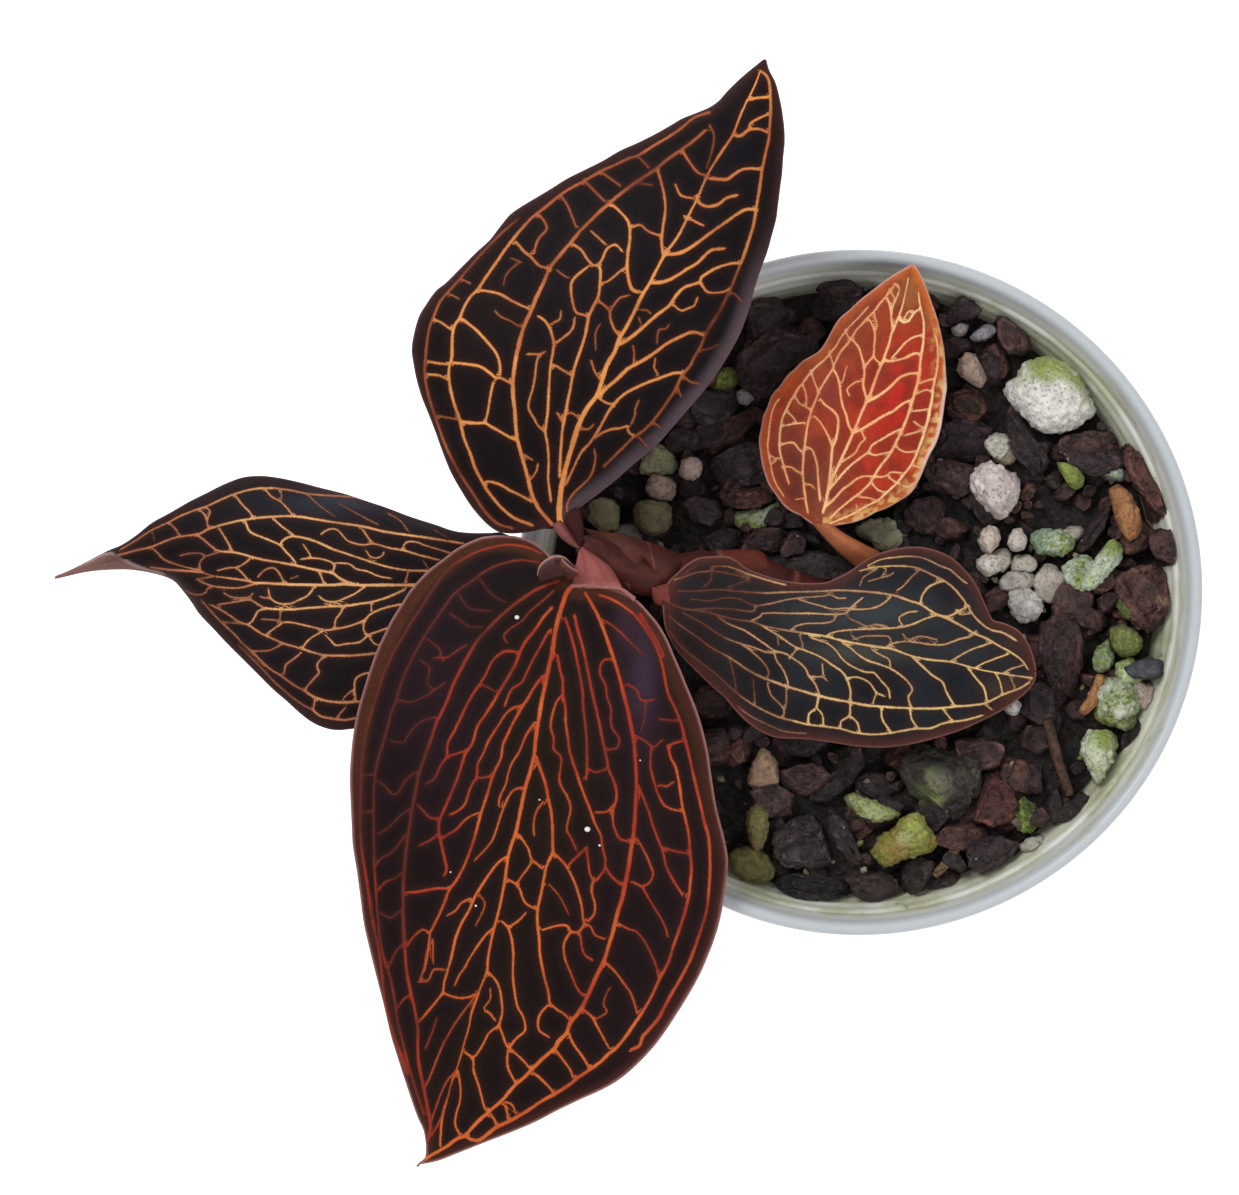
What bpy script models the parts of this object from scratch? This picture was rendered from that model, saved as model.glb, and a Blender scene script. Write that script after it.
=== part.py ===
"""Jewel orchid in a round white nursery pot.

A creeping orchid: a fleshy rhizome lies on a coarse bark and pumice mix and
carries five velvety leaves with netted veins. Everything is in metres, +Z up,
with the origin at the centre of the pot's underside.

The plant and the chips are laid out in plan, on a drawing of the pot seen from
straight above. A drawing unit is 1/6.88 mm in the plane of the pot's rim, and a
point that lies higher or lower is carried along its line of sight to the
viewpoint above the drawing, so the plan stays true from there.
"""
import math

import bmesh
import bpy
from mathutils import Vector

MM = 0.001

# ---------------------------------------------------------------- dimensions
RIM_R = 50.0            # outer radius of the pot's rim, mm
POT_H = 85.0            # height of the pot
BASE_R = 36.0           # outer radius of the pot's foot
WALL = 1.3              # wall thickness of the pot
FLOOR_T = 1.6           # thickness of the pot's floor
MIX_DROP = 12.0         # top of the packed mix below the rim
GAP = 0.3               # clearance between pieces that touch
LEAF_T = 0.7            # leaf blade thickness
DRAIN_R = 1.8           # drainage hole radius
DRAIN_RING = 21.0       # radius of the ring of drainage holes
DRAIN_N = 8
POT_SEG = 48

# plan drawing: units per mm at the rim plane, pot axis and view centre on it
UNITS = 6.88
AXIS_U, AXIS_V = 860.0, 592.0
VIEW_U, VIEW_V = 619.5, 597.5
VIEW_H = 420.0          # height of the viewpoint above the rim plane, mm
FOCAL = UNITS * VIEW_H
VIEW_X = (VIEW_U - AXIS_U) / UNITS
VIEW_Y = (AXIS_V - VIEW_V) / UNITS


def plan(u, v, h):
    """Drawing point (u, v) at h mm above the rim plane, in mm."""
    k = (VIEW_H - h) / FOCAL
    return Vector((VIEW_X + (u - VIEW_U) * k, VIEW_Y - (v - VIEW_V) * k,
                   POT_H + h))


# ------------------------------------------------------------------- cleanup
for ob in list(bpy.data.objects):
    bpy.data.objects.remove(ob, do_unlink=True)
for me in list(bpy.data.meshes):
    bpy.data.meshes.remove(me)

parts = bpy.data.collections.new("jewel_orchid")
bpy.context.scene.collection.children.link(parts)
cutters = bpy.data.collections.new("cutters")
bpy.context.scene.collection.children.link(cutters)


def material(name, rgb, rough, metal=0.0):
    mat = bpy.data.materials.new(name)
    mat.use_nodes = True
    bsdf = mat.node_tree.nodes["Principled BSDF"]
    bsdf.inputs["Base Color"].default_value = (*rgb, 1.0)
    bsdf.inputs["Roughness"].default_value = rough
    bsdf.inputs["Metallic"].default_value = metal
    mat.diffuse_color = (*rgb, 1.0)
    return mat


def add(name, mesh, mat, cutter=False):
    ob = bpy.data.objects.new(name, mesh)
    (cutters if cutter else parts).objects.link(ob)
    if cutter:
        ob.hide_render = True
        ob.display_type = "WIRE"
    else:
        mesh.materials.clear()
        mesh.materials.append(mat)
    return ob


def boolean(target, tool, operation):
    mod = target.modifiers.new(operation.lower() + "_" + tool.name, "BOOLEAN")
    mod.operation = operation
    mod.solver = "EXACT"
    mod.object = tool
    return mod


def to_mesh(bm, name, smooth=True):
    me = bpy.data.meshes.new(name)
    bmesh.ops.recalc_face_normals(bm, faces=bm.faces)
    if all(e.is_manifold for e in bm.edges) and bm.calc_volume(signed=True) < 0:
        bmesh.ops.reverse_faces(bm, faces=bm.faces)
    bm.to_mesh(me)
    bm.free()
    if smooth:
        me.shade_smooth()
        me.set_sharp_from_angle(angle=math.radians(35))
    return me


# -------------------------------------------------------------------- curves
def smooth_path(points, steps=12):
    """Dense Catmull-Rom points through the given ones (any dimension)."""
    pts = [tuple(float(c) for c in p) for p in points]
    ext = [tuple(2 * a - b for a, b in zip(pts[0], pts[1]))] + pts + \
          [tuple(2 * a - b for a, b in zip(pts[-1], pts[-2]))]
    out = []
    for i in range(1, len(ext) - 2):
        p0, p1, p2, p3 = ext[i - 1], ext[i], ext[i + 1], ext[i + 2]
        for j in range(steps):
            t = j / steps
            out.append(tuple(
                0.5 * (2 * b + (c - a) * t + (2 * a - 5 * b + 4 * c - d) * t * t
                       + (3 * b - a - 3 * c + d) * t ** 3)
                for a, b, c, d in zip(p0, p1, p2, p3)))
    out.append(pts[-1])
    return out


class Path:
    """A smooth path read by its share of arc length in the plan."""

    def __init__(self, points):
        self.pts = smooth_path(points)
        self.acc = [0.0]
        for a, b in zip(self.pts, self.pts[1:]):
            self.acc.append(self.acc[-1] + math.dist(a[:2], b[:2]))

    def at(self, t):
        d = min(max(t, 0.0), 1.0) * self.acc[-1]
        lo, hi = 0, len(self.acc) - 1
        while hi - lo > 1:
            mid = (lo + hi) // 2
            if self.acc[mid] <= d:
                lo = mid
            else:
                hi = mid
        span = self.acc[hi] - self.acc[lo] or 1.0
        f = (d - self.acc[lo]) / span
        return tuple(a + (b - a) * f
                     for a, b in zip(self.pts[lo], self.pts[hi]))


def table(stations, t):
    """Height read from (share, value) stations with smooth steps between."""
    if t <= stations[0][0]:
        return stations[0][1]
    for (a, x), (b, y) in zip(stations, stations[1:]):
        if t <= b:
            f = (t - a) / (b - a)
            return x + (y - x) * f
    return stations[-1][1]


# ------------------------------------------------------------ loft (stalks)
def loft(name, stations, sides=10, rings=10, grow=0.0):
    """A stalk through (u, v, h, half width, half height) stations.

    Every ring is an ellipse: its width lies across the run in the plan, its
    height stands up. The ends are rounded off.
    """
    pts = smooth_path(stations, 8)
    path = []
    for i in range(rings + 1):
        f = i / rings * (len(pts) - 1)
        k = min(int(f), len(pts) - 2)
        g = f - k
        path.append(tuple(a + (b - a) * g for a, b in zip(pts[k], pts[k + 1])))
    bm = bmesh.new()
    loops = []
    centres = [plan(p[0], p[1], p[2]) for p in path]
    for i, p in enumerate(path):
        a = centres[max(i - 1, 0)]
        b = centres[min(i + 1, len(centres) - 1)]
        run = (b - a).normalized()
        side = run.cross(Vector((0, 0, 1)))
        if side.length < 1e-4:
            side = Vector((1, 0, 0))
        side.normalize()
        up = side.cross(run).normalized()
        end = 0.62 if i in (0, len(path) - 1) else 1.0
        w = p[3] * end + grow
        h = p[4] * end + grow
        c = centres[i]
        if grow and i == 0:
            c = c - run * grow
        if grow and i == len(path) - 1:
            c = c + run * grow
        ring = []
        for j in range(sides):
            ang = 2 * math.pi * j / sides
            q = c + side * (math.cos(ang) * w) + up * (math.sin(ang) * h)
            ring.append(bm.verts.new(q * MM))
        loops.append(ring)
    for a, b in zip(loops, loops[1:]):
        for j in range(sides):
            bm.faces.new((a[j], a[(j + 1) % sides], b[(j + 1) % sides], b[j]))
    bm.faces.new(loops[0][::-1])
    bm.faces.new(loops[-1])
    return to_mesh(bm, name)


# ------------------------------------------------------------- leaf blades
def blade(name, left, right, midrib, tip, z_mid, z_left, z_right,
          warp=1.3, bulge=0.8, rows=14, cols=10, t0=0.0):
    """An open leaf surface, base to tip, between its two margins."""
    L = Path(left + [(tip[0] - tip[2], tip[1] - tip[3])])
    R = Path(right + [(tip[0] + tip[2], tip[1] + tip[3])])
    M = Path(midrib[:-1] + [(tip[0], tip[1])])
    bm = bmesh.new()
    bmesh.ops.create_grid(bm, x_segments=cols, y_segments=rows, size=1.0)
    for vert in bm.verts:
        s = vert.co.x
        t = t0 + (1 - t0) * (vert.co.y * 0.5 + 0.5)
        m = M.at(t ** warp)
        e = (L if s < 0 else R).at(t)
        a = abs(s)
        u = m[0] + (e[0] - m[0]) * a
        v = m[1] + (e[1] - m[1]) * a
        zm = table(z_mid, t)
        ze = table(z_left if s < 0 else z_right, t)
        w = a ** 1.4
        z = zm + (ze - zm) * w + bulge * math.sin(math.pi * t) \
            * math.sin(math.pi * a) * 0.9
        vert.co = plan(u, v, z) * MM
    return to_mesh(bm, name)


def leaf(name, mat, stalk=None, **spec):
    """A blade of even thickness, grown together with its own stalk."""
    ob = add(name, blade(name, **spec), mat)
    sol = ob.modifiers.new("thickness", "SOLIDIFY")
    sol.thickness = LEAF_T * MM
    sol.offset = 0.0
    if stalk is not None:
        st = add(name + "_stalk", loft(name + "_stalk", stalk, sides=8,
                                       rings=6), None, cutter=True)
        boolean(st, rhizome_clear, "DIFFERENCE")
        boolean(ob, st, "UNION")
    return ob


# ------------------------------------------------------------------ materials
M_POT = material("pot_white", (0.70, 0.71, 0.72), 0.45)
M_MIX = material("mix_dark", (0.07, 0.055, 0.05), 0.95)
M_BARK = material("bark", (0.10, 0.06, 0.055), 0.85)
M_PUMICE = material("pumice", (0.62, 0.58, 0.55), 0.9)
M_STEM = material("stem_red_brown", (0.24, 0.08, 0.06), 0.5)
M_LEAF = material("leaf_velvet_dark", (0.03, 0.018, 0.022), 0.6)
M_YOUNG = material("leaf_young_red", (0.45, 0.06, 0.03), 0.5)
M_ROOT = material("root_tan", (0.45, 0.33, 0.2), 0.8)

# ------------------------------------------------------------------------ pot
# Half profile: lip outside, down the collar and the tapered wall, under the
# foot, up the inside and back over the rounded lip.
INNER = [
    (0.0, FLOOR_T), (BASE_R - 3.2, FLOOR_T), (BASE_R - WALL - 0.2, 3.4),
    (45.6, 75.0), (46.6, 78.2), (47.3, 79.4), (47.9, 83.6),
]
profile = [
    (RIM_R - 0.55, POT_H - 0.25), (RIM_R, POT_H - 1.1),
    (RIM_R - 0.35, POT_H - 2.1), (49.2, POT_H - 2.6), (48.9, 77.4),
    (47.3, 76.4), (BASE_R, 2.0), (BASE_R - 1.2, 0.0), (0.0, 0.0),
] + INNER + [(48.5, POT_H - 0.2), (49.0, POT_H)]


def turned(name, points, mat, segments=POT_SEG, closed=True):
    """A turned solid: the profile at +X, screwed round the Z axis."""
    me = bpy.data.meshes.new(name)
    verts = [(x * MM, 0.0, z * MM) for x, z in points]
    edges = [(i, i + 1) for i in range(len(points) - 1)]
    if closed:
        edges.append((len(points) - 1, 0))
    me.from_pydata(verts, edges, [])
    ob = add(name, me, mat)
    sc = ob.modifiers.new("turn", "SCREW")
    sc.steps = segments
    sc.render_steps = segments
    sc.use_merge_vertices = True
    sc.merge_threshold = 0.00005
    sc.use_normal_calculate = True
    sc.use_smooth_shade = True
    return ob


pot = turned("pot", profile, M_POT)

# drainage holes, square to the floor
drain = bmesh.new()
for i in range(DRAIN_N):
    a = 2 * math.pi * (i + 0.5) / DRAIN_N
    part = bmesh.ops.create_cone(
        drain, cap_ends=True, segments=12, radius1=DRAIN_R * MM,
        radius2=DRAIN_R * MM, depth=8.0 * MM)
    bmesh.ops.translate(drain, verts=part["verts"], vec=Vector(
        (DRAIN_RING * math.cos(a), DRAIN_RING * math.sin(a), 0.0)) * MM)
drain_ob = add("drain_cutter", to_mesh(drain, "drain_cutter"), None,
               cutter=True)
boolean(pot, drain_ob, "DIFFERENCE")


def inner_radius(h):
    """Inner radius of the pot at h mm above the rim plane."""
    z = POT_H + h
    for (ra, za), (rb, zb) in zip(INNER[2:], INNER[3:]):
        if z <= zb:
            return ra + (rb - ra) * (z - za) / (zb - za)
    return INNER[-1][0]


# ------------------------------------------------------------- rhizome, roots
RHIZOME = [
    (912, 612, -9.0, 1.6, 1.6), (880, 606, -7.6, 2.2, 2.2),
    (835, 600, -5.4, 2.5, 2.4), (790, 588, -3.8, 2.6, 2.5),
    (750, 571, -2.6, 2.6, 2.5), (705, 569, -1.0, 2.7, 2.6),
    (665, 576, 0.6, 2.9, 2.8), (640, 574, 2.2, 3.0, 2.9),
    (614, 563, 4.2, 2.7, 2.6), (594, 550, 6.4, 2.1, 2.0),
    (580, 544, 8.0, 1.2, 1.2),
]
add("rhizome", loft("rhizome", RHIZOME, sides=12, rings=22), M_STEM)
rhizome_clear = add("rhizome_clear", loft("rhizome_clear", RHIZOME, sides=12,
                                          rings=22, grow=GAP + 0.05), None,
                    cutter=True)

ROOTS = {
    "root_01": [(884, 606, -8.0, 0.9, 0.9), (893, 600, -13.0, 0.95, 0.95),
                (905, 596, -20.0, 0.9, 0.9), (912, 604, -30.0, 0.8, 0.8),
                (906, 618, -42.0, 0.6, 0.6)],
    "root_02": [(836, 600, -6.2, 0.9, 0.9), (832, 606, -12.0, 0.95, 0.95),
                (824, 618, -22.0, 0.9, 0.9), (832, 628, -36.0, 0.8, 0.8),
                (846, 622, -52.0, 0.6, 0.6)],
}
root_clear = []
for key, path in ROOTS.items():
    ob = add(key, loft(key, path, sides=8, rings=9), M_ROOT)
    boolean(ob, rhizome_clear, "DIFFERENCE")
    root_clear.append(add(key + "_clear", loft(key + "_clear", path, sides=8,
                                               rings=9, grow=GAP), None,
                          cutter=True))

# ---------------------------------------------------------------- potting mix
MIX_TOP = POT_H - MIX_DROP
mix = turned("potting_mix", [
    (0.0, MIX_TOP), (30.0, MIX_TOP), (inner_radius(-MIX_DROP) - 1.2, MIX_TOP),
    (inner_radius(-MIX_DROP - 0.9) - GAP - 0.05, MIX_TOP - 0.9),
    (BASE_R - WALL - 0.2 - GAP, 3.4 + GAP), (BASE_R - 3.2, FLOOR_T + GAP),
    (0.0, FLOOR_T + GAP)], M_MIX, segments=40, closed=False)
for tool in root_clear:
    boolean(mix, tool, "DIFFERENCE")

# --------------------------------------------------------------------- leaves
leaf("leaf_upper", M_LEAF, rows=16, cols=10, warp=1.32, bulge=1.0,
     left=[(545, 527), (535, 530), (520, 532.5), (508, 533), (497, 531),
           (485, 522), (472, 507), (461, 490), (450, 470), (441, 447),
           (435, 430), (428, 412), (422, 397), (417, 380), (414, 365),
           (412, 350), (414, 335), (419, 317), (426, 305), (436, 291),
           (446, 283), (461, 268), (477, 252), (490, 240), (500, 227),
           (510, 215), (521, 207), (536, 198), (551, 189), (567, 179),
           (585, 170), (603, 161), (620, 151), (638, 143), (656, 134),
           (670, 126), (682, 119), (697, 113), (709, 108), (719, 101),
           (727, 92), (736, 83), (746, 74), (757, 65)],
     right=[(570, 530), (571, 515), (585, 503), (597, 494), (615, 480),
            (632, 465), (650, 450), (661, 440), (674, 425), (687, 410),
            (700, 395), (712, 380), (722, 365), (731, 350), (739, 335),
            (745, 320), (750, 305), (755, 286), (761, 268), (767, 252),
            (772, 234), (776, 219), (778, 204), (780, 188), (782, 173),
            (783, 158), (784.5, 142), (784, 127), (782, 111), (779.5, 98),
            (775.5, 83), (769, 70)],
     midrib=[(560, 526), (559, 512), (560, 500), (562, 480), (566, 465),
             (572, 445), (579, 425), (592, 397), (607, 370), (622, 337),
             (641, 294), (659, 268), (674, 242), (692, 209), (705, 181),
             (725.6, 151), (733, 138.5), (743.6, 111.5), (751, 92),
             (765, 60)],
     tip=(765, 60, 1.5, 0.5),
     z_mid=[(0, 10.4), (0.15, 12.5), (0.35, 18.5), (0.55, 22.0),
            (0.75, 21.5), (0.9, 18.5), (1, 16.0)],
     z_left=[(0, 9.6), (0.1, 9.0), (0.25, 10.0), (0.4, 13.0), (0.6, 16.5),
             (0.8, 17.5), (1, 16.0)],
     z_right=[(0, 9.8), (0.1, 10.0), (0.3, 13.5), (0.5, 16.5), (0.7, 18.5),
              (0.9, 17.5), (1, 16.0)],
     stalk=[(579, 549, 8.0, 0.9, 0.8), (570, 541, 9.2, 0.9, 0.75),
            (561, 532, 10.0, 0.9, 0.7), (559, 522, 10.8, 0.8, 0.6)])

leaf("leaf_lower", M_LEAF, rows=16, cols=10, warp=1.5, bulge=1.0,
     left=[(562, 573), (550, 556), (535, 543), (519, 537), (504, 535.5),
           (491, 536), (478, 538.5), (458, 548), (442, 560), (430, 569),
           (419, 580), (409, 592), (401, 605), (392, 619), (385, 633),
           (378, 648), (373, 661), (368, 676), (363, 692), (358, 710),
           (354, 730), (351.5, 751), (350, 776), (350.8, 802), (352, 828),
           (353, 846), (357, 871), (360.5, 897), (364, 923), (369.5, 948),
           (376, 974), (384, 1005), (391, 1035), (399, 1061), (408, 1089),
           (417, 1115), (424.6, 1133), (426, 1156)],
     right=[(580, 586), (586, 585), (601, 587), (617, 590), (630, 596),
            (640, 603), (650, 614), (659, 625), (667, 639), (673, 653),
            (680, 669), (686, 684), (692.6, 699.5), (699, 717), (704, 735),
            (708, 753), (710.5, 771), (713, 787), (716, 805), (719.5, 820),
            (724.6, 840), (727.7, 858), (727, 876), (724.6, 894),
            (721, 915), (715.6, 935), (709, 953), (700, 974), (689, 994),
            (676, 1015), (660.5, 1038), (648, 1053), (632, 1069),
            (617, 1081), (601, 1090), (581, 1099), (558, 1110),
            (535, 1122), (509, 1133), (483, 1143), (458, 1153),
            (437, 1161)],
     midrib=[(572, 588), (565.6, 594), (560.5, 612), (557, 630), (553, 651),
             (548, 671), (543, 692), (539, 712), (535, 751), (527, 787),
             (519, 823), (510, 853), (501.5, 897), (492.6, 940),
             (484, 979), (473, 1012), (463, 1051), (450, 1089),
             (440, 1123), (430, 1151), (417, 1166)],
     tip=(417, 1166, -1.0, -1.2),
     z_mid=[(0, 9.6), (0.15, 9.4), (0.35, 9.0), (0.5, 7.5), (0.65, 4.0),
            (0.8, -1.5), (0.9, -6.0), (1, -11.0)],
     z_left=[(0, 9.4), (0.1, 8.4), (0.25, 7.2), (0.4, 5.2), (0.55, 2.6),
             (0.7, -1.4), (0.85, -6.0), (1, -11.0)],
     z_right=[(0, 9.4), (0.1, 8.6), (0.25, 7.0), (0.4, 5.4), (0.52, 3.8),
              (0.62, 1.6), (0.75, -1.6), (0.88, -6.0), (1, -11.0)],
     stalk=[(584, 551, 7.6, 0.9, 0.8), (588, 562, 8.6, 1.6, 0.9),
            (589, 575, 9.2, 2.3, 0.9), (584, 591, 9.3, 2.0, 0.7)])

leaf("leaf_left", M_LEAF, rows=14, cols=8, warp=1.2, bulge=0.9,
     left=[(540, 607), (536, 628), (510, 662), (470, 695), (430, 713),
           (390, 724), (351, 729), (336, 730), (324, 727.5), (312, 722),
           (300, 713), (288, 702), (273, 689), (258, 674), (243, 659),
           (228, 644), (214, 629), (200, 614), (192, 602), (183, 590),
           (173.5, 580), (158, 574), (134, 569.5), (116, 569), (98, 570),
           (83, 572), (68, 575.5)],
     right=[(541, 581), (535, 562), (520, 542), (502, 533), (490, 533),
            (472, 533), (454, 531), (436, 525), (411, 517), (387, 508),
            (366, 501), (345, 494), (321, 488), (300, 482.5), (279, 478),
            (261, 476), (243, 477.5), (225, 484), (207, 493), (189, 502),
            (170, 513), (152, 523), (137, 535), (122, 545), (110, 550),
            (100, 555), (83, 564), (68, 571.5)],
     midrib=[(545, 592), (490, 588), (450, 586), (419, 585), (390, 586),
             (369, 586), (333, 584), (291, 584), (255, 583), (219, 577),
             (183, 567), (154, 561), (137, 558), (115, 561), (95, 565),
             (75, 571), (55.5, 577.5)],
     tip=(55.5, 577.5, 0.4, -1.5),
     z_mid=[(0, 3.6), (0.12, 3.2), (0.3, 3.0), (0.5, 2.0), (0.7, -0.8),
            (0.85, -4.5), (1, -8.5)],
     z_left=[(0, 3.4), (0.1, 3.0), (0.25, 2.2), (0.4, 0.8), (0.6, -1.8),
             (0.8, -5.0), (1, -8.5)],
     z_right=[(0, 3.4), (0.1, 3.0), (0.25, 2.6), (0.4, 1.2), (0.6, -0.8),
              (0.8, -4.0), (1, -8.5)],
     stalk=[(596, 556, 4.2, 1.1, 0.9), (578, 570, 4.0, 1.1, 0.8),
            (560, 583, 3.8, 1.1, 0.7), (540, 592, 3.5, 1.0, 0.6)])

leaf("leaf_right", M_LEAF, rows=14, cols=8, warp=1.15, bulge=0.7,
     left=[(663, 592), (669, 581), (678, 572), (688.5, 563),
           (699, 557.7), (711.5, 556.4), (727, 556.4), (737, 561),
           (747, 568.5), (760, 573.6), (773, 578), (786, 581), (804, 583),
           (824, 582.6), (834.6, 579), (850, 571), (863, 562), (878, 554),
           (893.6, 549), (911.5, 546.7), (927, 548), (942, 552.6),
           (955, 560), (965, 570), (974, 581), (982, 597), (988.5, 612),
           (993.6, 620), (1006, 623.6), (1019, 631), (1028, 643),
           (1033, 656)],
     right=[(663, 606), (665, 627), (673, 645), (686, 661), (699, 674),
            (711.5, 686), (724, 697), (734.6, 709.5), (747, 722),
            (763, 732.6), (778, 737.7), (804, 739), (829.5, 742),
            (855, 746), (881, 747.4), (906, 745), (932, 739), (958, 731),
            (981, 721), (999, 712), (1014, 702), (1027, 691.5),
            (1034.6, 681)],
     midrib=[(663, 598), (675.6, 604), (691, 608), (709, 613), (724, 618.5),
             (747, 622), (765, 626), (783, 630), (804, 632.6), (824, 635.6),
             (845, 641.5), (868, 646), (891, 650), (914, 657), (932, 661),
             (952.6, 663), (973, 668.5), (993.6, 673), (1011.5, 676.7),
             (1036, 672)],
     tip=(1036, 671, 0.0, 2.0),
     z_mid=[(0, 4.4), (0.15, 4.0), (0.4, 2.6), (0.7, 1.4), (1, -0.6)],
     z_left=[(0, 4.3), (0.15, 4.2), (0.3, 3.6), (0.45, 2.2), (0.6, 2.6),
             (0.8, 1.0), (1, -0.6)],
     z_right=[(0, 4.2), (0.2, 3.4), (0.4, 1.4), (0.6, 0.4), (0.8, -0.2),
              (1, -0.6)],
     stalk=[(655, 580, 2.4, 1.0, 0.8), (658, 592, 3.6, 1.0, 0.8),
            (668, 600, 4.2, 0.9, 0.6), (680, 605, 4.2, 0.8, 0.5)])

leaf("leaf_red", M_YOUNG, rows=12, cols=8, warp=1.35, bulge=0.6,
     left=[(814, 525), (806, 519.6), (800, 515), (791, 511), (783.5, 505),
           (776, 495), (769.5, 486), (765, 475), (762, 464), (760, 451),
           (759, 440), (761, 428.5), (763, 417), (767.7, 406), (772, 395),
           (780, 386), (787, 376), (794.6, 369), (802, 361.5),
           (809.5, 357), (819, 351), (825, 343), (830, 334), (835.5, 324),
           (841, 317), (850, 309.5), (860, 300), (869, 293), (878, 286),
           (886, 280), (895, 274), (904, 268.6)],
     right=[(830, 526), (843, 524), (854, 522), (865, 518), (876, 512),
            (887.6, 507.5), (899, 501), (910, 493.5), (917, 484),
            (923, 471), (929, 456), (936, 443), (940.6, 428.5),
            (943, 414), (945, 399), (946.7, 388), (946, 376),
            (945, 361.5), (944, 350), (942, 339), (939.6, 328),
            (936, 315), (932, 304), (927.5, 291), (923, 280), (918, 270)],
     midrib=[(822, 525), (822.5, 518), (823.4, 510), (826, 501), (829, 488),
             (832, 479), (837, 467.5), (843, 454.5), (848.5, 443),
             (853, 432), (858, 423), (861.5, 412), (867, 401), (872, 389),
             (876, 378), (884, 361.5), (890, 341), (897, 319),
             (905, 296.5), (912.7, 264.5)],
     tip=(912.7, 264.5, 1.2, 0.0),
     z_mid=[(0, 1.2), (0.2, 1.6), (0.5, 2.2), (0.8, 3.0), (1, 3.6)],
     z_left=[(0, 1.0), (0.2, 0.4), (0.5, 0.8), (0.8, 2.4), (1, 3.6)],
     z_right=[(0, 1.0), (0.2, 0.4), (0.5, 0.8), (0.8, 2.4), (1, 3.6)],
     stalk=[(882, 600, -7.2, 1.4, 1.3), (878, 584, -4.6, 1.35, 1.2),
            (864, 561, -2.2, 1.3, 1.15), (846, 545, -0.4, 1.25, 1.0),
            (826, 527, 1.0, 1.1, 0.7)])

# a small rolled leaf that opens from the growing tip, over the lower leaf
leaf_bud = add("leaf_bud", loft("leaf_bud", [
    (573, 569, 11.6, 0.7, 0.6), (566, 566, 12.0, 1.2, 0.8),
    (556, 566, 12.3, 1.6, 0.95), (547, 570, 12.3, 1.5, 0.9),
    (540, 576, 12.0, 0.8, 0.6)], sides=10, rings=6), M_STEM)

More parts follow.
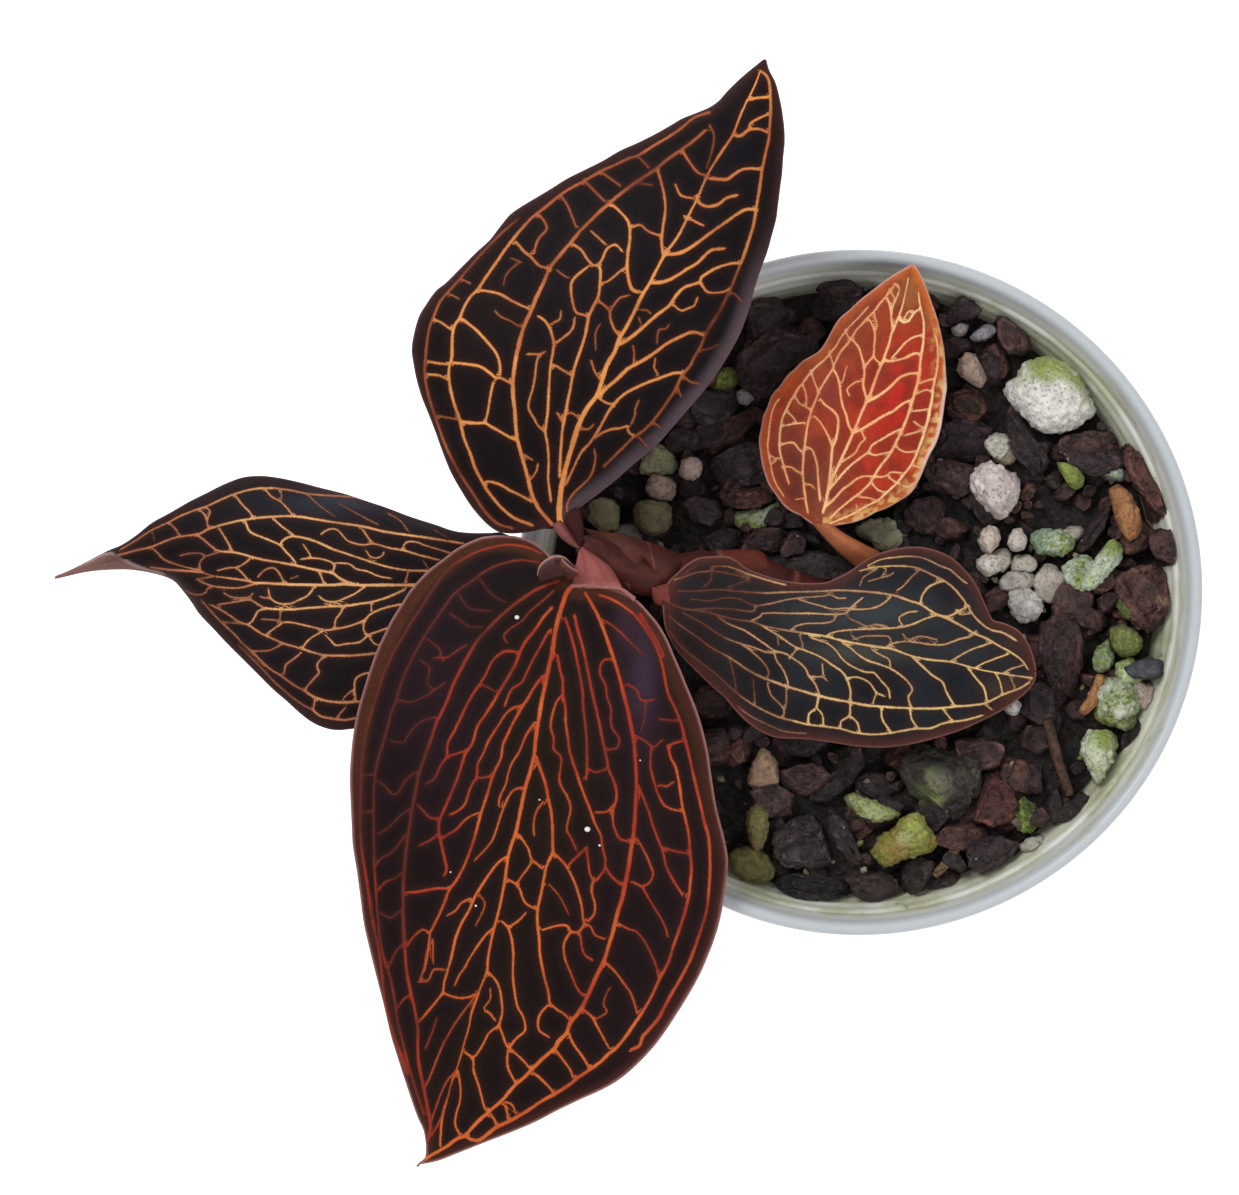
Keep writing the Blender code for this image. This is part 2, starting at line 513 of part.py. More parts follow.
# -------------------------------------------------------- chips of the mix
CHIP_BED = -MIX_DROP + GAP          # the chips stand on the packed mix
CHIPS = {
    # name: (kind, top above the rim plane, bottom, squareness, outline)
    "bark_01": ("bark", -5.5, 0.0, 0.55, [
        (751, 312), (775, 306), (791, 309), (793, 322), (784, 330),
        (770, 333), (757, 343), (751, 336)]),
    "bark_02": ("bark", -3.8, 0.0, 0.5, [
        (758, 345), (772, 335), (790, 333), (806, 340), (810, 352),
        (798, 362), (789, 375), (783, 388), (765, 394), (750, 388),
        (743, 372), (745, 357)]),
    "bark_03": ("bark", -5.0, 0.0, 0.6, [
        (699, 397), (716, 392), (733, 394), (736, 404), (727, 418),
        (712, 426), (699, 420), (694, 410)]),
    "bark_04": ("bark", -6.5, 0.0, 0.55, [
        (706, 440), (722, 426), (745, 411), (760, 405), (759, 414),
        (748, 428), (733, 442), (716, 451), (708, 448)]),
    "bark_05": ("bark", -5.5, 0.0, 0.55, [
        (667, 440), (680, 424), (691, 428), (699, 435), (697, 447),
        (685, 452), (673, 455), (666, 450)]),
    "bark_06": ("bark", -4.6, 0.0, 0.6, [
        (714, 462), (727, 454), (745, 446), (756, 448), (760, 460),
        (763, 474), (757, 482), (740, 483), (717, 477)]),
    "bark_07": ("bark", -4.2, 0.0, 0.5, [
        (721, 493), (740, 491), (764, 489), (771, 498), (760, 503),
        (740, 504), (727, 502)]),
    "bark_08": ("bark", -7.0, 0.0, 0.5, [
        (742, 535), (760, 530), (788, 531), (797, 538), (792, 546),
        (770, 549), (748, 546)]),
    "bark_09": ("bark", -4.5, 0.0, 0.55, [
        (951, 311), (958, 300), (965, 297), (972, 302), (978, 310),
        (974, 316), (962, 319), (952, 324), (947, 319)]),
    "bark_10": ("bark", -4.2, 0.0, 0.6, [
        (998, 320), (1008, 321), (1018, 330), (1026, 337), (1028, 348),
        (1020, 355), (1010, 349), (1001, 338)]),
    "bark_11": ("bark", -6.0, 0.0, 0.5, [
        (987, 348), (995, 346), (1004, 355), (1008, 367), (1003, 376),
        (996, 372), (990, 362)]),
    "bark_13": ("bark", -5.0, 0.0, 0.55, [
        (1010, 423), (1018, 420), (1029, 434), (1043, 453), (1051, 471),
        (1046, 484), (1034, 474), (1021, 456), (1012, 438)]),
    "bark_14": ("bark", -4.5, 0.0, 0.55, [
        (1062, 450), (1066, 439), (1090, 433), (1106, 434), (1118, 442),
        (1114, 450), (1098, 458), (1085, 460), (1069, 457)]),
    "bark_15": ("bark", -4.6, 1.5, 0.5, [
        (1129, 458), (1134, 448), (1143, 450), (1152, 472), (1160, 495),
        (1166, 512), (1160, 514), (1151, 502), (1141, 485), (1131, 470)]),
    "bark_16": ("bark", -5.5, 0.0, 0.6, [
        (909, 511), (918, 501), (934, 499), (946, 508), (944, 523),
        (933, 534), (919, 530), (909, 521)]),
    "bark_17": ("bark", -4.0, 0.0, 0.55, [
        (1078, 546), (1088, 529), (1099, 513), (1106, 509), (1108, 516),
        (1102, 529), (1093, 541), (1082, 551)]),
    "bark_18": ("bark", -2.6, 0.0, 0.6, [
        (1152, 536), (1165, 531), (1178, 529), (1186, 530), (1187, 544),
        (1181, 556), (1173, 561), (1161, 556), (1154, 547)]),
    "bark_19": ("bark", -3.4, 0.0, 0.6, [
        (1119, 582), (1132, 574), (1150, 570), (1166, 574), (1172, 583),
        (1167, 600), (1158, 620), (1149, 627), (1137, 618), (1122, 604)]),
    "bark_20": ("bark", -4.4, 0.0, 0.6, [
        (1044, 628), (1059, 624), (1074, 626), (1080, 643), (1077, 668),
        (1071, 688), (1061, 697), (1052, 688), (1045, 668), (1042, 645)]),
    "bark_21": ("bark", -5.5, 0.0, 0.55, [
        (1070, 601), (1080, 599), (1091, 608), (1101, 612), (1104, 621),
        (1096, 627), (1082, 621), (1074, 611)]),
    "bark_23": ("bark", -4.4, 0.0, 0.6, [
        (988, 779), (1000, 774), (1011, 788), (1015, 803), (1010, 818),
        (992, 822), (978, 817), (982, 800)]),
    "bark_24": ("bark", -3.6, 0.0, 0.6, [
        (908, 756), (931, 747), (957, 751), (972, 760), (974, 780),
        (968, 804), (956, 814), (937, 811), (920, 796), (906, 776)]),
    "bark_25": ("bark", -4.4, 0.0, 0.6, [
        (970, 850), (976, 840), (1000, 838), (1014, 845), (1010, 855),
        (998, 863), (983, 870), (972, 864)]),
    "bark_26": ("bark", -5.0, 0.0, 0.55, [
        (785, 773), (801, 766), (819, 768), (826, 777), (823, 787),
        (808, 792), (790, 786)]),
    "bark_27": ("bark", -4.6, 0.0, 0.6, [
        (779, 835), (791, 824), (811, 819), (819, 830), (826, 850),
        (828, 861), (812, 866), (788, 865), (777, 856)]),
    "bark_28": ("bark", -4.2, 0.0, 0.5, [
        (832, 812), (839, 815), (850, 833), (861, 857), (861, 866),
        (850, 866), (841, 849), (833, 830)]),
    "bark_29": ("bark", -5.6, 0.0, 0.5, [
        (780, 882), (792, 877), (816, 877), (841, 884), (850, 894),
        (830, 898), (800, 895), (787, 889)]),
    "bark_30": ("bark", -6.5, 0.0, 0.55, [
        (722, 752), (732, 740), (746, 738), (752, 747), (746, 759),
        (734, 765), (725, 761)]),
    "pumice_01": ("pumice", -2.6, 0.0, 0.75, [
        (1021, 377), (1028, 366), (1046, 361), (1064, 366), (1078, 378),
        (1085, 394), (1090, 409), (1081, 419), (1063, 428), (1041, 427),
        (1023, 412), (1010, 395), (1010, 385)]),
    "pumice_02": ("pumice", -3.0, 0.0, 0.75, [
        (972, 480), (978, 470), (991, 464), (1004, 471), (1014, 478),
        (1018, 488), (1013, 503), (1005, 515), (995, 515), (984, 503),
        (974, 491)]),
    "pumice_03": ("pumice", -4.0, 0.0, 0.75, [
        (961, 360), (965, 355), (971, 354), (979, 363), (984, 375),
        (982, 384), (975, 384), (963, 376), (959, 368)]),
    "pumice_04": ("pumice", -3.6, 0.0, 0.75, [
        (1058, 463), (1066, 463), (1077, 469), (1083, 478), (1081, 485),
        (1074, 488), (1065, 479)]),
    "pumice_05": ("pumice", -3.4, 0.0, 0.75, [
        (980, 540), (983, 530), (990, 526), (998, 530), (999, 538),
        (995, 547), (988, 552), (982, 547)]),
    "pumice_06": ("pumice", -3.6, 0.0, 0.75, [
        (1009, 540), (1013, 532), (1020, 530), (1026, 539), (1023, 548),
        (1013, 550), (1010, 546)]),
    "pumice_07": ("pumice", -3.0, 0.0, 0.75, [
        (1082, 578), (1090, 570), (1099, 556), (1106, 546), (1114, 543),
        (1119, 551), (1117, 563), (1107, 574), (1096, 585), (1086, 588),
        (1081, 586)]),
    "pumice_08": ("pumice", -3.4, 0.0, 0.75, [
        (1016, 605), (1022, 597), (1033, 599), (1041, 606), (1038, 615),
        (1028, 618), (1018, 615)]),
    "pumice_09": ("pumice", -3.8, 0.0, 0.75, [
        (1112, 630), (1121, 627), (1134, 632), (1140, 641), (1136, 651),
        (1125, 655), (1115, 649), (1112, 639)]),
    "pumice_10": ("pumice", -4.2, 0.0, 0.75, [
        (1125, 668), (1141, 660), (1157, 660), (1165, 665), (1161, 676),
        (1148, 679), (1131, 678)]),
    "pumice_11": ("pumice", -4.0, 0.0, 0.75, [
        (1083, 745), (1089, 735), (1104, 733), (1114, 741), (1112, 759),
        (1104, 775), (1098, 782), (1091, 771), (1085, 758)]),
    "pumice_12": ("pumice", -4.0, 0.0, 0.75, [
        (874, 850), (882, 838), (893, 830), (906, 817), (918, 817),
        (929, 832), (934, 845), (926, 853), (904, 857), (890, 864),
        (879, 859)]),
    "pumice_13": ("pumice", -4.4, 0.0, 0.75, [
        (847, 798), (854, 794), (870, 801), (888, 807), (896, 813),
        (891, 818), (876, 820), (859, 812)]),
    "pumice_14": ("pumice", -4.6, 0.0, 0.75, [
        (747, 820), (751, 809), (759, 806), (766, 814), (766, 831),
        (762, 846), (756, 850), (751, 842)]),
    "pumice_15": ("pumice", -4.6, 0.0, 0.75, [
        (636, 512), (638, 504), (650, 502), (665, 505), (670, 515),
        (666, 528), (655, 535), (643, 531), (637, 524)]),
    "pumice_16": ("pumice", -4.0, 0.0, 0.75, [
        (680, 470), (683, 461), (692, 458), (700, 461), (701, 471),
        (695, 479), (684, 478)]),
    "shell_tan_01": ("shell", -3.8, 0.0, 0.7, [
        (1111, 492), (1119, 488), (1128, 494), (1136, 507), (1140, 524),
        (1136, 535), (1128, 539), (1121, 528), (1115, 510)]),
    "shell_tan_02": ("shell", -5.0, 0.0, 0.7, [
        (1097, 675), (1104, 679), (1101, 694), (1094, 707), (1084, 714),
        (1080, 708), (1087, 698), (1093, 685)]),
}


def inside(poly, p):
    hit = False
    for (x0, y0), (x1, y1) in zip(poly, poly[1:] + poly[:1]):
        if (y0 > p[1]) != (y1 > p[1]) and \
                p[0] < (x1 - x0) * (p[1] - y0) / (y1 - y0) + x0:
            hit = not hit
    return hit


def reach(poly, c, ang):
    """Distance from c to the outline along a plan direction."""
    lo, hi = 0.0, 90.0
    for _ in range(22):
        mid = 0.5 * (lo + hi)
        if inside(poly, (c[0] + math.cos(ang) * mid,
                         c[1] + math.sin(ang) * mid)):
            lo = mid
        else:
            hi = mid
    return lo


def chip(name, kind, top, bottom, square, outline):
    """A rounded chip that fills its plan outline: a shaped icosphere."""
    c = (sum(p[0] for p in outline) / len(outline),
         sum(p[1] for p in outline) / len(outline))
    low = CHIP_BED + bottom
    mid, half = 0.5 * (top + low), 0.5 * (top - low)
    bm = bmesh.new()
    bmesh.ops.create_icosphere(bm, subdivisions=2, radius=1.0)
    for vert in bm.verts:
        x, y, z = vert.co
        flat = math.hypot(x, y)
        ang = math.atan2(y, x)
        r = reach(outline, c, ang) * flat ** square
        h = mid + half * math.copysign(abs(z) ** 0.8, z)
        lim = inner_radius(h) - GAP - 0.2
        at = plan(c[0], c[1], h)
        off = math.hypot(at.x, at.y)
        lean = Vector((at.x, at.y, 0)) * min(0.0, (lim - 1.0) / off - 1)
        for _ in range(40):
            q = plan(c[0] + math.cos(ang) * r, c[1] + math.sin(ang) * r,
                     h) + lean
            if math.hypot(q.x, q.y) < lim:
                break
            r *= 0.94
        vert.co = q * MM
    mat = {"bark": M_BARK, "pumice": M_PUMICE, "shell": M_ROOT}[kind]
    add(name, to_mesh(bm, name), mat)


for key, (kind, top, bottom, square, outline) in CHIPS.items():
    chip(key, kind, top, bottom, square, outline)

# a straight dry stick and a curled dry root that lie on the chips' bed
add("stick", loft("stick", [
    (1046, 715, -7.2, 0.75, 0.7), (1053, 742, -6.8, 0.8, 0.75),
    (1062, 772, -7.0, 0.75, 0.7), (1070, 796, -7.6, 0.7, 0.65)],
    sides=8, rings=6), M_STEM)
add("dry_root", loft("dry_root", [
    (962, 833, -8.5, 0.7, 0.6), (956, 848, -7.6, 0.75, 0.65),
    (947, 862, -7.4, 0.75, 0.65), (934, 876, -8.2, 0.6, 0.55)],
    sides=8, rings=6), M_ROOT)
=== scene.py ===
"""Jewel orchid in a round white nursery pot, on the frame of its CAD model.

The plant and the chips are laid out in plan, on a drawing of the pot seen from
straight above, as in part.py: a unit is 1/6.88 mm in the plane of the pot's
rim, and a point at another height is carried along its line of sight.
"""
import math

import bmesh
import bpy
import numpy as np
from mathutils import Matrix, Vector


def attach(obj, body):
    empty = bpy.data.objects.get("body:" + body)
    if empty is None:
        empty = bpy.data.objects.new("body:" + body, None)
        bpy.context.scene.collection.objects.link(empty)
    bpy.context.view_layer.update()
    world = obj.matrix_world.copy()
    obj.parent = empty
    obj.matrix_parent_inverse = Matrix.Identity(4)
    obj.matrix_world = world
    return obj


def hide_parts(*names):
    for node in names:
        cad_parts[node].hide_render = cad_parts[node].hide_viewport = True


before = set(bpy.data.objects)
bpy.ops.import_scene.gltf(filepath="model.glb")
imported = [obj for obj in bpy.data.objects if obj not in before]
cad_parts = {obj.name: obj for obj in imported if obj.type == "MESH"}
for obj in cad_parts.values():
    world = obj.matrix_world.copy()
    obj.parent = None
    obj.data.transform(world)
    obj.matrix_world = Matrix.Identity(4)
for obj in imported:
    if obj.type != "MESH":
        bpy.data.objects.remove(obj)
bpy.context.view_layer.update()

MM = 0.001
RNG = np.random.default_rng(7)

# ------------------------------------------------------------------ geometry
RIM_R, POT_H, BASE_R, WALL, FLOOR_T = 50.0, 85.0, 36.0, 1.3, 1.6
MIX_DROP, GAP = 12.0, 0.3
UNITS = 6.88
AXIS_U, AXIS_V = 860.0, 592.0
VIEW_U, VIEW_V = 619.5, 597.5
VIEW_H = 420.0
FOCAL = UNITS * VIEW_H
VIEW_X = (VIEW_U - AXIS_U) / UNITS
VIEW_Y = (AXIS_V - VIEW_V) / UNITS
DETAIL = 1.0


def plan(u, v, h):
    """Drawing points at h mm above the rim plane, in mm."""
    u, v, h = np.broadcast_arrays(np.asarray(u, float), np.asarray(v, float),
                                  np.asarray(h, float))
    k = (VIEW_H - h) / FOCAL
    return np.stack([VIEW_X + (u - VIEW_U) * k, VIEW_Y - (v - VIEW_V) * k,
                     POT_H + h], -1)


def lin(r, g, b):
    """Display colour 0-255 to scene linear."""
    c = np.array([r, g, b], float) / 255.0
    return np.where(c <= 0.04045, c / 12.92, ((c + 0.055) / 1.055) ** 2.4)


def ease(x):
    x = np.clip(x, 0.0, 1.0)
    return x * x * (3 - 2 * x)


def mix(a, b, f):
    f = np.asarray(f)
    if np.ndim(f):
        f = f[:, None]
    return a * (1 - f) + b * f


def lattice(x, y, z, seed):
    h = (x * 73856093) ^ (y * 19349663) ^ (z * 83492791) ^ (seed * 26544357)
    h &= 0xffffffff
    h = ((h ^ (h >> 16)) * 0x45d9f3b) & 0xffffffff
    h = ((h ^ (h >> 16)) * 0x45d9f3b) & 0xffffffff
    return ((h ^ (h >> 16)) & 0xffffff) / float(0xffffff) * 2 - 1


def vnoise(p, seed=0):
    """Value noise, -1 to 1, at the rows of p."""
    i = np.floor(p).astype(np.int64)
    f = p - i
    w = f * f * (3 - 2 * f)
    out = np.zeros(len(p))
    for dx in (0, 1):
        wx = w[:, 0] if dx else 1 - w[:, 0]
        for dy in (0, 1):
            wy = w[:, 1] if dy else 1 - w[:, 1]
            for dz in (0, 1):
                wz = w[:, 2] if dz else 1 - w[:, 2]
                out += wx * wy * wz * lattice(i[:, 0] + dx, i[:, 1] + dy,
                                              i[:, 2] + dz, seed)
    return out


def fbm(p, octaves=4, seed=0, gain=0.5):
    total, amp, norm = np.zeros(len(p)), 1.0, 0.0
    for k in range(octaves):
        total += amp * vnoise(p * 2.0 ** k + 19.7 * k, seed + 31 * k)
        norm += amp
        amp *= gain
    return total / norm


def dense(points, steps=12):
    """Catmull-Rom points through the given ones (any dimension)."""
    p = np.array(points, float)
    ext = np.vstack([2 * p[0] - p[1], p, 2 * p[-1] - p[-2]])
    a, b, c, d = ext[:-3], ext[1:-2], ext[2:-1], ext[3:]
    t = (np.arange(steps) / steps)[None, :, None]
    a, b, c, d = (q[:, None, :] for q in (a, b, c, d))
    q = 0.5 * (2 * b + (c - a) * t + (2 * a - 5 * b + 4 * c - d) * t * t
               + (3 * b - a - 3 * c + d) * t ** 3)
    return np.vstack([q.reshape(-1, p.shape[1]), p[-1:]])


class Way:
    """A smooth path read by its share of length in the drawing."""

    def __init__(self, points):
        self.p = dense(points)
        step = np.hypot(*np.diff(self.p[:, :2], axis=0).T)
        self.acc = np.concatenate([[0.0], np.cumsum(step)])

    def at(self, t):
        d = np.clip(t, 0, 1) * self.acc[-1]
        return np.stack([np.interp(d, self.acc, self.p[:, k])
                         for k in range(self.p.shape[1])], -1)


def soft_table(stations, t):
    """Height from (share, value) stations, with the corners eased."""
    xs, ys = zip(*stations)
    out = 0.0
    offs = np.linspace(-0.055, 0.055, 9)
    for o in offs:
        out = out + np.interp(t + o * np.minimum(1, np.minimum(t, 1 - t) * 12),
                              xs, ys)
    return out / len(offs)


# ---------------------------------------------------------------- mesh making
class Heap:
    """Collects points, faces and point attributes of one mesh."""

    def __init__(self):
        self.co, self.quads, self.tris, self.attrs = [], [], [], {}
        self.n = 0

    def add(self, co, quads=None, tris=None, **attrs):
        co = np.asarray(co, float).reshape(-1, 3)
        if quads is not None and len(quads):
            self.quads.append(np.asarray(quads, np.int64) + self.n)
        if tris is not None and len(tris):
            self.tris.append(np.asarray(tris, np.int64) + self.n)
        for key in set(self.attrs) | set(attrs):
            rows = self.attrs.setdefault(key, [])
            have = sum(len(r) for r in rows)
            value = attrs.get(key)
            width = 3 if key.startswith("c_") else 1
            if have < self.n:
                rows.append(np.zeros((self.n - have, width)))
            if value is not None:
                value = np.asarray(value, float)
                if width == 3:
                    value = np.broadcast_to(value, (len(co), 3))
                else:
                    value = np.broadcast_to(value, (len(co),))[:, None]
                rows.append(value)
        self.co.append(co)
        self.n += len(co)
        return self

    def object(self, name, material, body="root", smooth=True, sharp=0.0):
        me = bpy.data.meshes.new(name)
        co = np.vstack(self.co) * MM
        quads = np.vstack(self.quads) if self.quads else np.zeros((0, 4), int)
        tris = np.vstack(self.tris) if self.tris else np.zeros((0, 3), int)
        me.vertices.add(len(co))
        me.vertices.foreach_set("co", co.astype(np.float32).ravel())
        loops = np.concatenate([quads.ravel(), tris.ravel()]).astype(np.int32)
        me.loops.add(len(loops))
        me.loops.foreach_set("vertex_index", loops)
        starts = np.concatenate([np.arange(len(quads)) * 4,
                                 len(quads) * 4 + np.arange(len(tris)) * 3])
        me.polygons.add(len(quads) + len(tris))
        me.polygons.foreach_set("loop_start", starts.astype(np.int32))
        me.update(calc_edges=True)
        me.validate()
        for key, rows in self.attrs.items():
            data = np.vstack(rows)
            if len(data) < len(co):
                data = np.vstack([data, np.zeros((len(co) - len(data),
                                                  data.shape[1]))])
            if key.startswith("c_"):
                at = me.attributes.new(key, "FLOAT_COLOR", "POINT")
                rgba = np.ones((len(co), 4), np.float32)
                rgba[:, :3] = np.clip(data, 0, 4)
                at.data.foreach_set("color", rgba.ravel())
            else:
                at = me.attributes.new(key, "FLOAT", "POINT")
                at.data.foreach_set("value", data[:, 0].astype(np.float32))
        if smooth:
            me.shade_smooth()
        if sharp:
            me.set_sharp_from_angle(angle=math.radians(sharp))
        me.materials.append(material)
        ob = bpy.data.objects.new(name, me)
        bpy.context.scene.collection.objects.link(ob)
        if body:
            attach(ob, body)
        return ob


def grid_faces(rows, cols, flip=False, base=0):
    """Quads of a rows x cols point grid."""
    i = np.arange(rows - 1)[:, None] * cols + np.arange(cols - 1)[None, :]
    q = np.stack([i, i + 1, i + cols + 1, i + cols], -1).reshape(-1, 4)
    return (q[:, ::-1] if flip else q) + base


def tube_faces(rings, sides):
    """Quads round a tube of rings x sides points, closed round."""
    i = np.arange(rings - 1)[:, None] * sides
    j = np.arange(sides)[None, :]
    k = (j + 1) % sides
    return np.stack([i + j, i + k, i + sides + k, i + sides + j],
                    -1).reshape(-1, 4)


# ------------------------------------------------------------------ materials
def tree(name):
    mat = bpy.data.materials.new(name)
    mat.use_nodes = True
    nt = mat.node_tree
    bsdf = nt.nodes["Principled BSDF"]
    return mat, nt, bsdf


class Nodes:
    """Short forms for the shader nodes used below."""

    def __init__(self, nt):
        self.nt = nt

    def new(self, kind, **props):
        n = self.nt.nodes.new(kind)
        for k, v in props.items():
            setattr(n, k, v)
        return n

    def link(self, a, b):
        self.nt.links.new(a, b)

    def put(self, value, socket):
        if hasattr(value, "is_linked"):
            self.link(value, socket)
        elif isinstance(value, np.ndarray):
            socket.default_value = (*[float(c) for c in value], 1.0)
        else:
            socket.default_value = value

    def attr(self, name, out="Fac"):
        n = self.new("ShaderNodeAttribute", attribute_name=name)
        return n.outputs[out]

    def coord(self):
        return self.new("ShaderNodeTexCoord").outputs["Object"]

    def math(self, op, a, b=0.0, clamp=False):
        n = self.new("ShaderNodeMath", operation=op, use_clamp=clamp)
        self.put(a, n.inputs[0])
        self.put(b, n.inputs[1])
        return n.outputs[0]

    def ramp(self, value, lo, hi, a=0.0, b=1.0, smooth=True):
        n = self.new("ShaderNodeMapRange",
                     interpolation_type="SMOOTHSTEP" if smooth else "LINEAR")
        self.put(value, n.inputs["Value"])
        self.put(lo, n.inputs["From Min"])
        self.put(hi, n.inputs["From Max"])
        self.put(a, n.inputs["To Min"])
        self.put(b, n.inputs["To Max"])
        return n.outputs["Result"]

    def mix(self, fac, a, b, mode="MIX"):
        n = self.new("ShaderNodeMix", data_type="RGBA", blend_type=mode)
        self.put(fac, n.inputs["Factor"])
        self.put(a, n.inputs[6])
        self.put(b, n.inputs[7])
        return n.outputs[2]

    def noise(self, scale, detail=3.0, rough=0.5, vec=None, distort=0.0):
        n = self.new("ShaderNodeTexNoise")
        n.inputs["Scale"].default_value = scale
        n.inputs["Detail"].default_value = detail
        n.inputs["Roughness"].default_value = rough
        n.inputs["Distortion"].default_value = distort
        self.link(vec if vec is not None else self.coord(),
                  n.inputs["Vector"])
        return n.outputs["Fac"]

    def voronoi(self, scale, vec=None, feature="F1", random=1.0):
        n = self.new("ShaderNodeTexVoronoi", feature=feature)
        n.inputs["Scale"].default_value = scale
        n.inputs["Randomness"].default_value = random
        self.link(vec if vec is not None else self.coord(),
                  n.inputs["Vector"])
        return n.outputs["Distance"]

    def stretch(self, x, y, z, turn=0.0):
        n = self.new("ShaderNodeMapping")
        n.inputs["Scale"].default_value = (x, y, z)
        n.inputs["Rotation"].default_value = (0, 0, turn)
        self.link(self.coord(), n.inputs["Vector"])
        return n.outputs["Vector"]

    def bump(self, height, strength, distance, normal=None):
        n = self.new("ShaderNodeBump")
        n.inputs["Strength"].default_value = strength
        n.inputs["Distance"].default_value = distance
        self.put(height, n.inputs["Height"])
        if normal is not None:
            self.link(normal, n.inputs["Normal"])
        return n.outputs["Normal"]


def leaf_material(name, rough=0.60, spec=0.08, sheen=0.0, fine=1.0):
    """Velvety lamina with drawn veins: the point attributes say where."""
    mat, nt, bsdf = tree(name)
    k = Nodes(nt)
    off = k.math("ABSOLUTE", k.attr("voff"))
    gap = k.math("SUBTRACT", off, k.attr("vhw"))
    wob = k.math("MULTIPLY", k.math("SUBTRACT", k.noise(2600, 3, 0.6), 0.5),
                 1.7)
    gap = k.math("ADD", gap, wob)
    core = k.ramp(gap, -0.85, 0.85, 1.0, 0.0)
    near = k.ramp(k.math("SUBTRACT", k.attr("vdist"), k.attr("vhw")),
                  0.8, 1.7, 1.0, 0.0)
    vein = k.math("MULTIPLY", core, near)
    fade = k.math("MULTIPLY", vein, k.attr("vstr"))
    # small lighter papillae on the lamina, painted as glints, and pores on the veins
    cells = k.voronoi(5200 * fine)
    papil_glint = k.ramp(cells, 0.05, 0.55, 1.0, 0.0)
    grain = k.noise(1900 * fine, 4, 0.65)
    blotch = k.noise(260, 4, 0.6)
    lum = k.math("ADD", k.math("MULTIPLY", papil_glint, 0.34),
                 k.math("ADD", k.math("MULTIPLY", grain, 0.75),
                        k.math("MULTIPLY", blotch, 0.55)))
    lum = k.math("ADD", lum, 0.24)
    lam = k.mix(1.0, k.attr("c_lam", "Color"), k.mix(lum, lin(0, 0, 0),
                np.array([1.0, 1.0, 1.0])), "MULTIPLY")
    vn = k.math("ADD", k.math("MULTIPLY", grain, 0.8), k.math(
        "ADD", k.math("MULTIPLY", blotch, 0.7), 0.25))
    vcol = k.mix(1.0, k.attr("c_vein", "Color"), k.mix(vn, lin(0, 0, 0),
                 np.array([1.0, 1.0, 1.0])), "MULTIPLY")
    k.link(k.mix(fade, lam, vcol), bsdf.inputs["Base Color"])
    k.link(k.ramp(fade, 0, 1, rough, rough - 0.12, False),
           bsdf.inputs["Roughness"])
    bsdf.inputs["Specular IOR Level"].default_value = spec
    bsdf.inputs["Sheen Weight"].default_value = sheen
    bsdf.inputs["Sheen Roughness"].default_value = 0.45
    bsdf.inputs["Subsurface Weight"].default_value = 0.0
    tall = k.math("ADD", k.math("MULTIPLY", papil_glint, 0.5),
                  k.math("MULTIPLY", grain, 0.6))
    tall = k.math("ADD", tall, k.math("MULTIPLY", vein, 0.9))
    k.link(k.bump(tall, 0.5, 0.00012), bsdf.inputs["Normal"])
    return mat


def stem_material(name, rough=0.5, spec=0.16):
    mat, nt, bsdf = tree(name)
    k = Nodes(nt)
    long = k.noise(1500, 4, 0.6)
    spots = k.ramp(k.noise(500, 3, 0.6), 0.50, 0.75, 0.0, 1.0)
    f = k.math("ADD", k.math("MULTIPLY", long, 0.7), 0.42)
    col = k.mix(1.0, k.attr("c_lam", "Color"),
                k.mix(f, lin(0, 0, 0), np.array([1.0, 1.0, 1.0])),
                "MULTIPLY")
    col = k.mix(k.math("MULTIPLY", spots, 0.25), col, lin(70, 30, 26))
    k.link(col, bsdf.inputs["Base Color"])
    bsdf.inputs["Roughness"].default_value = rough
    bsdf.inputs["Specular IOR Level"].default_value = spec
    bsdf.inputs["Subsurface Weight"].default_value = 0.06
    bsdf.inputs["Subsurface Radius"].default_value = (0.0012, 0.0005, 0.0003)
    bsdf.inputs["Subsurface Scale"].default_value = 0.4
    k.link(k.bump(k.math("ADD", long, k.math("MULTIPLY", spots, 0.4)), 0.35,
                  0.00015), bsdf.inputs["Normal"])
    return mat


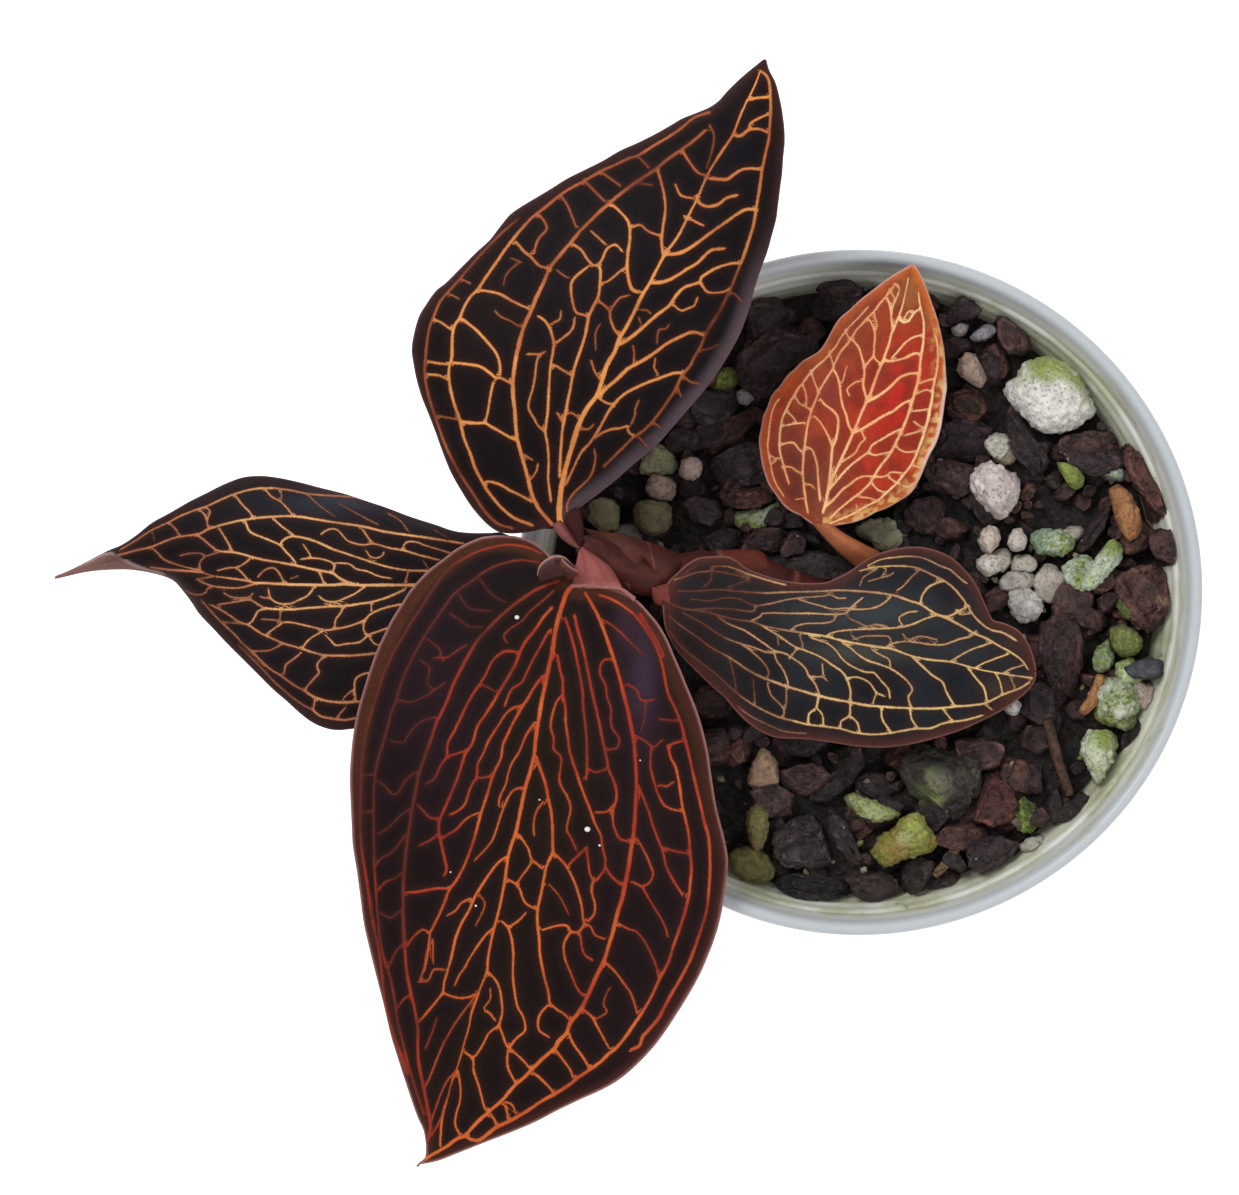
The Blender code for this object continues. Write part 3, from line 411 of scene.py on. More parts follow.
def bark_material(name):
    mat, nt, bsdf = tree(name)
    k = Nodes(nt)
    grain = k.noise(1100, 6, 0.7, distort=0.4)
    patch = k.noise(330, 5, 0.65)
    crack = k.ramp(k.noise(620, 5, 0.75, distort=1.2), 0.36, 0.47, 0.35, 1.0)
    f = k.math("ADD", k.math("MULTIPLY", grain, 0.95),
               k.math("MULTIPLY", patch, 0.75))
    f = k.math("SUBTRACT", k.math("MULTIPLY", f, 1.25), 0.1)
    col = k.mix(1.0, k.attr("c_lam", "Color"),
                k.mix(f, lin(0, 0, 0), np.array([1.0, 1.0, 1.0])),
                "MULTIPLY")
    col = k.mix(1.0, col, k.mix(crack, lin(120, 110, 110),
                                np.array([1.0, 1.0, 1.0])), "MULTIPLY")
    dust = k.ramp(k.noise(1500, 3, 0.6), 0.56, 0.74, 0.0, 0.42)
    col = k.mix(dust, col, lin(112, 90, 90))
    specks = k.ramp(k.voronoi(430), 0.045, 0.09, 1.0, 0.0)
    rare = k.ramp(k.noise(210, 2, 0.5), 0.55, 0.62, 0.0, 1.0)
    specks = k.math("MULTIPLY", specks, rare)
    col = k.mix(specks, col, lin(165, 155, 150))
    k.link(col, bsdf.inputs["Base Color"])
    k.link(k.ramp(grain, 0.3, 0.7, 0.42, 0.75), bsdf.inputs["Roughness"])
    bsdf.inputs["Specular IOR Level"].default_value = 0.48
    h = k.math("ADD", k.math("MULTIPLY", grain, 1.0),
               k.math("MULTIPLY", crack, 0.5))
    k.link(k.bump(h, 1.0, 0.0006), bsdf.inputs["Normal"])
    return mat


def stone_material(name):
    mat, nt, bsdf = tree(name)
    k = Nodes(nt)
    grain = k.noise(1600, 5, 0.7)
    patch = k.noise(420, 4, 0.6)
    pores = k.ramp(k.noise(2300, 4, 0.75), 0.34, 0.44, 0.0, 1.0)
    dirt = k.ramp(k.noise(700, 5, 0.75), 0.52, 0.70, 0.0, 0.5)
    film = k.ramp(k.noise(300, 6, 0.8), 0.40, 0.62, 0.0, 1.0)
    film = k.math("MULTIPLY", film, k.attr("algae"))
    f = k.math("ADD", k.math("MULTIPLY", grain, 0.45),
               k.math("MULTIPLY", patch, 0.35))
    f = k.math("ADD", f, 0.58)
    col = k.mix(1.0, k.attr("c_lam", "Color"),
                k.mix(f, lin(0, 0, 0), np.array([1.0, 1.0, 1.0])),
                "MULTIPLY")
    col = k.mix(dirt, col, lin(128, 112, 104))
    col = k.mix(film, col, k.mix(k.ramp(grain, 0.4, 0.65), lin(78, 96, 34),
                                 lin(150, 160, 84)))
    col = k.mix(k.ramp(pores, 0, 1, 0.55, 0.0, False), col, lin(92, 80, 72))
    k.link(col, bsdf.inputs["Base Color"])
    bsdf.inputs["Roughness"].default_value = 0.85
    bsdf.inputs["Specular IOR Level"].default_value = 0.25
    h = k.math("ADD", k.math("MULTIPLY", grain, 1.1),
               k.math("MULTIPLY", pores, 0.6))
    k.link(k.bump(h, 0.75, 0.00035), bsdf.inputs["Normal"])
    return mat


def pot_material(name):
    mat, nt, bsdf = tree(name)
    k = Nodes(nt)
    scuff = k.noise(220, 6, 0.75)
    fine = k.noise(1400, 4, 0.7)
    stain = k.ramp(k.noise(120, 5, 0.7), 0.45, 0.72, 0.0, 1.0)
    specks = k.ramp(k.noise(900, 3, 0.6), 0.63, 0.72, 0.0, 1.0)
    f = k.math("ADD", k.math("MULTIPLY", scuff, 0.22),
               k.math("MULTIPLY", fine, 0.12))
    f = k.math("ADD", f, 0.83)
    col = k.mix(1.0, k.attr("c_lam", "Color"),
                k.mix(f, lin(0, 0, 0), np.array([1.0, 1.0, 1.0])),
                "MULTIPLY")
    dirty = k.attr("algae")
    col = k.mix(k.math("MULTIPLY", dirty, k.math("ADD", k.math(
        "MULTIPLY", stain, 0.75), 0.08)), col, lin(142, 142, 104))
    col = k.mix(k.math("MULTIPLY", specks, k.math("MULTIPLY", dirty, 0.8)),
                col, lin(104, 92, 72))
    k.link(col, bsdf.inputs["Base Color"])
    # painted light: a slight glow of the plastic's own colour, for light through the thin plastic
    k.link(col, bsdf.inputs["Emission Color"])
    bsdf.inputs["Emission Strength"].default_value = 0.05
    k.link(k.ramp(dirty, 0, 1, 0.36, 0.7, False), bsdf.inputs["Roughness"])
    bsdf.inputs["Specular IOR Level"].default_value = 0.4
    k.link(k.bump(k.math("ADD", fine, k.math("MULTIPLY", scuff, 0.6)), 0.25,
                  0.0002), bsdf.inputs["Normal"])
    return mat


M_LEAF = leaf_material("leaf_velvet")
M_YOUNG = leaf_material("leaf_young", rough=0.5, spec=0.16, sheen=0.0)
M_STEM = stem_material("stem_skin")
M_BARK = bark_material("bark_skin")
M_STONE = stone_material("pumice_skin")
M_POT = pot_material("pot_plastic_skin")

# ----------------------------------------------------------------- leaf veins
# (width at its start, width at its end, tint from dull to gold, strength,
# the line in the drawing)
VEINS = {
    "leaf_upper": [
        (6.5, 2.5, 0.95, 1.0, "560,526 559,513 560,499 562,484 567,463 573.5,440.5 580,421 588.6,405.7 598,392.7 607,364.8 614.6,352 619.5,338 626,327.6 633,314.6 641.6,297 650,283 664,256 677,238.5 687,219 697.4,198.7 705,181 711.5,168 723,150 733,134.6 741,114 748.7,98.7 755,86 760,72"),
        (3.2, 3.6, 0.7, 0.9, "760,72 765,75.6 768.7,83 770,101 770,114 769,127 768,140 765,152.6 761.5,168 759.7,181 757.7,193.6 755,209 752.6,224 748.7,237 745,248.7 739.7,263"),
        (3.6, 3.0, 0.35, 0.75, "739.7,263 734.6,275.6 729.5,288.5 722.5,303 716.5,314 710,324 704,335 700,345 693,357 689,365 681.6,374 674,389 666.7,400 659,411 651,421 642,430 633,436 625.8,443 614.6,454 603.5,465"),
        (4, 3, 0.9, 1, "711,179.5 718,180 727,180 733,175.6 741,170.5 751,169 760,170"),
        (4, 3, 0.9, 1, "733,136 741,136.7 748.7,130.8 759,130 766.7,133"),
        (3, 2.5, 0.9, 1, "748.7,129.5 751,124 759,119 768,115"),
        (3, 2.5, 0.9, 1, "747,101 759,98.7 768.7,98"),
        (4, 3, 0.9, 1, "697,197 700,204 707.7,207 718,205 725.6,198.7 736,196"),
        (3, 2.5, 0.85, 1, "684.6,217 695,222 702.6,225.6"),
        (4, 3.4, 0.95, 1, "664,255 677,254 687,250 700,241 713,231 728,220.5 738.5,213 746,209.5 755,210"),
        (4, 3, 0.95, 1, "650,283 664,282 677,275.6 687,269 697,263 705,255 711.5,250 723,248.7"),
        (4.2, 3, 0.9, 1, "620,344 631,337 644,326 655.5,315.6 667,307 671,302.5 676,295 684,287 698.7,282 701,277 715,268 731,263 740,263"),
        (3, 2.6, 0.8, 1, "698.7,282 702.6,287 707.7,292 720.5,292 729.5,288.5"),
        (3, 2.4, 0.8, 0.9, "671,303 680,310 687,308 693.6,305 696.4,298"),
        (4.5, 3.2, 0.85, 1, "600.7,393.7 607,387 616.5,379 626,369.5 633,365 644,359 655.5,351 667,342.5 678,337 689,332 696,332 704,335"),
        (3, 2.5, 0.8, 0.9, "598,395 602.5,400 610,403 616.5,402"),
        (3.5, 3, 0.8, 1, "612.8,404 622,394.6 633,388 644,383 653.7,379 665,375 674,372 681.6,372"),
        (3.5, 2.6, 0.75, 1, "612.8,404 607,413 600,426 594,435.5 588.6,443 580.4,452.6 572,470 566.6,482"),
        (3, 2.6, 0.7, 0.9, "596,435.5 603.5,431 611,428 620,427 626.7,425 627.6,430 633,435.5"),
        (2.5, 2, 0.5, 0.6, "631,422 634,415 635,407.6 638,400"),
        (2.6, 2.2, 0.6, 0.8, "580,428 588.6,428 593,424"),
        (2.6, 2.2, 0.55, 0.8, "594,449 595,458 591,473 584,482 573.5,492 567,503 566.6,513"),
        (2.5, 2, 0.6, 0.8, "654.6,359 653.7,366.7 657.4,374"),
        (2.2, 1.8, 0.5, 0.6, "656.5,342 657.4,333 659,328.6 665,328.6 668.5,324"),
        (2.4, 2, 0.6, 0.7, "633,365 634,354 633,346"),
        (2.2, 2, 0.5, 0.6, "641.6,310 646,310 650,313"),
        (2.2, 2, 0.5, 0.6, "639,318 640.7,323"),
        (2.4, 2, 0.2, 0.6, "700,349 707.6,348 717,344"),
        (2.4, 2, 0.35, 0.7, "681.6,374 689,380.6 698,382.5"),
        (2.4, 2, 0.35, 0.7, "676,385 679.7,394.6"),
        (2.4, 2, 0.35, 0.7, "652,421 659,426"),
        (2.4, 2, 0.35, 0.7, "638.8,437 646,445"),
        (2.4, 2, 0.35, 0.7, "728.5,292 733.6,294 740,300.7"),
        (2.8, 3.2, 0.12, 0.75, "518.7,220 510,227 500,236 489,247 479,258 469,269.6 459.5,281 449.6,292 441,302 435.5,315 431,326 429,335 427,352.5 426,370 427.5,385 431,400 436,415 441,430 447.5,447.5 456,465 465,480 475,495 485,510 497.5,522.5 512.5,527.5"),
        (3, 3.6, 0.6, 0.95, "710,114 695,119 682,129.5 669,138.5 656,146 640,156 628.7,160 614.6,166.7 600.5,173 586.4,181.5 572,189 561,196 550,205 540,213 531,220 518.7,234 507.4,248.5 497.6,262.6 487.7,276.7 479,289.4 470.8,298 465,307.7 461,317.6 455,327.5 453,342 453,355 450,370 451,385 455,402 461,420 465,437.5 471,452.5 476,467.5 482.5,480 490,492.5 502.5,507.5 515,517.5 532,524"),
        (3.4, 4.6, 0.5, 0.95, "705,132 695,141 682,151 666.7,161.5 656,170.5 640,181 624.5,192 607.6,206 595,217.4 581,231.5 573,241.4 561,255.5 551,268 544,283.7 537,298 531.4,312 525.8,324 521.6,336.6 517,355.6"),
        (4.4, 4.2, 0.72, 1.0, "517,355.6 513.8,378 513.8,393.7 515.5,409 516.7,426.6 518,438.7 521.6,452.6 526.8,471.6 532,492.4 537,504.5 541.5,511.5 552,523"),
        (2.6, 2.4, 0.5, 0.8, "639.7,159 648.7,168"),
        (3, 2.6, 0.5, 0.85, "602,173.7 610.4,179.4 620.3,186.4"),
        (3, 2.6, 0.5, 0.85, "585,182 595,192 604.8,202"),
        (3, 2.6, 0.5, 0.85, "562.5,197.7 568,206 572.3,216 576.6,227.3"),
        (3, 2.6, 0.6, 0.9, "540,216 545.5,223 547.6,230 541.3,237 537.8,242.8 535,252.7"),
        (3, 2.8, 0.65, 0.9, "517.3,242.8 524.4,251.3 532.8,258.3 540,266 551,269.6"),
        (2, 2, 0.4, 0.5, "513,259 521.6,262.6"),
        (2.2, 2, 0.1, 0.6, "517,265 507.4,275 504.6,285"),
        (3, 2.8, 0.7, 0.95, "480.6,290.8 490.5,292 501.8,295 511.7,300.7 521.6,305.6 530,309"),
        (2, 2, 0.4, 0.6, "451,295 459.5,299"),
        (2, 2, 0.4, 0.6, "462,279.5 470.8,283.7"),
        (2.6, 2.4, 0.6, 0.8, "435.5,319.7 442.6,323 451,329"),
        (3.4, 3, 0.75, 1, "463.7,319.7 472,326 480,333 488.7,342.6 496.5,352 500.4,362.6 501,374.7"),
        (3.4, 3, 0.75, 1, "453.8,362.5 466,363.8 480,366 488.7,371 496.5,377.3 501,377.3 511,382.5"),
        (3, 2.4, 0.7, 0.95, "494,383 491,397 488.7,411 487,419"),
        (3.4, 3, 0.75, 1, "461,421 475,422.5 486,422.5 490.4,425 501,431 511,437 517,439.6"),
        (2.8, 2.4, 0.6, 0.9, "428.8,361 440,363 451,364"),
        (2.8, 2.4, 0.6, 0.9, "430,374 440,375 448.8,378.8"),
        (2.2, 2, 0.45, 0.6, "437.5,415 458.8,418.8"),
        (3.2, 2.8, 0.7, 0.95, "486,482 490.4,481 501,484 511,490 521.6,495 532,501"),
        (2.4, 2.2, 0.6, 0.8, "525,454 532,458.7"),
        (2.4, 2.2, 0.6, 0.8, "538,464 537,470 532.8,476.8"),
        (3, 3, 0.75, 1, "539.7,316.7 545.8,321 551,329.7 554,342 553.6,352 551.3,364 550,380 549,397 548.4,409 546.7,423 545.8,432 548,444 549,461 548.4,478.6 551,500"),
        (2.6, 2.6, 0.7, 0.9, "554.5,344.4 563,338 571,331.4 574.4,324.5 575,319"),
        (2.6, 2.4, 0.65, 0.9, "553.6,364 561.4,368.6 570,374"),
        (2.4, 2.4, 0.65, 0.9, "539.7,354 537,362.6 535.8,374.7 533.7,386.8 530,399 529.4,407.6 533.7,416 539,425 544,430"),
        (2.6, 2.4, 0.6, 0.9, "528.5,354 539.7,354 545,352"),
        (3.4, 3.4, 0.85, 1, "599.5,265.6 601,272.5 600.3,284.6 598.6,296.8 593.4,307 589,317.5 586.5,331.4 582,347 577,361 573.5,373 571,387 568,400.6 565.7,413 563,426.6 561.7,442 560.5,458 559.7,475"),
        (3, 2.6, 0.75, 0.95, "599.5,265.6 603.4,258 607,250 612,246.4 616.8,245.7 621.7,251"),
        (2.6, 2.4, 0.7, 0.9, "604.8,244 599,238.6 592,232.3"),
        (3, 2.6, 0.7, 0.95, "575,245.7 582,251 588,260 593.5,265.4 600.5,266.8"),
        (3, 2.6, 0.7, 0.95, "588.5,267 579.4,274 573,281 571.6,289.4 573,300.7 576.6,312 585,315 589,317"),
        (2, 2, 0.5, 0.6, "558,271 568,278"),
        (2.6, 2.4, 0.7, 0.9, "602,283.7 609,281 616,275.3 623,269.6 627.3,267.5"),
        (4, 3, 0.85, 1, "637,292 631.6,289 628.7,279.5 627.3,267.5 628,254 630,240 630,228.7 627.3,220 620,212 614,207 608,206"),
        (3, 2.6, 0.75, 0.95, "630,228.7 634.4,227 641,225.6 648.7,232 659,236 661.5,240"),
        (3.6, 2.8, 0.8, 1, "663,255 661.5,242 663,227 665.4,209 664,193.6 660,178 657.7,170.5"),
        (3, 2.8, 0.75, 0.95, "683,152.6 689.7,163 697.4,173 705,176"),
        (2.4, 2, 0.55, 0.7, "710,127 714,137 711.5,152.6 706.4,168"),
        (2.8, 2.4, 0.75, 0.9, "675.6,186 681,196 692,198.7"),
        (2.2, 2, 0.5, 0.6, "642,184.6 652.6,186"),
        (2.4, 2.2, 0.6, 0.8, "599.5,378 595,371 591.7,361"),
        (2, 2, 0.5, 0.6, "596,349 596,333 600,324.5"),
        (3, 2.4, 0.75, 0.95, "621,336.6 615,329.7 610.7,319 610,312 604.7,305.4 599.5,302"),
        (2.8, 2.4, 0.7, 0.9, "610.7,311.5 615,303.7 621,297.6 628,296"),
        (2.4, 2, 0.6, 0.8, "554.5,322.7 560.5,319 561.4,312"),
        (2, 2, 0.4, 0.6, "496.5,312 502.5,317.5 511,321 519,326"),
        (2.4, 2.2, 0.6, 0.8, "578.7,418 574.4,413.6 570,412 566.6,414.5"),
        (2.2, 2, 0.6, 0.8, "558,413 562.3,421"),
    ],
    "leaf_lower": [
        (6.5, 3, 0.7, 1.0, "571.6,586.5 567,592.4 563,603 559,616 555.4,631 553,648.5 549.5,663 546,681 542,700 539,719 536,737 534.5,753 530.8,769.5 526.4,784 522.7,799 519.8,813.7 516,831.4 510,849 507,865.4 504.3,884.5 499.8,906.6 495.4,924 491,942 488,961 487.7,970 481.5,985 477,998 472,1011.5 469,1027 464.6,1042 460.8,1056 457,1068.5 452,1082 447.7,1098 443.8,1113 442,1127 441,1144"),
        (3.2, 3.8, 0.3, 0.85, "541,554 531,549 520.5,546 507,545 492.5,547.7 477.7,552 466,558 454,565 445,574 436,586 426,601 418.7,612.6 411,624 404,636 395,651 388,666 383,677.5 379.7,689 374.5,704 371,716 368,728 365.6,739 363,757 361.5,784 361,806 361,828.5 362.7,851 365,865 369,890 373.8,924 380,950 386,1004 392,1027 400,1050 408,1073"),
        (3, 3, 0.2, 0.8, "539.7,563 529,561 519,560.5 506,563 492.5,567.6 482,574 472,581.6 463,587.5 454,595 447,604 438,617 429,630 420,645 413,658 406,673 401,686 397,699.6 392,713 388.5,726 385,739 381,752 378,762 375,784 374.5,806 374.5,828.5 375,851 375,865 376.7,887.5 378,910 380.4,932 383,949 390.8,976 395.4,999 398.5,1021 404.6,1045 409,1064 414.6,1082 420,1099 424.6,1113"),
        (4, 4, 0.28, 0.9, "557.4,581.6 547,585 535,590.5 523.4,598 511.6,606.7 500,617 488,629 477.7,640.6 469,655 460,671.5 453,686 448,699.6 441.6,713 436,725 432,738 426,755 420,772 416,792 413,806 410.6,822.6 408,840 406,858 404.7,873 404,887.5 404,917 404.7,935 406,955 407.7,973 410,985 413,998 416,1011.5 418.5,1027 418.5,1042 419,1058 421.5,1073 424.6,1088.5 427.7,1104 430,1116 431,1127 429,1139"),
        (3.5, 3, 0.45, 0.9, "519,652 507,651 500,654 492.5,661 486.6,673 480.7,683 473,694 466,707 460,720 454,732 448,744 447.5,756 442,764 438,772 435,778 427.6,783"),
        (3, 2.6, 0.45, 0.85, "447.5,756 455.6,754 464.5,751"),
        (2.4, 2.2, 0.3, 0.7, "554,590.5 542.6,601 529,612.6 522,621 510,629 504,636 507,642"),
        (4, 3.2, 0.5, 1, "551.5,608 542.6,618.5 535,630 526,641 520.5,651 516,663 509,676 501,689 494,701 486.6,713 477.7,726 472.6,743 466,753 461.5,766.5 457,780 451,794.6 445,808 440,820 439.4,831 441.6,843 445,858 447,868 445,874"),
        (3.2, 2.6, 0.55, 0.95, "550,630 546.5,635 542,644 535,656 528,670 522,682 513,688 508.7,695 505,705.5"),
        (3.6, 3.2, 0.55, 1, "542.6,676 535,686 528,698 522,707 514.6,720 508.7,732 503,745 501,758 495.4,769.5 491,781 488,792 483.6,805 479,820 475,836 470,851 464.5,865 457,879 449.7,889 445,901 439.4,914 433.5,926 430.5,932"),
        (3, 2.6, 0.55, 0.95, "430.5,932 423,929 414,936 408,945"),
        (3, 2.6, 0.55, 0.95, "430.5,932 429.8,939 428,954 425,970"),
        (2.6, 2.4, 0.45, 0.8, "433.5,940 433.5,961"),
        (3.2, 2.8, 0.5, 0.95, "522,705.5 513,708 505.7,714 500,723 494,732 488,742 483.6,753 477.7,764 477,775 470,789 466,802 460,809 451,814"),
        (2.8, 2.4, 0.5, 0.9, "476,777.6 485,777 490,775.4"),
        (2.8, 2.4, 0.5, 0.9, "480,812 472,815 464.5,820 457,828.5 448,834 441,839"),
        (3, 2.6, 0.5, 0.95, "439.4,818 430.5,817 424.6,811 418.7,805"),
        (2.8, 2.4, 0.45, 0.9, "439.4,832 432,839 420,845"),
        (3.4, 3, 0.6, 1, "408,892 418.7,891 429,889 439.4,887.5 449.7,888"),
        (2.6, 2.4, 0.2, 0.75, "416,772 408,778 402.5,786 398,793 392,793 386,786 380,781"),
        (2.6, 2.4, 0.2, 0.75, "410,809 401,815 391,825.5 380,833"),
        (2.6, 2.4, 0.2, 0.75, "405.5,834 400,843 392,852 382,858 376.7,865"),
        (2.6, 2.4, 0.2, 0.75, "404,871 396.6,877 386,881.6 380,889"),
        (2.6, 2.4, 0.2, 0.75, "401,910 391,917 382,912.5"),
        (2.6, 2.4, 0.25, 0.75, "404,942 396.6,951 391,963"),
        (2.4, 2.2, 0.2, 0.7, "362.7,774 374.5,775"),
        (2.4, 2.2, 0.2, 0.7, "362,811 374.5,812"),
        (2.6, 2.2, 0.12, 0.65, "480.7,580 489.5,592 497,598 505.7,602"),
        (2.6, 2.2, 0.12, 0.65, "460,595 466,605 475,610 491,611"),
        (2.6, 2.2, 0.12, 0.65, "451,614 461.5,621 470,627 482,627"),
        (2.6, 2.2, 0.12, 0.65, "435,658 448,657 457,651 467,645"),
        (2.6, 2.2, 0.12, 0.65, "400,700 411,702 424.6,697 433.5,691 445,683"),
        (2.6, 2.2, 0.12, 0.65, "436,717 424.6,720 416,726 408,736 404,742 392,741"),
        (2.4, 2.2, 0.25, 0.7, "483.6,685 495,691"),
        (2.4, 2.2, 0.15, 0.6, "429,640 440,649 443,660"),
        (2.4, 2.2, 0.15, 0.6, "421,660 430,668 428,682 434,690"),
        (3, 2.6, 0.6, 0.95, "534.7,722 527.4,732.5 524,740 519,752 513,761 508.7,771 505.7,784 500,796 499,805"),
        (3, 2.6, 0.6, 0.95, "523,787 514.6,789 508.7,796 503,809 498,824 492.5,839 485,849 475,859.5"),
        (3.6, 3, 0.7, 1, "505.7,856.5 498,862 489.5,873 482,884.5 475,896 469,910 461.5,923 455.6,938 452,955 447.7,970 444.6,981 443,991.5 435.4,1002 427.7,1011.5 421.5,1019"),
        (2.8, 2.4, 0.6, 0.9, "470,898 461.5,902 455.6,910 448,914"),
        (2.2, 2, 0.45, 0.6, "479,893 485,902 482,912.5 476,924"),
        (3, 2.6, 0.65, 0.9, "443,991.5 451,995 460,997 469,996 475.4,993"),
        (3, 2.6, 0.7, 0.95, "494,926 485,935 477.7,945 470,957 464,968 460,973 455,984"),
        (2.6, 2.2, 0.4, 0.75, "475.4,994.6 467.7,1005 455.4,1022 444.6,1041 437,1059 431,1074.6 425.4,1087"),
        (2.6, 2.2, 0.4, 0.75, "457,1068.5 447.7,1079 441.5,1091.5 437,1104 432,1119"),
        (2.6, 2.2, 0.4, 0.75, "452,1084 444.6,1104 440,1119 432,1134.6"),
        (2.6, 2.4, 0.85, 0.85, "458.5,1070 461,1084 461,1099 457,1113 456,1124 460,1133"),
        (2.6, 2.4, 0.45, 0.8, "443,968.5 434,969 429,979 420,981"),
        (2.6, 2.4, 0.45, 0.8, "427.7,950 424.6,967 420,981"),
        (2.4, 2.2, 0.35, 0.75, "411,994.6 404.6,998 398.5,1007"),
        (2.4, 2.2, 0.4, 0.7, "437,1018 432,1033 426,1047"),
        (3, 2.8, 0.85, 1, "488.5,971.5 495.4,978 500,987 502,999 503,1011.5 500,1024 503,1033 506,1042 509,1047"),
        (3, 2.6, 0.85, 1, "499,1025 494,1028.5 489,1033 483,1045 474.6,1056 466,1051.5"),
        (3, 2.6, 0.85, 1, "474,1058 474.6,1070 478.5,1082 482,1095 485.4,1107 489,1110"),
        (2.6, 2.4, 0.8, 0.9, "495.4,1019 491,1013 486,1010"),
        (2.2, 2, 0.6, 0.7, "484.6,1007 491,998 491,988.5"),
        (3, 2.8, 0.85, 1, "509,1047 507.7,1058 509,1068.5 515.4,1081"),
        (2.8, 2.6, 0.85, 1, "510,1047 518.5,1054.6 526,1062 531,1069"),
        (3, 2.8, 0.85, 1, "503,921 508.7,927 512.4,939 514,954 513.5,969 514,981 516,996 518.5,1007 523,1014.6 525.4,1022 525.4,1030 518.5,1036 514,1041 510,1047"),
        (2.6, 2.4, 0.7, 0.9, "510,926 519,920 526,912.5"),
        (3, 2.6, 0.75, 0.95, "508.7,879 516,883 520.5,889 523.4,898 528,904 538,909"),
        (2.6, 2.4, 0.7, 0.9, "517.5,883 522,876 528,868 531.6,862"),
        (3, 2.6, 0.75, 0.95, "519,834 525,842 529,849 531.6,858 538,864 542.6,868"),
        (4, 3.4, 0.65, 1, "536.7,756 541,769.5 545.6,783 548.5,797.5 551.5,812 553,828.5 553,843 553,852 547,865 544,879 541,895 538,909.6 538,924 539.7,939 540.4,954 544.6,976 548.5,990 550,1002"),
        (3, 2.6, 0.65, 0.95, "550,1002 557,1008.5 564.6,1013 569,1018"),
        (3, 2.6, 0.7, 0.95, "549,1004 541.5,1011.5 538.5,1021 540,1030 549,1036"),
        (2.8, 2.4, 0.6, 0.85, "543,802 536.7,811 534,823 534.5,834"),
        (3.2, 2.8, 0.6, 0.95, "554,852.6 563,861 568.7,869 574.6,881 579,894 582,906 583.4,919 585,923"),
        (2.8, 2.6, 0.6, 0.9, "567,867 573,860 580.5,853 586.4,847"),
        (2.8, 2.6, 0.6, 0.9, "587,848 588,858.5 590,872 593,879"),
        (3, 2.8, 0.6, 0.95, "601.8,873 598,878 593,882 592,892 595,903 594.5,913 589,920"),
        (3.2, 2.8, 0.65, 0.95, "585,923 579,931 571.6,931 567,925 557,925 543.6,929"),
        (3, 2.6, 0.65, 0.95, "570,932 564,944 565.7,959 571,972 576,985 582,994"),
        (2.8, 2.4, 0.6, 0.9, "585,923 591,926 595,934 604,938"),
        (2.8, 2.4, 0.6, 0.9, "580.5,934 582,945.5 585,954 592,959"),
        (2, 2, 0.4, 0.6, "549.5,884 557,892 563,901 568.7,913"),
        (4.4, 5.6, 0.6, 1, "585,593 591,603 598,616 604,631 610,648.5 615,663 620,679.5 623,693 627,707.5 630.6,725 633.6,741 635,759 636,774 636,792 635,814 633.6,832 631,850 628.4,867 625.4,882 622,898 617,914.5 613,931 608.5,945.5 604,960 596,977 589,992 583,1005"),
        (5.4, 4, 0.75, 1, "583,1005 577.6,1013.6 570.5,1022 567,1032 559,1040 555,1047 543.7,1057 532,1068.6 524,1077 515.5,1084 507,1094 503,1099 489,1111 477,1122 466,1134 457,1138 448,1145 437,1151.5 426,1158.5"),
        (3.6, 4.2, 0.55, 0.95, "599.6,595 611,599 623,606 635,616 645,629 654,644 661,662 667.5,693 675,709 681,725 685,741 689,756 692,771 695.5,785 700.6,807 704,822 708,836 709.5,854 709.5,873 708,895 706,910 701,928 695.5,944 689.6,960 681,976.5 672,992 665,1005 658,1018 649.5,1028 642.5,1036 639.6,1044.6 631,1049"),
        (3.4, 4.8, 0.65, 1, "667.5,746 670.4,758 675,766.5 679,785 681.5,804 685,819 688,833 689.6,851 691,866 690,882 688,898 683.7,914.5 679,929 673,945.5 668,962 659.4,978 652,994 642.5,1011 634,1023.5 625.5,1036 617,1046 608.6,1053 601.6,1060 590,1068.6 579,1076 569,1084 558,1091 542,1100 528,1109.5 516,1116.5 507.7,1121 497,1126 488,1133 480,1139 472,1138.5 466,1134"),
        (3, 2.6, 0.6, 0.9, "667.5,746 673,743 681,741"),
        (3.2, 2.8, 0.6, 0.95, "638,785 642,795 648,810 653,826 658.6,841 663,853 666,866 672,878 682,894"),
        (3, 2.6, 0.6, 0.9, "661.6,847 672,850 682,852 688,853"),
        (3, 2.6, 0.6, 0.9, "651,770 653,779 657,792 663,804 672,809 682,811"),
        (2.8, 2.4, 0.55, 0.85, "660,785 666,786 672,782.5"),
        (3, 2.6, 0.6, 0.9, "635,836 641,845 647,857 651,867 653,873 650,881 645,885"),
        (3, 2.6, 0.6, 0.9, "633.6,882 642,886.5 648,897 656,910 664.5,925 667.5,935"),
        (3, 2.6, 0.6, 0.9, "619,923 627.7,928 636.5,931 644,940 650,951 656,965 658,976"),
        (3, 2.6, 0.65, 0.9, "606,962 616,972 624.7,984 630,991 634,1001 637,1012"),
        (3, 2.6, 0.7, 0.95, "582.5,1008 592,1016 597,1025 603,1036 608.6,1046"),
        (2, 2, 0.5, 0.6, "610,987 606,994 603.7,1004 607,1011 597,1018"),
        (3, 2.6, 0.75, 0.95, "569,1030.5 573,1042 582,1054.5 589,1066"),
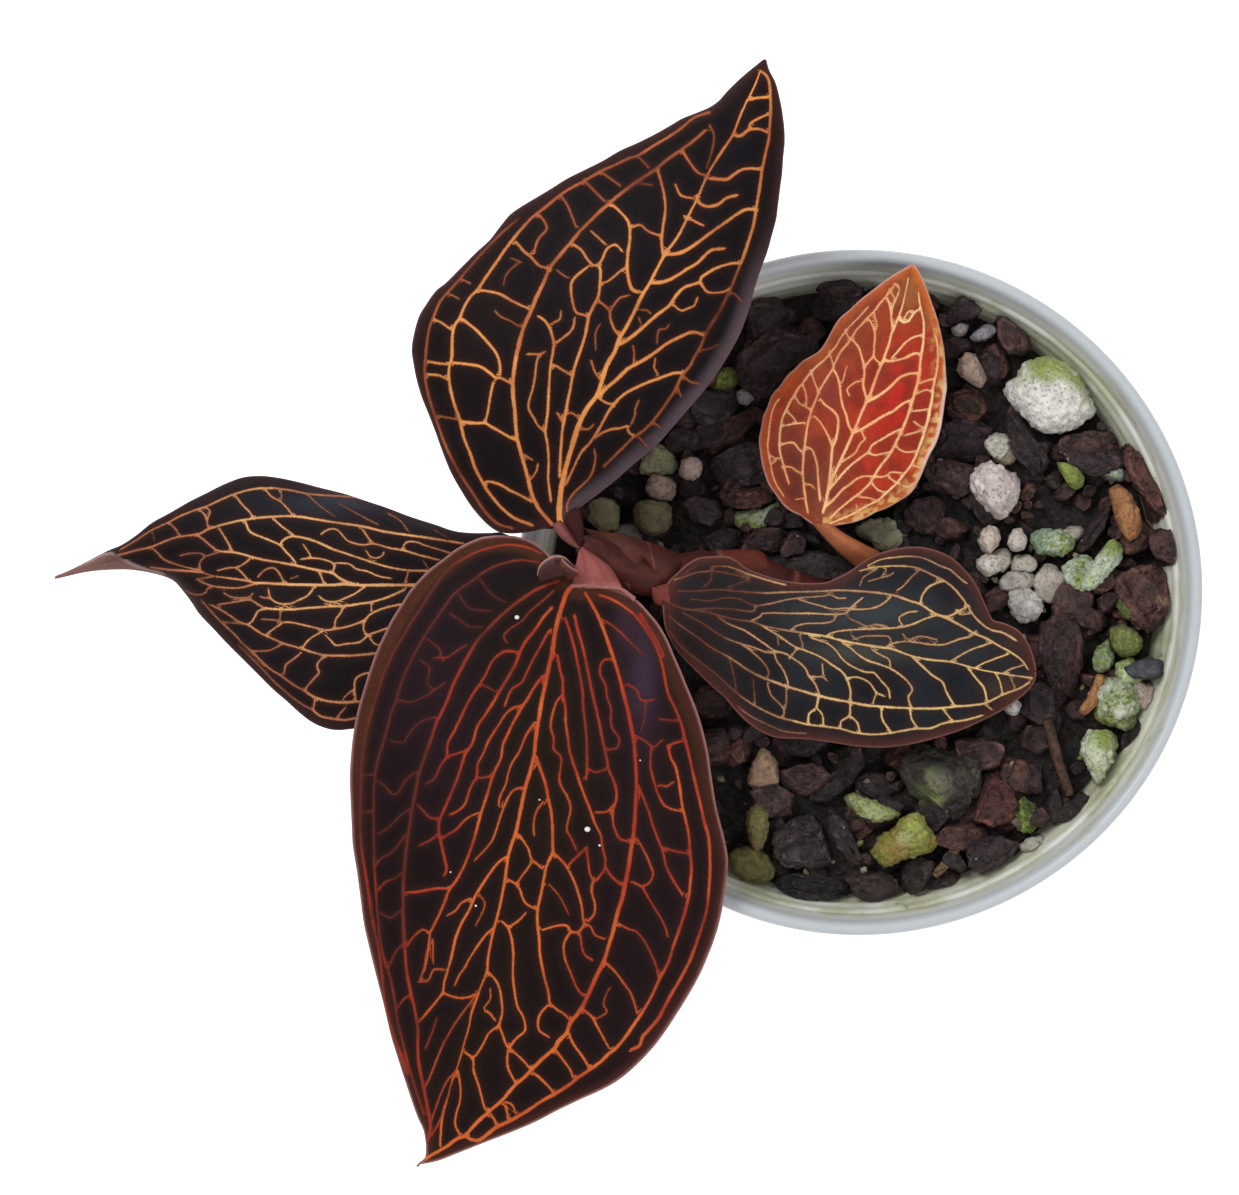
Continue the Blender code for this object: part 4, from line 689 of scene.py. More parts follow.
        (3, 2.6, 0.75, 0.95, "556,1049 563.5,1059 570.5,1068.6 573,1076"),
        (3, 2.6, 0.75, 0.95, "533,1071 542,1078.5 549,1085.5 553.6,1091"),
        (2.6, 2.4, 0.75, 0.9, "507,1101 512.7,1104 516,1112"),
        (2.6, 2.4, 0.75, 0.9, "505,1102 507.7,1111.5 508.5,1119"),
        (2.6, 2.4, 0.75, 0.9, "491,1113 495,1119 497,1125"),
        (3.6, 3, 0.5, 0.95, "565.7,619 570,632 574.6,648.5 577.5,663 580.5,678 582.7,693 583.4,707.5 585,722 586.4,737 587,752 587,766.5 586.4,778"),
        (4, 3, 0.5, 1, "574.6,616 577.5,629 582,644 585,657 588,672 591,687 595,704.5 599,722 602.6,740 606,755 608.5,769 613,779 616,789 616,799.5 613,810 613,822 616,832 620,838.6 629,841"),
        (2.8, 2.4, 0.5, 0.9, "613,805 607,811 596.7,812"),
        (3, 2.6, 0.5, 0.9, "611,659 604,660 600.4,666 600.4,675 605.5,685 607,697 611,709 610.7,721 613,729.6 619,738 617,747 608.5,749.5"),
        (3.6, 3, 0.55, 1, "557.6,656 560,669 563,681 563,694 565.7,707.5 565.7,722 568,737 570,752 576,770 582,788 586.4,799.5 591,811 595,823 601,835 602.6,847 605.5,858.5 605.5,866 611,875 620,883.6"),
        (2.8, 2.4, 0.55, 0.9, "605.5,866 601.8,873"),
        (3, 2.6, 0.55, 0.95, "563,694 557,701.6 553,713 551,726.6 554,738 554,749 561,756 561,766.5 559.5,776 561,785 567,795 571,807 568.7,819 567,829 571.6,838 576,848"),
        (2.6, 2.4, 0.5, 0.85, "588,768 595,772 604,769.5"),
        (2.8, 2.4, 0.3, 0.8, "601,619 608.5,623 620,632 630.6,642.6 642,654"),
        (2.8, 2.4, 0.35, 0.8, "627.7,684 636.5,690 641,700 653,700"),
        (2.8, 2.4, 0.45, 0.85, "635,735.5 645,741 653,747 661.6,740"),
        (2.8, 2.4, 0.5, 0.85, "651,746 650,766.5 653,781"),
        (2.4, 2.2, 0.35, 0.8, "660,719 678,721"),
        (2, 2, 0.3, 0.6, "645,703 644,719 641,729.6"),
        (4.5, 4, 0.55, 0.8, "640,614 650,630 657,642 663,655"),
    ],
    "leaf_left": [
        (6, 5, 0.95, 1, "440,585 418.7,585 389,585 362.7,585 345,584 333,585 313,585 291,584.5 270,583.5 255,583"),
        (4.4, 2.2, 0.7, 1, "255,583 245,580 230,578 215,576 203,573 185,571 170,569 152,566"),
        (3.6, 3.4, 0.75, 1, "463,544 439,540 411,536 384,532 363,527 336,523 312,519 294,516.6 273,517 252,519 231,523 210,529 200,534 180,537 167,541 152,547 140,549.5 119,555"),
        (2.4, 3, 0.5, 0.8, "440,516 420,509 395,502 370,499 345,497 327,496 309,494.6 291,491 273,488.6"),
        (3.4, 2.4, 0.7, 1, "273,488.6 255,489.5 237,494 222,500 207,507 195,511 180,517 169,523 152,531 140,539 122,550"),
        (2, 2, 0.4, 0.6, "154,532 155,540"),
        (2.8, 2.4, 0.6, 0.95, "170,523 177,530 180,536"),
        (2.8, 2.4, 0.65, 0.95, "200,510 206,516 209,528"),
        (2.4, 2.2, 0.6, 0.9, "207,507 211,512 209,518 208,522"),
        (2.8, 2.8, 0.65, 0.95, "236,496 243,505 250,512 254,518"),
        (2.6, 2.8, 0.6, 0.95, "266,490 272,497 281,502 287,508 293,515"),
        (2.2, 2, 0.5, 0.8, "281,490 282,497 281,502"),
        (3, 2.8, 0.75, 1, "275,520 283,527 290,532 296,537"),
        (3.4, 3.2, 0.8, 1, "246,522 251,532 262,537 272,541 281,545"),
        (3.6, 3.2, 0.85, 1, "281,545 284,540 290,537 296,536.5 308,539 320,543 333,549 345,553 360,558 374.5,563 389,567 407,570 429,570.6"),
        (3.2, 2.8, 0.8, 1, "281,545 286,551 291,556 296,562"),
        (2.8, 2.8, 0.7, 0.95, "221,530 226,538 230,545 233,551"),
        (3, 4, 0.8, 1, "198,535 206,541 213,547 220,551 233,552 243,554 253,557 266,560 285,563 300,566 318,570 333,573 340,578 350,582.5 362,585"),
        (2.4, 2.4, 0.55, 0.9, "182,555 192,553 203,553.5 206,556 220,552"),
        (2.4, 2.2, 0.55, 0.9, "206,556 201,562 201,569"),
        (2.8, 2.2, 0.65, 0.95, "252,557 247,562 238,567 230,567.5 219,570"),
        (2.8, 2.8, 0.7, 0.95, "238,568 243,573 250,581"),
        (2.4, 2.8, 0.7, 0.95, "259,576 264,571 270,568 276,568.5 281,575 285,583"),
        (2.8, 2.8, 0.6, 0.95, "152,547 158,552 165,559 175,563 185,566.5 200,570 203,573"),
        (2.2, 2, 0.35, 0.7, "198,579 212,577.5 220,576.5"),
        (2.2, 3, 0.55, 0.9, "200,581 213,586 228,588 240,588 250,586 257,584"),
        (2.2, 2, 0.4, 0.8, "213,587 208,589 207,592 202,594 195,593.5 188,590"),
        (2.2, 2.2, 0.45, 0.8, "225,593 232,597 242,598 250,597 253,594.5"),
        (2.4, 2.8, 0.5, 0.85, "220,604 235,602 250,600 258,604 265,608"),
        (3.4, 3.6, 0.8, 1, "265,608 275,609 291,609.5 310,608 333,606.5 345,606 360,604 374.5,601.5 389,597 404,590.5"),
        (3.2, 2.4, 0.7, 0.95, "265,609 259,611 256,616 253,621 249,623.5"),
        (2.2, 2, 0.5, 0.8, "261,597 270,599"),
        (2.6, 3.2, 0.7, 1, "269,590 271,598 278,603 290,604 300,600 308,596 313,590 316,586"),
        (2, 2, 0.4, 0.6, "281,609 281,618"),
        (2.4, 3.6, 0.65, 1, "267,634 274,629 280,625 286,622 300,624 313,627 326,630 335,629 350,626 365,620 371,614 385,608 401,604.5"),
        (2.8, 2.6, 0.7, 0.95, "326,630 318,634 309,640 304,646 301,648"),
        (2.8, 2.8, 0.75, 0.95, "345,606 341,613 336,620 335,628"),
        (2.4, 3.6, 0.6, 0.95, "212,604 225,611 240,621 250,625 262,633 275,639 284,643 301,648 313,652 326,655 345,655.5 360,655 378,653"),
        (2.4, 2.2, 0.5, 0.85, "284,643 277,647 270,650 262,650.5 253,650.5"),
        (2.6, 2.4, 0.6, 0.95, "301,653 294,659 287,664 286,668 285,672"),
        (3, 2.6, 0.7, 1, "326,656 319,662 318,668 320,672 315,678 308,686 306,690"),
        (2, 3.4, 0.55, 0.9, "203,600 212,610 222,621 234,632 244,643 253,651 262,660 272,669 282,675 294,684 305,690"),
        (3.6, 4.4, 0.8, 1, "305,690 316,697 330,701 345,702 360,701"),
        (2, 3, 0.4, 0.8, "240,645 250,655 263,668 274,680 285,690 300,702 314,710"),
        (3.2, 3.8, 0.8, 1, "314,710 322,716 336,718.5 345,719.5 355,718"),
        (2.6, 2.4, 0.65, 0.95, "316,698 315,704 314,709"),
        (2.6, 2.4, 0.7, 0.95, "345,708 340,714 338,718"),
        (2, 2, 0.4, 0.7, "220,620 232,622 247,624"),
        (2.2, 2, 0.45, 0.7, "263,619 275,620 285,622"),
        (2.6, 3, 0.75, 1, "322,534 326,531 333,529 339,531 345,538 350,542 363,545 374.5,544 389,548 404,550.6 419,555 439,560"),
        (2.8, 2.8, 0.7, 1, "363,530 370,540 374.5,544"),
        (2, 2, 0.3, 0.6, "309,496 316,503 325,510 335,517"),
        (2, 2, 0.3, 0.6, "339,504 355,513 370,521 378,525"),
        (2, 2, 0.3, 0.6, "388,514 400,521 408,531"),
        (2, 2, 0.3, 0.5, "435,531 448,538"),
        (2.4, 2.8, 0.7, 0.95, "302,559 312,558 322,559 332,562 335,566 333,572"),
        (2.4, 2.4, 0.65, 0.95, "304,545 309,552 312,558"),
        (2.4, 2.6, 0.75, 1, "336,563 342,563 350,564 357,569 367,571 379,576 391,578"),
        (2.6, 2.6, 0.75, 0.95, "320,573 323,579 325,584"),
        (2, 2, 0.35, 0.5, "292,578 298,576"),
        (2.4, 3, 0.75, 1, "320,597 326,601 335,602 345,598.6 355,594 364,588"),
        (2.4, 3, 0.75, 1, "327,636 331,640 336,645 345,644 360,642 368.6,635 377,632 391,627"),
        (2.4, 2.2, 0.7, 0.9, "371.5,602 372,610"),
        (2.6, 2.4, 0.7, 0.95, "365,620 364,630 369,636 374.5,643.5 380,645"),
        (3.6, 3, 0.85, 1, "372,672 363,674 356,679 355,689 356,700"),
        (3, 2.2, 0.7, 0.95, "355,689 350,692 345,696.6"),
        (2.4, 2.6, 0.7, 0.95, "402.5,549 407,542.5 417,542.5 424.6,545.5 436,549 450,553"),
        (2.6, 2.4, 0.7, 0.95, "367,551 370,556 376,558 382,556 384,553"),
        (2.6, 2.6, 0.7, 0.95, "408,574 405.5,581.6"),
        (2, 2, 0.3, 0.5, "424,562 430,570"),
    ],
    "leaf_right": [
        (2.6, 4.4, 0.35, 0.9, "663,598 668,602 680,608 700,611 717.6,614.6 735,619 750,621 765,626 783,629.5 804,633"),
        (4.6, 3.2, 0.85, 1, "804,633 824,636 840,640 860,644 880,647 893,649 910,655.5 930,659.6 950,661.6 967.6,666.5 983.5,670.5 1003,673.5 1019,676.5 1031,678"),
        (2.2, 3.8, 0.6, 1, "860,571 872,568 885,566.5 900,566 912,567 922,570 934,576 944,581 954,589 961.6,598 967.6,607 973.5,616 981.5,624 991,630 1003,633 1015,640"),
        (2, 2.6, 0.5, 0.9, "868,566 880,560 895,557.5 912,556.5 925,559 940,566 950,570 960,579 965.6,583"),
        (2.2, 4, 0.4, 0.9, "678,591 697,591 719,589.5 735,591 750,592 765,593 780,592.5 800,592 820,591.5 840,590.5 855,591 870,592 880,593 892,595 900,597"),
        (4, 3, 0.7, 1, "900,597 910,601 920,604 934,613 946,618 960,625 973.5,633 987,639 999,646 1011,652.6 1021,660 1027,668.5"),
        (3.6, 3.2, 0.8, 1, "920,603 922,595 928,587 936,583 944,581"),
        (2.4, 3.4, 0.7, 1, "825,636 833,632 845,630 860,629 875,628.5 888,628 900,627 912,624 926,618 938,615 948,616 958,611 967.6,606"),
        (3, 2.6, 0.7, 1, "956.6,610 960,614 971.5,613"),
        (2.4, 2.6, 0.6, 0.95, "916,611 908,612 900,616 899,620 903,626"),
        (2.2, 2.2, 0.5, 0.8, "903,634 908,639 920,636 936,639"),
        (3, 2.6, 0.6, 0.95, "887,646 893,643 905,641 916,642 930,644 944,644 958,639 970,636 975,631"),
        (3, 2.6, 0.7, 1, "950,661 960,655 971.5,649 983.5,645 993,642"),
        (2.8, 2.4, 0.75, 1, "973.5,668.5 981.5,663.6 993,659 1007,654"),
        (2.4, 2, 0.65, 0.9, "1003,672.5 1011,668.5 1021,665.5"),
        (3.4, 3, 0.75, 1, "912,657.6 922,666.5 932,675.5 942,682 946,692 953.7,705"),
        (3, 2.8, 0.75, 1, "967.6,668.5 975.5,678.5 983.5,688 986.4,700"),
        (2.8, 2.6, 0.75, 1, "995,673.5 999.4,682 1002,694"),
        (2.4, 2, 0.6, 0.8, "1009,675.5 1015,689"),
        (2.2, 4.2, 0.5, 0.95, "669,616 680,625 697,637 712,648 730,658 748,670 764,678 789,687 803,691"),
        (4, 3.2, 0.75, 1, "803,691 819,695.5 834,699 850,702 865.6,705 878,706 891.5,707 907,707.6 921,708 940,707.8 955.6,706 970,705 983.5,703 995,698 1003,694 1019,688 1029,682"),
        (2.6, 2.2, 0.6, 0.9, "983.5,703 991,709"),
        (2, 3, 0.4, 0.85, "670,631 679,644 690,654 702,663 715,673 727,684 737,693 748,701 756,706 768,712 780,717 792,720"),
        (3, 3.2, 0.75, 1, "792,720 806,723.5 825,726 840,728 850,731 859,732.7 872.5,734 888,732.7 903.6,730 917,728 930,727.7 942,723 954,721 967.6,719 981.5,715"),
        (2, 2, 0.25, 0.6, "738,706 744,711 753,717 765,723 774,727 785,731 805,733"),
        (2, 2, 0.25, 0.6, "668,628 675,648 685,661 697,672 709,684 724,696"),
        (2.6, 3.2, 0.7, 1, "842,643 850,648 857,654 866,660 878,664 889,668 900,675 908,682 912,690 908,697 911,707"),
        (2.4, 2.6, 0.65, 0.95, "872,650 880,655 888,659 890,665 889,668"),
        (2.4, 3.2, 0.65, 1, "762,626 770,631 780,637 790,644 797,648 806,651 820,657 832,665 842,672 847,680 850,690 850,701.5"),
        (2.4, 2.2, 0.55, 0.9, "797,648 792,655 789,658"),
        (2, 2, 0.3, 0.6, "777,636 778,645"),
        (2, 2, 0.3, 0.7, "799,634 801,641 803,646"),
        (2.6, 3, 0.7, 1, "847,678 857,677 869,682.5 876,692 883,695.5"),
        (2.4, 2.2, 0.6, 0.9, "876,693 873,701"),
        (2.4, 3, 0.65, 1, "811,638 820,641 828,644 835,650 842,659 848,664 855,668 865,672 874,673 881,681 888,689 889.5,697"),
        (2.6, 3, 0.6, 1, "717,617 728,624 745,631 760,641 770,648 775,651 786,654 792,658 801,664 806,670 808,675 815,684 819,694"),
        (2.6, 2.4, 0.6, 0.95, "808.5,676 822,676 822,665"),
        (2.4, 2.2, 0.55, 0.9, "822,676 826.6,680"),
        (2.4, 2.4, 0.45, 0.9, "683,613 700,622 716,633 725,638 735,642 745,645 755,648 765,652 774,653"),
        (2.4, 2.2, 0.4, 0.85, "741,644 752,652 762,661 768,670 768,675"),
        (2.6, 2.4, 0.5, 0.95, "774,652 776,660 783,670 787,680 788,687"),
        (2.2, 2.2, 0.3, 0.75, "729,660 733,672 736,690"),
        (2.2, 2.2, 0.3, 0.75, "753,680 754,692 755,705"),
        (2.4, 2.4, 0.45, 0.9, "767,684 771,695 780,704 784,711 782,717"),
        (2.2, 2.2, 0.35, 0.8, "786,688 786,700 785,708"),
        (3, 2.6, 0.7, 1, "818,696 816,706.7 808.5,714 808.5,724"),
        (3, 2.6, 0.7, 1, "816,707 822,714 823,724"),
        (3.2, 2.8, 0.75, 1, "850,703 849,715 841,720.6 840,727.5"),
        (3, 2.8, 0.75, 1, "849,715 857,722 859.5,732"),
        (2.8, 2.8, 0.75, 1, "881,707.6 882,719 890,731"),
        (3, 2.8, 0.75, 1, "909.7,709 911.5,719 917,727"),
        (3, 2.8, 0.75, 1, "942.7,709 950,718 954,721"),
        (2.8, 2.8, 0.65, 1, "674,580 686.6,576 697,572.5 710,571 713,566.6 726.5,566.6 735,569 745,573 757,577 770,581 785,585"),
        (2.6, 2.2, 0.5, 0.9, "710,571 723.5,572.5 735,575 748,578"),
        (2.2, 2, 0.45, 0.8, "711.7,573 710,581 704,586.5"),
        (2, 2, 0.3, 0.7, "728,587 737,584 742,582 749,581.5"),
        (2, 2, 0.25, 0.6, "680,578 688,571 696,566"),
        (2.2, 2.2, 0.4, 0.85, "691,599 709,600.6 723.5,597.6 735,598 743,600 750,604 757,605"),
        (2.2, 2.4, 0.45, 0.9, "694,609 712,608 735,609 752,611 757,606 770,603.5 785,600 798,598 812,597 825,596 830,595 838,598 845,598"),
        (2.4, 2.4, 0.55, 0.95, "798,599 806,602 818,605 828,608 834,609 845,608 848,608"),
        (2.6, 3, 0.6, 0.95, "752,619.5 760,616 763,613 775,612.5 790,613 810,613 830,614 845,613 850,608 857,602 862,598"),
        (2.8, 2.6, 0.65, 0.95, "850,609 862,609 872,608 880,605 886,601 890,597"),
        (2.2, 2.2, 0.4, 0.8, "845,614 851,619 858,622 866,626 875,624 883,625 888,627"),
        (2.4, 2.4, 0.5, 0.9, "791,629 797,625 808,623 820,623 832,621 836,616 840,613"),
        (2.2, 2.2, 0.5, 0.8, "851,635 856,638 863,636 875,635.5 888,636 891,642"),
        (2.2, 2.4, 0.5, 0.9, "897,590 903,586 910,578 919,570"),
        (2, 2, 0.3, 0.7, "860,585 863,578 870,573 876,570"),
        (2, 2, 0.3, 0.7, "869,581 880,578 888,576 893,573"),
        (2, 2, 0.3, 0.6, "882,576 886,570"),
    ],
    "leaf_red": [
        (4.4, 4.6, 0.6, 0.9, "823,512 826,501 829,488 832,479 838,466 843,455 848,444 853,433 857,424 861,414 866,403 870,395 874,383 878,372 881,365"),
        (5, 2.2, 0.75, 0.95, "881,365 885,355 889,343 891,334 894,328 897,320 900,313 903,303 905,294 907,284 908,278"),
        (2.4, 4.4, 0.85, 1, "828,524 842,518 855,512 865,506 877,500 885,493 895,484 901,477 909,467 914,458 918,448 921,440 924,430 927,420 929,410 931,400 932,390"),
        (4, 2, 0.7, 0.85, "932,390 934,380 936,370 937,360 937,350 936,340 934,335"),
        (3, 4.4, 0.6, 1, "830,518 838,510 850,500 858,494 868,485 873,477 880,466 888,456 894,445 899,435 904,424 908,414 911,403 914,394 917,383 919,373"),
        (4.2, 2.4, 0.65, 1, "919,373 920,360 922,348 923,335 923,322 921,312 919,302 918,293"),
        (3.6, 2.4, 0.6, 0.95, "825,507 833,500 842,490 850,484 858,478 866,476 875,477 885,476 891,472 902,473"),
        (3.4, 3, 0.7, 1, "829,490 838,479 850,466 860,458 868,452 872,445 880,440 890,434 899,429.5"),
        (3.4, 2.6, 0.7, 1, "868,453 875,455 885,453 892,451"),
        (4.4, 3.4, 0.65, 1, "853,433 862,429 872,423 883,416 893,411 903,403 912,400"),
        (3, 2.8, 0.5, 0.85, "861,430 864,437 865,439 860,444 857,450 853,455 845,460 838,465"),
        (4.4, 3.4, 0.65, 1, "866,402 875,398 884,392 892,385 899,378 908,374 919,373"),
        (4.4, 3.2, 0.65, 1, "885,361 893,361 905,358 913,354 920,354"),
        (3.6, 3, 0.65, 1, "892,358 899,350 905,343 912,338 921,335"),
        (4.6, 2.6, 0.8, 1, "899,318 903,322 908,321 911,317 914,313 919,309"),
        (2.2, 2, 0.75, 0.9, "904,318 908,312 912,311 914,312"),
        (2.8, 2.4, 0.75, 0.8, "917,393 925,390 931,391"),
        (2.8, 2.4, 0.75, 0.8, "919,383 928,380 935,378"),
        (2.8, 2.4, 0.75, 0.8, "912,411 922,410 930,408"),
        (2.8, 2.4, 0.75, 0.8, "914,422 919,426 925,428"),
        (2.8, 2.4, 0.75, 0.7, "905,435 915,432 924,430"),
        (3.2, 2.6, 0.7, 0.9, "896,446 900,450 907,452 916,451"),
        (2.6, 2.2, 0.7, 0.9, "888,477 892,480 899,484"),
        (3, 2.6, 0.65, 0.95, "872,484 878,490 886,492"),
        (2.8, 2.4, 0.6, 0.9, "860,497 870,498 877,501"),
        (2.2, 2, 0.5, 0.7, "856,505 858,512"),
        (2.6, 2.2, 0.8, 0.8, "903,486 908,487 913,483 920,478"),
        (2.4, 2.2, 0.8, 0.8, "914,466 922,468"),
        (3.6, 3.4, 0.6, 0.9, "826,500 829,480 831,462 832,449 836,438 838,425 837,416 832,410 825,405 821,400"),
        (3, 2.4, 0.5, 0.85, "832,447 829,438 825,430 820,422 815,417"),
        (3.2, 3.2, 0.45, 0.85, "808,512 806,500 804,485 803,470 804,455 805,445 807,430 809,420 812,410 816,400 819,392 823,385 828,377 832,371 836,362 841,352 847,345 852,338 857,330 862,325 867,319 874,312 879,305 885,298 890,291 895,285"),
        (3.2, 2.8, 0.5, 0.85, "820,500 819,490 818,478 817,465 815,457 812,450 806,447"),
        (2.8, 3.6, 0.5, 0.85, "789,483 786,473 783,462 780,450 780,438 781,428 783,418 787,409 790,403 795,395 799,388"),
        (3.4, 2.2, 0.55, 0.85, "799,388 804,382 811,373 818,366 825,360 831,353 836,347 840,340 845,333 850,327 857,320 868,308"),
        (2.4, 2.8, 0.5, 0.8, "784,496 777,485 773,475 771,465 769,455 768,445 769,435 770,425 772,413 775,405 779,400"),
        (2.2, 2.2, 0.5, 0.8, "770,455 775,458 779,458"),
        (2.2, 2.2, 0.5, 0.7, "772,464 777,460"),
        (2.8, 2.8, 0.5, 0.9, "781,445 788,443 794,443 798,448 804,454"),
        (2.4, 2.4, 0.4, 0.8, "783,467 791,467 797,471 803,474"),
        (2.8, 2.6, 0.5, 0.9, "784,426 795,424 804,423"),
        (2.4, 2.4, 0.5, 0.8, "788,412 793,417 797,423"),
        (2.6, 2.6, 0.5, 0.85, "796,398 800,404 806,407 811,410"),
        (2.4, 2.4, 0.5, 0.8, "803,385 806,393 807,405"),
        (2.4, 2.4, 0.5, 0.8, "811,372 814,380 817,388 819,393"),
        (2.4, 2.4, 0.5, 0.8, "830,352 832,360 834,368"),
        (2.8, 3.6, 0.55, 0.95, "834,370 838,378 840,388 841,398 843,407 846,415 848,424 852,432"),
        (2.4, 2, 0.45, 0.8, "840,384 843,381 845,373 847,367"),
        (2.4, 2.4, 0.5, 0.8, "846,331 848,336 852,340"),
        (3, 3.8, 0.6, 0.95, "853,340 859,348 862,358 864,367 864,375 863,385 865,394 867,399"),
        (3.2, 2.6, 0.6, 0.95, "864,368 869,361 873,356 874,345 875,335 873,327 870,321 867,320"),
        (3, 3, 0.6, 0.95, "873,357 877,361 881,365"),
        (2.4, 2.4, 0.55, 0.9, "875,332 877,325 875,318 874,312"),
        (3, 2.4, 0.65, 0.95, "892,329 891,318 890,308 888,300 886,297"),
        (2.8, 2.4, 0.7, 0.95, "891,315 893,305 896,299 899,290 897,285 895,284"),
        (2.2, 2.2, 0.6, 0.85, "890,290 893,296 895,300"),
        (2.4, 2.2, 0.6, 0.85, "849,395 847,390 850,386 856,382 861,381"),
        (2.2, 2, 0.45, 0.7, "806,484 811,485 814,488"),
        (2, 2, 0.4, 0.6, "797,499 806,498"),
    ],
}

# ------------------------------------------------------------ leaf outlines
LEAVES = {}


def leaf(name, stalk=None, **spec):
    LEAVES[name] = spec


leaf("leaf_upper", warp=1.32, bulge=1.0,
     left=[(545, 527), (535, 530), (520, 532.5), (508, 533), (497, 531),
           (485, 522), (472, 507), (461, 490), (450, 470), (441, 447),
           (435, 430), (428, 412), (422, 397), (417, 380), (414, 365),
           (412, 350), (414, 335), (419, 317), (426, 305), (436, 291),
           (446, 283), (461, 268), (477, 252), (490, 240), (500, 227),
           (510, 215), (521, 207), (536, 198), (551, 189), (567, 179),
           (585, 170), (603, 161), (620, 151), (638, 143), (656, 134),
           (670, 126), (682, 119), (697, 113), (709, 108), (719, 101),
           (727, 92), (736, 83), (746, 74), (757, 65)],
     right=[(570, 530), (571, 515), (585, 503), (597, 494), (615, 480),
            (632, 465), (650, 450), (661, 440), (674, 425), (687, 410),
            (700, 395), (712, 380), (722, 365), (731, 350), (739, 335),
            (745, 320), (750, 305), (755, 286), (761, 268), (767, 252),
            (772, 234), (776, 219), (778, 204), (780, 188), (782, 173),
            (783, 158), (784.5, 142), (784, 127), (782, 111), (779.5, 98),
            (775.5, 83), (769, 70)],
     midrib=[(560, 526), (559, 512), (560, 500), (562, 480), (566, 465),
             (572, 445), (579, 425), (592, 397), (607, 370), (622, 337),
             (641, 294), (659, 268), (674, 242), (692, 209), (705, 181),
             (725.6, 151), (733, 138.5), (743.6, 111.5), (751, 92),
             (765, 60)],
     tip=(765, 60, 1.5, 0.5),
     z_mid=[(0, 10.4), (0.15, 12.5), (0.35, 18.5), (0.55, 22.0),
            (0.75, 21.5), (0.9, 18.5), (1, 16.0)],
     z_left=[(0, 9.6), (0.1, 9.0), (0.25, 10.0), (0.4, 13.0), (0.6, 16.5),
             (0.8, 17.5), (1, 16.0)],
     z_right=[(0, 9.8), (0.1, 10.0), (0.3, 13.5), (0.5, 16.5), (0.7, 18.5),
              (0.9, 17.5), (1, 16.0)],
     stalk=[(579, 549, 8.0, 0.9, 0.8), (570, 541, 9.2, 0.9, 0.75),
            (561, 532, 10.0, 0.9, 0.7), (559, 522, 10.8, 0.8, 0.6)])

leaf("leaf_lower", warp=1.5, bulge=1.0,
     left=[(562, 573), (550, 556), (535, 543), (519, 537), (504, 535.5),
           (491, 536), (478, 538.5), (458, 548), (442, 560), (430, 569),
           (419, 580), (409, 592), (401, 605), (392, 619), (385, 633),
           (378, 648), (373, 661), (368, 676), (363, 692), (358, 710),
           (354, 730), (351.5, 751), (350, 776), (350.8, 802), (352, 828),
           (353, 846), (357, 871), (360.5, 897), (364, 923), (369.5, 948),
           (376, 974), (384, 1005), (391, 1035), (399, 1061), (408, 1089),
           (417, 1115), (424.6, 1133), (426, 1156)],
     right=[(580, 586), (586, 585), (601, 587), (617, 590), (630, 596),
            (640, 603), (650, 614), (659, 625), (667, 639), (673, 653),
            (680, 669), (686, 684), (692.6, 699.5), (699, 717), (704, 735),
            (708, 753), (710.5, 771), (713, 787), (716, 805), (719.5, 820),
            (724.6, 840), (727.7, 858), (727, 876), (724.6, 894),
            (721, 915), (715.6, 935), (709, 953), (700, 974), (689, 994),
            (676, 1015), (660.5, 1038), (648, 1053), (632, 1069),
            (617, 1081), (601, 1090), (581, 1099), (558, 1110),
            (535, 1122), (509, 1133), (483, 1143), (458, 1153),
            (437, 1161)],
     midrib=[(572, 588), (565.6, 594), (560.5, 612), (557, 630), (553, 651),
             (548, 671), (543, 692), (539, 712), (535, 751), (527, 787),
             (519, 823), (510, 853), (501.5, 897), (492.6, 940),
             (484, 979), (473, 1012), (463, 1051), (450, 1089),
             (440, 1123), (430, 1151), (417, 1166)],
     tip=(417, 1166, -1.0, -1.2),
     z_mid=[(0, 9.6), (0.15, 9.4), (0.35, 9.0), (0.5, 7.5), (0.65, 4.0),
            (0.8, -1.5), (0.9, -6.0), (1, -11.0)],
     z_left=[(0, 9.4), (0.1, 8.4), (0.25, 7.2), (0.4, 5.2), (0.55, 2.6),
             (0.7, -1.4), (0.85, -6.0), (1, -11.0)],
     z_right=[(0, 9.4), (0.1, 8.6), (0.25, 7.0), (0.4, 5.4), (0.52, 3.8),
              (0.62, 1.6), (0.75, -1.6), (0.88, -6.0), (1, -11.0)],
     stalk=[(584, 551, 7.6, 0.9, 0.8), (588, 562, 8.6, 1.6, 0.9),
            (589, 575, 9.2, 2.3, 0.9), (584, 591, 9.3, 2.0, 0.7)])

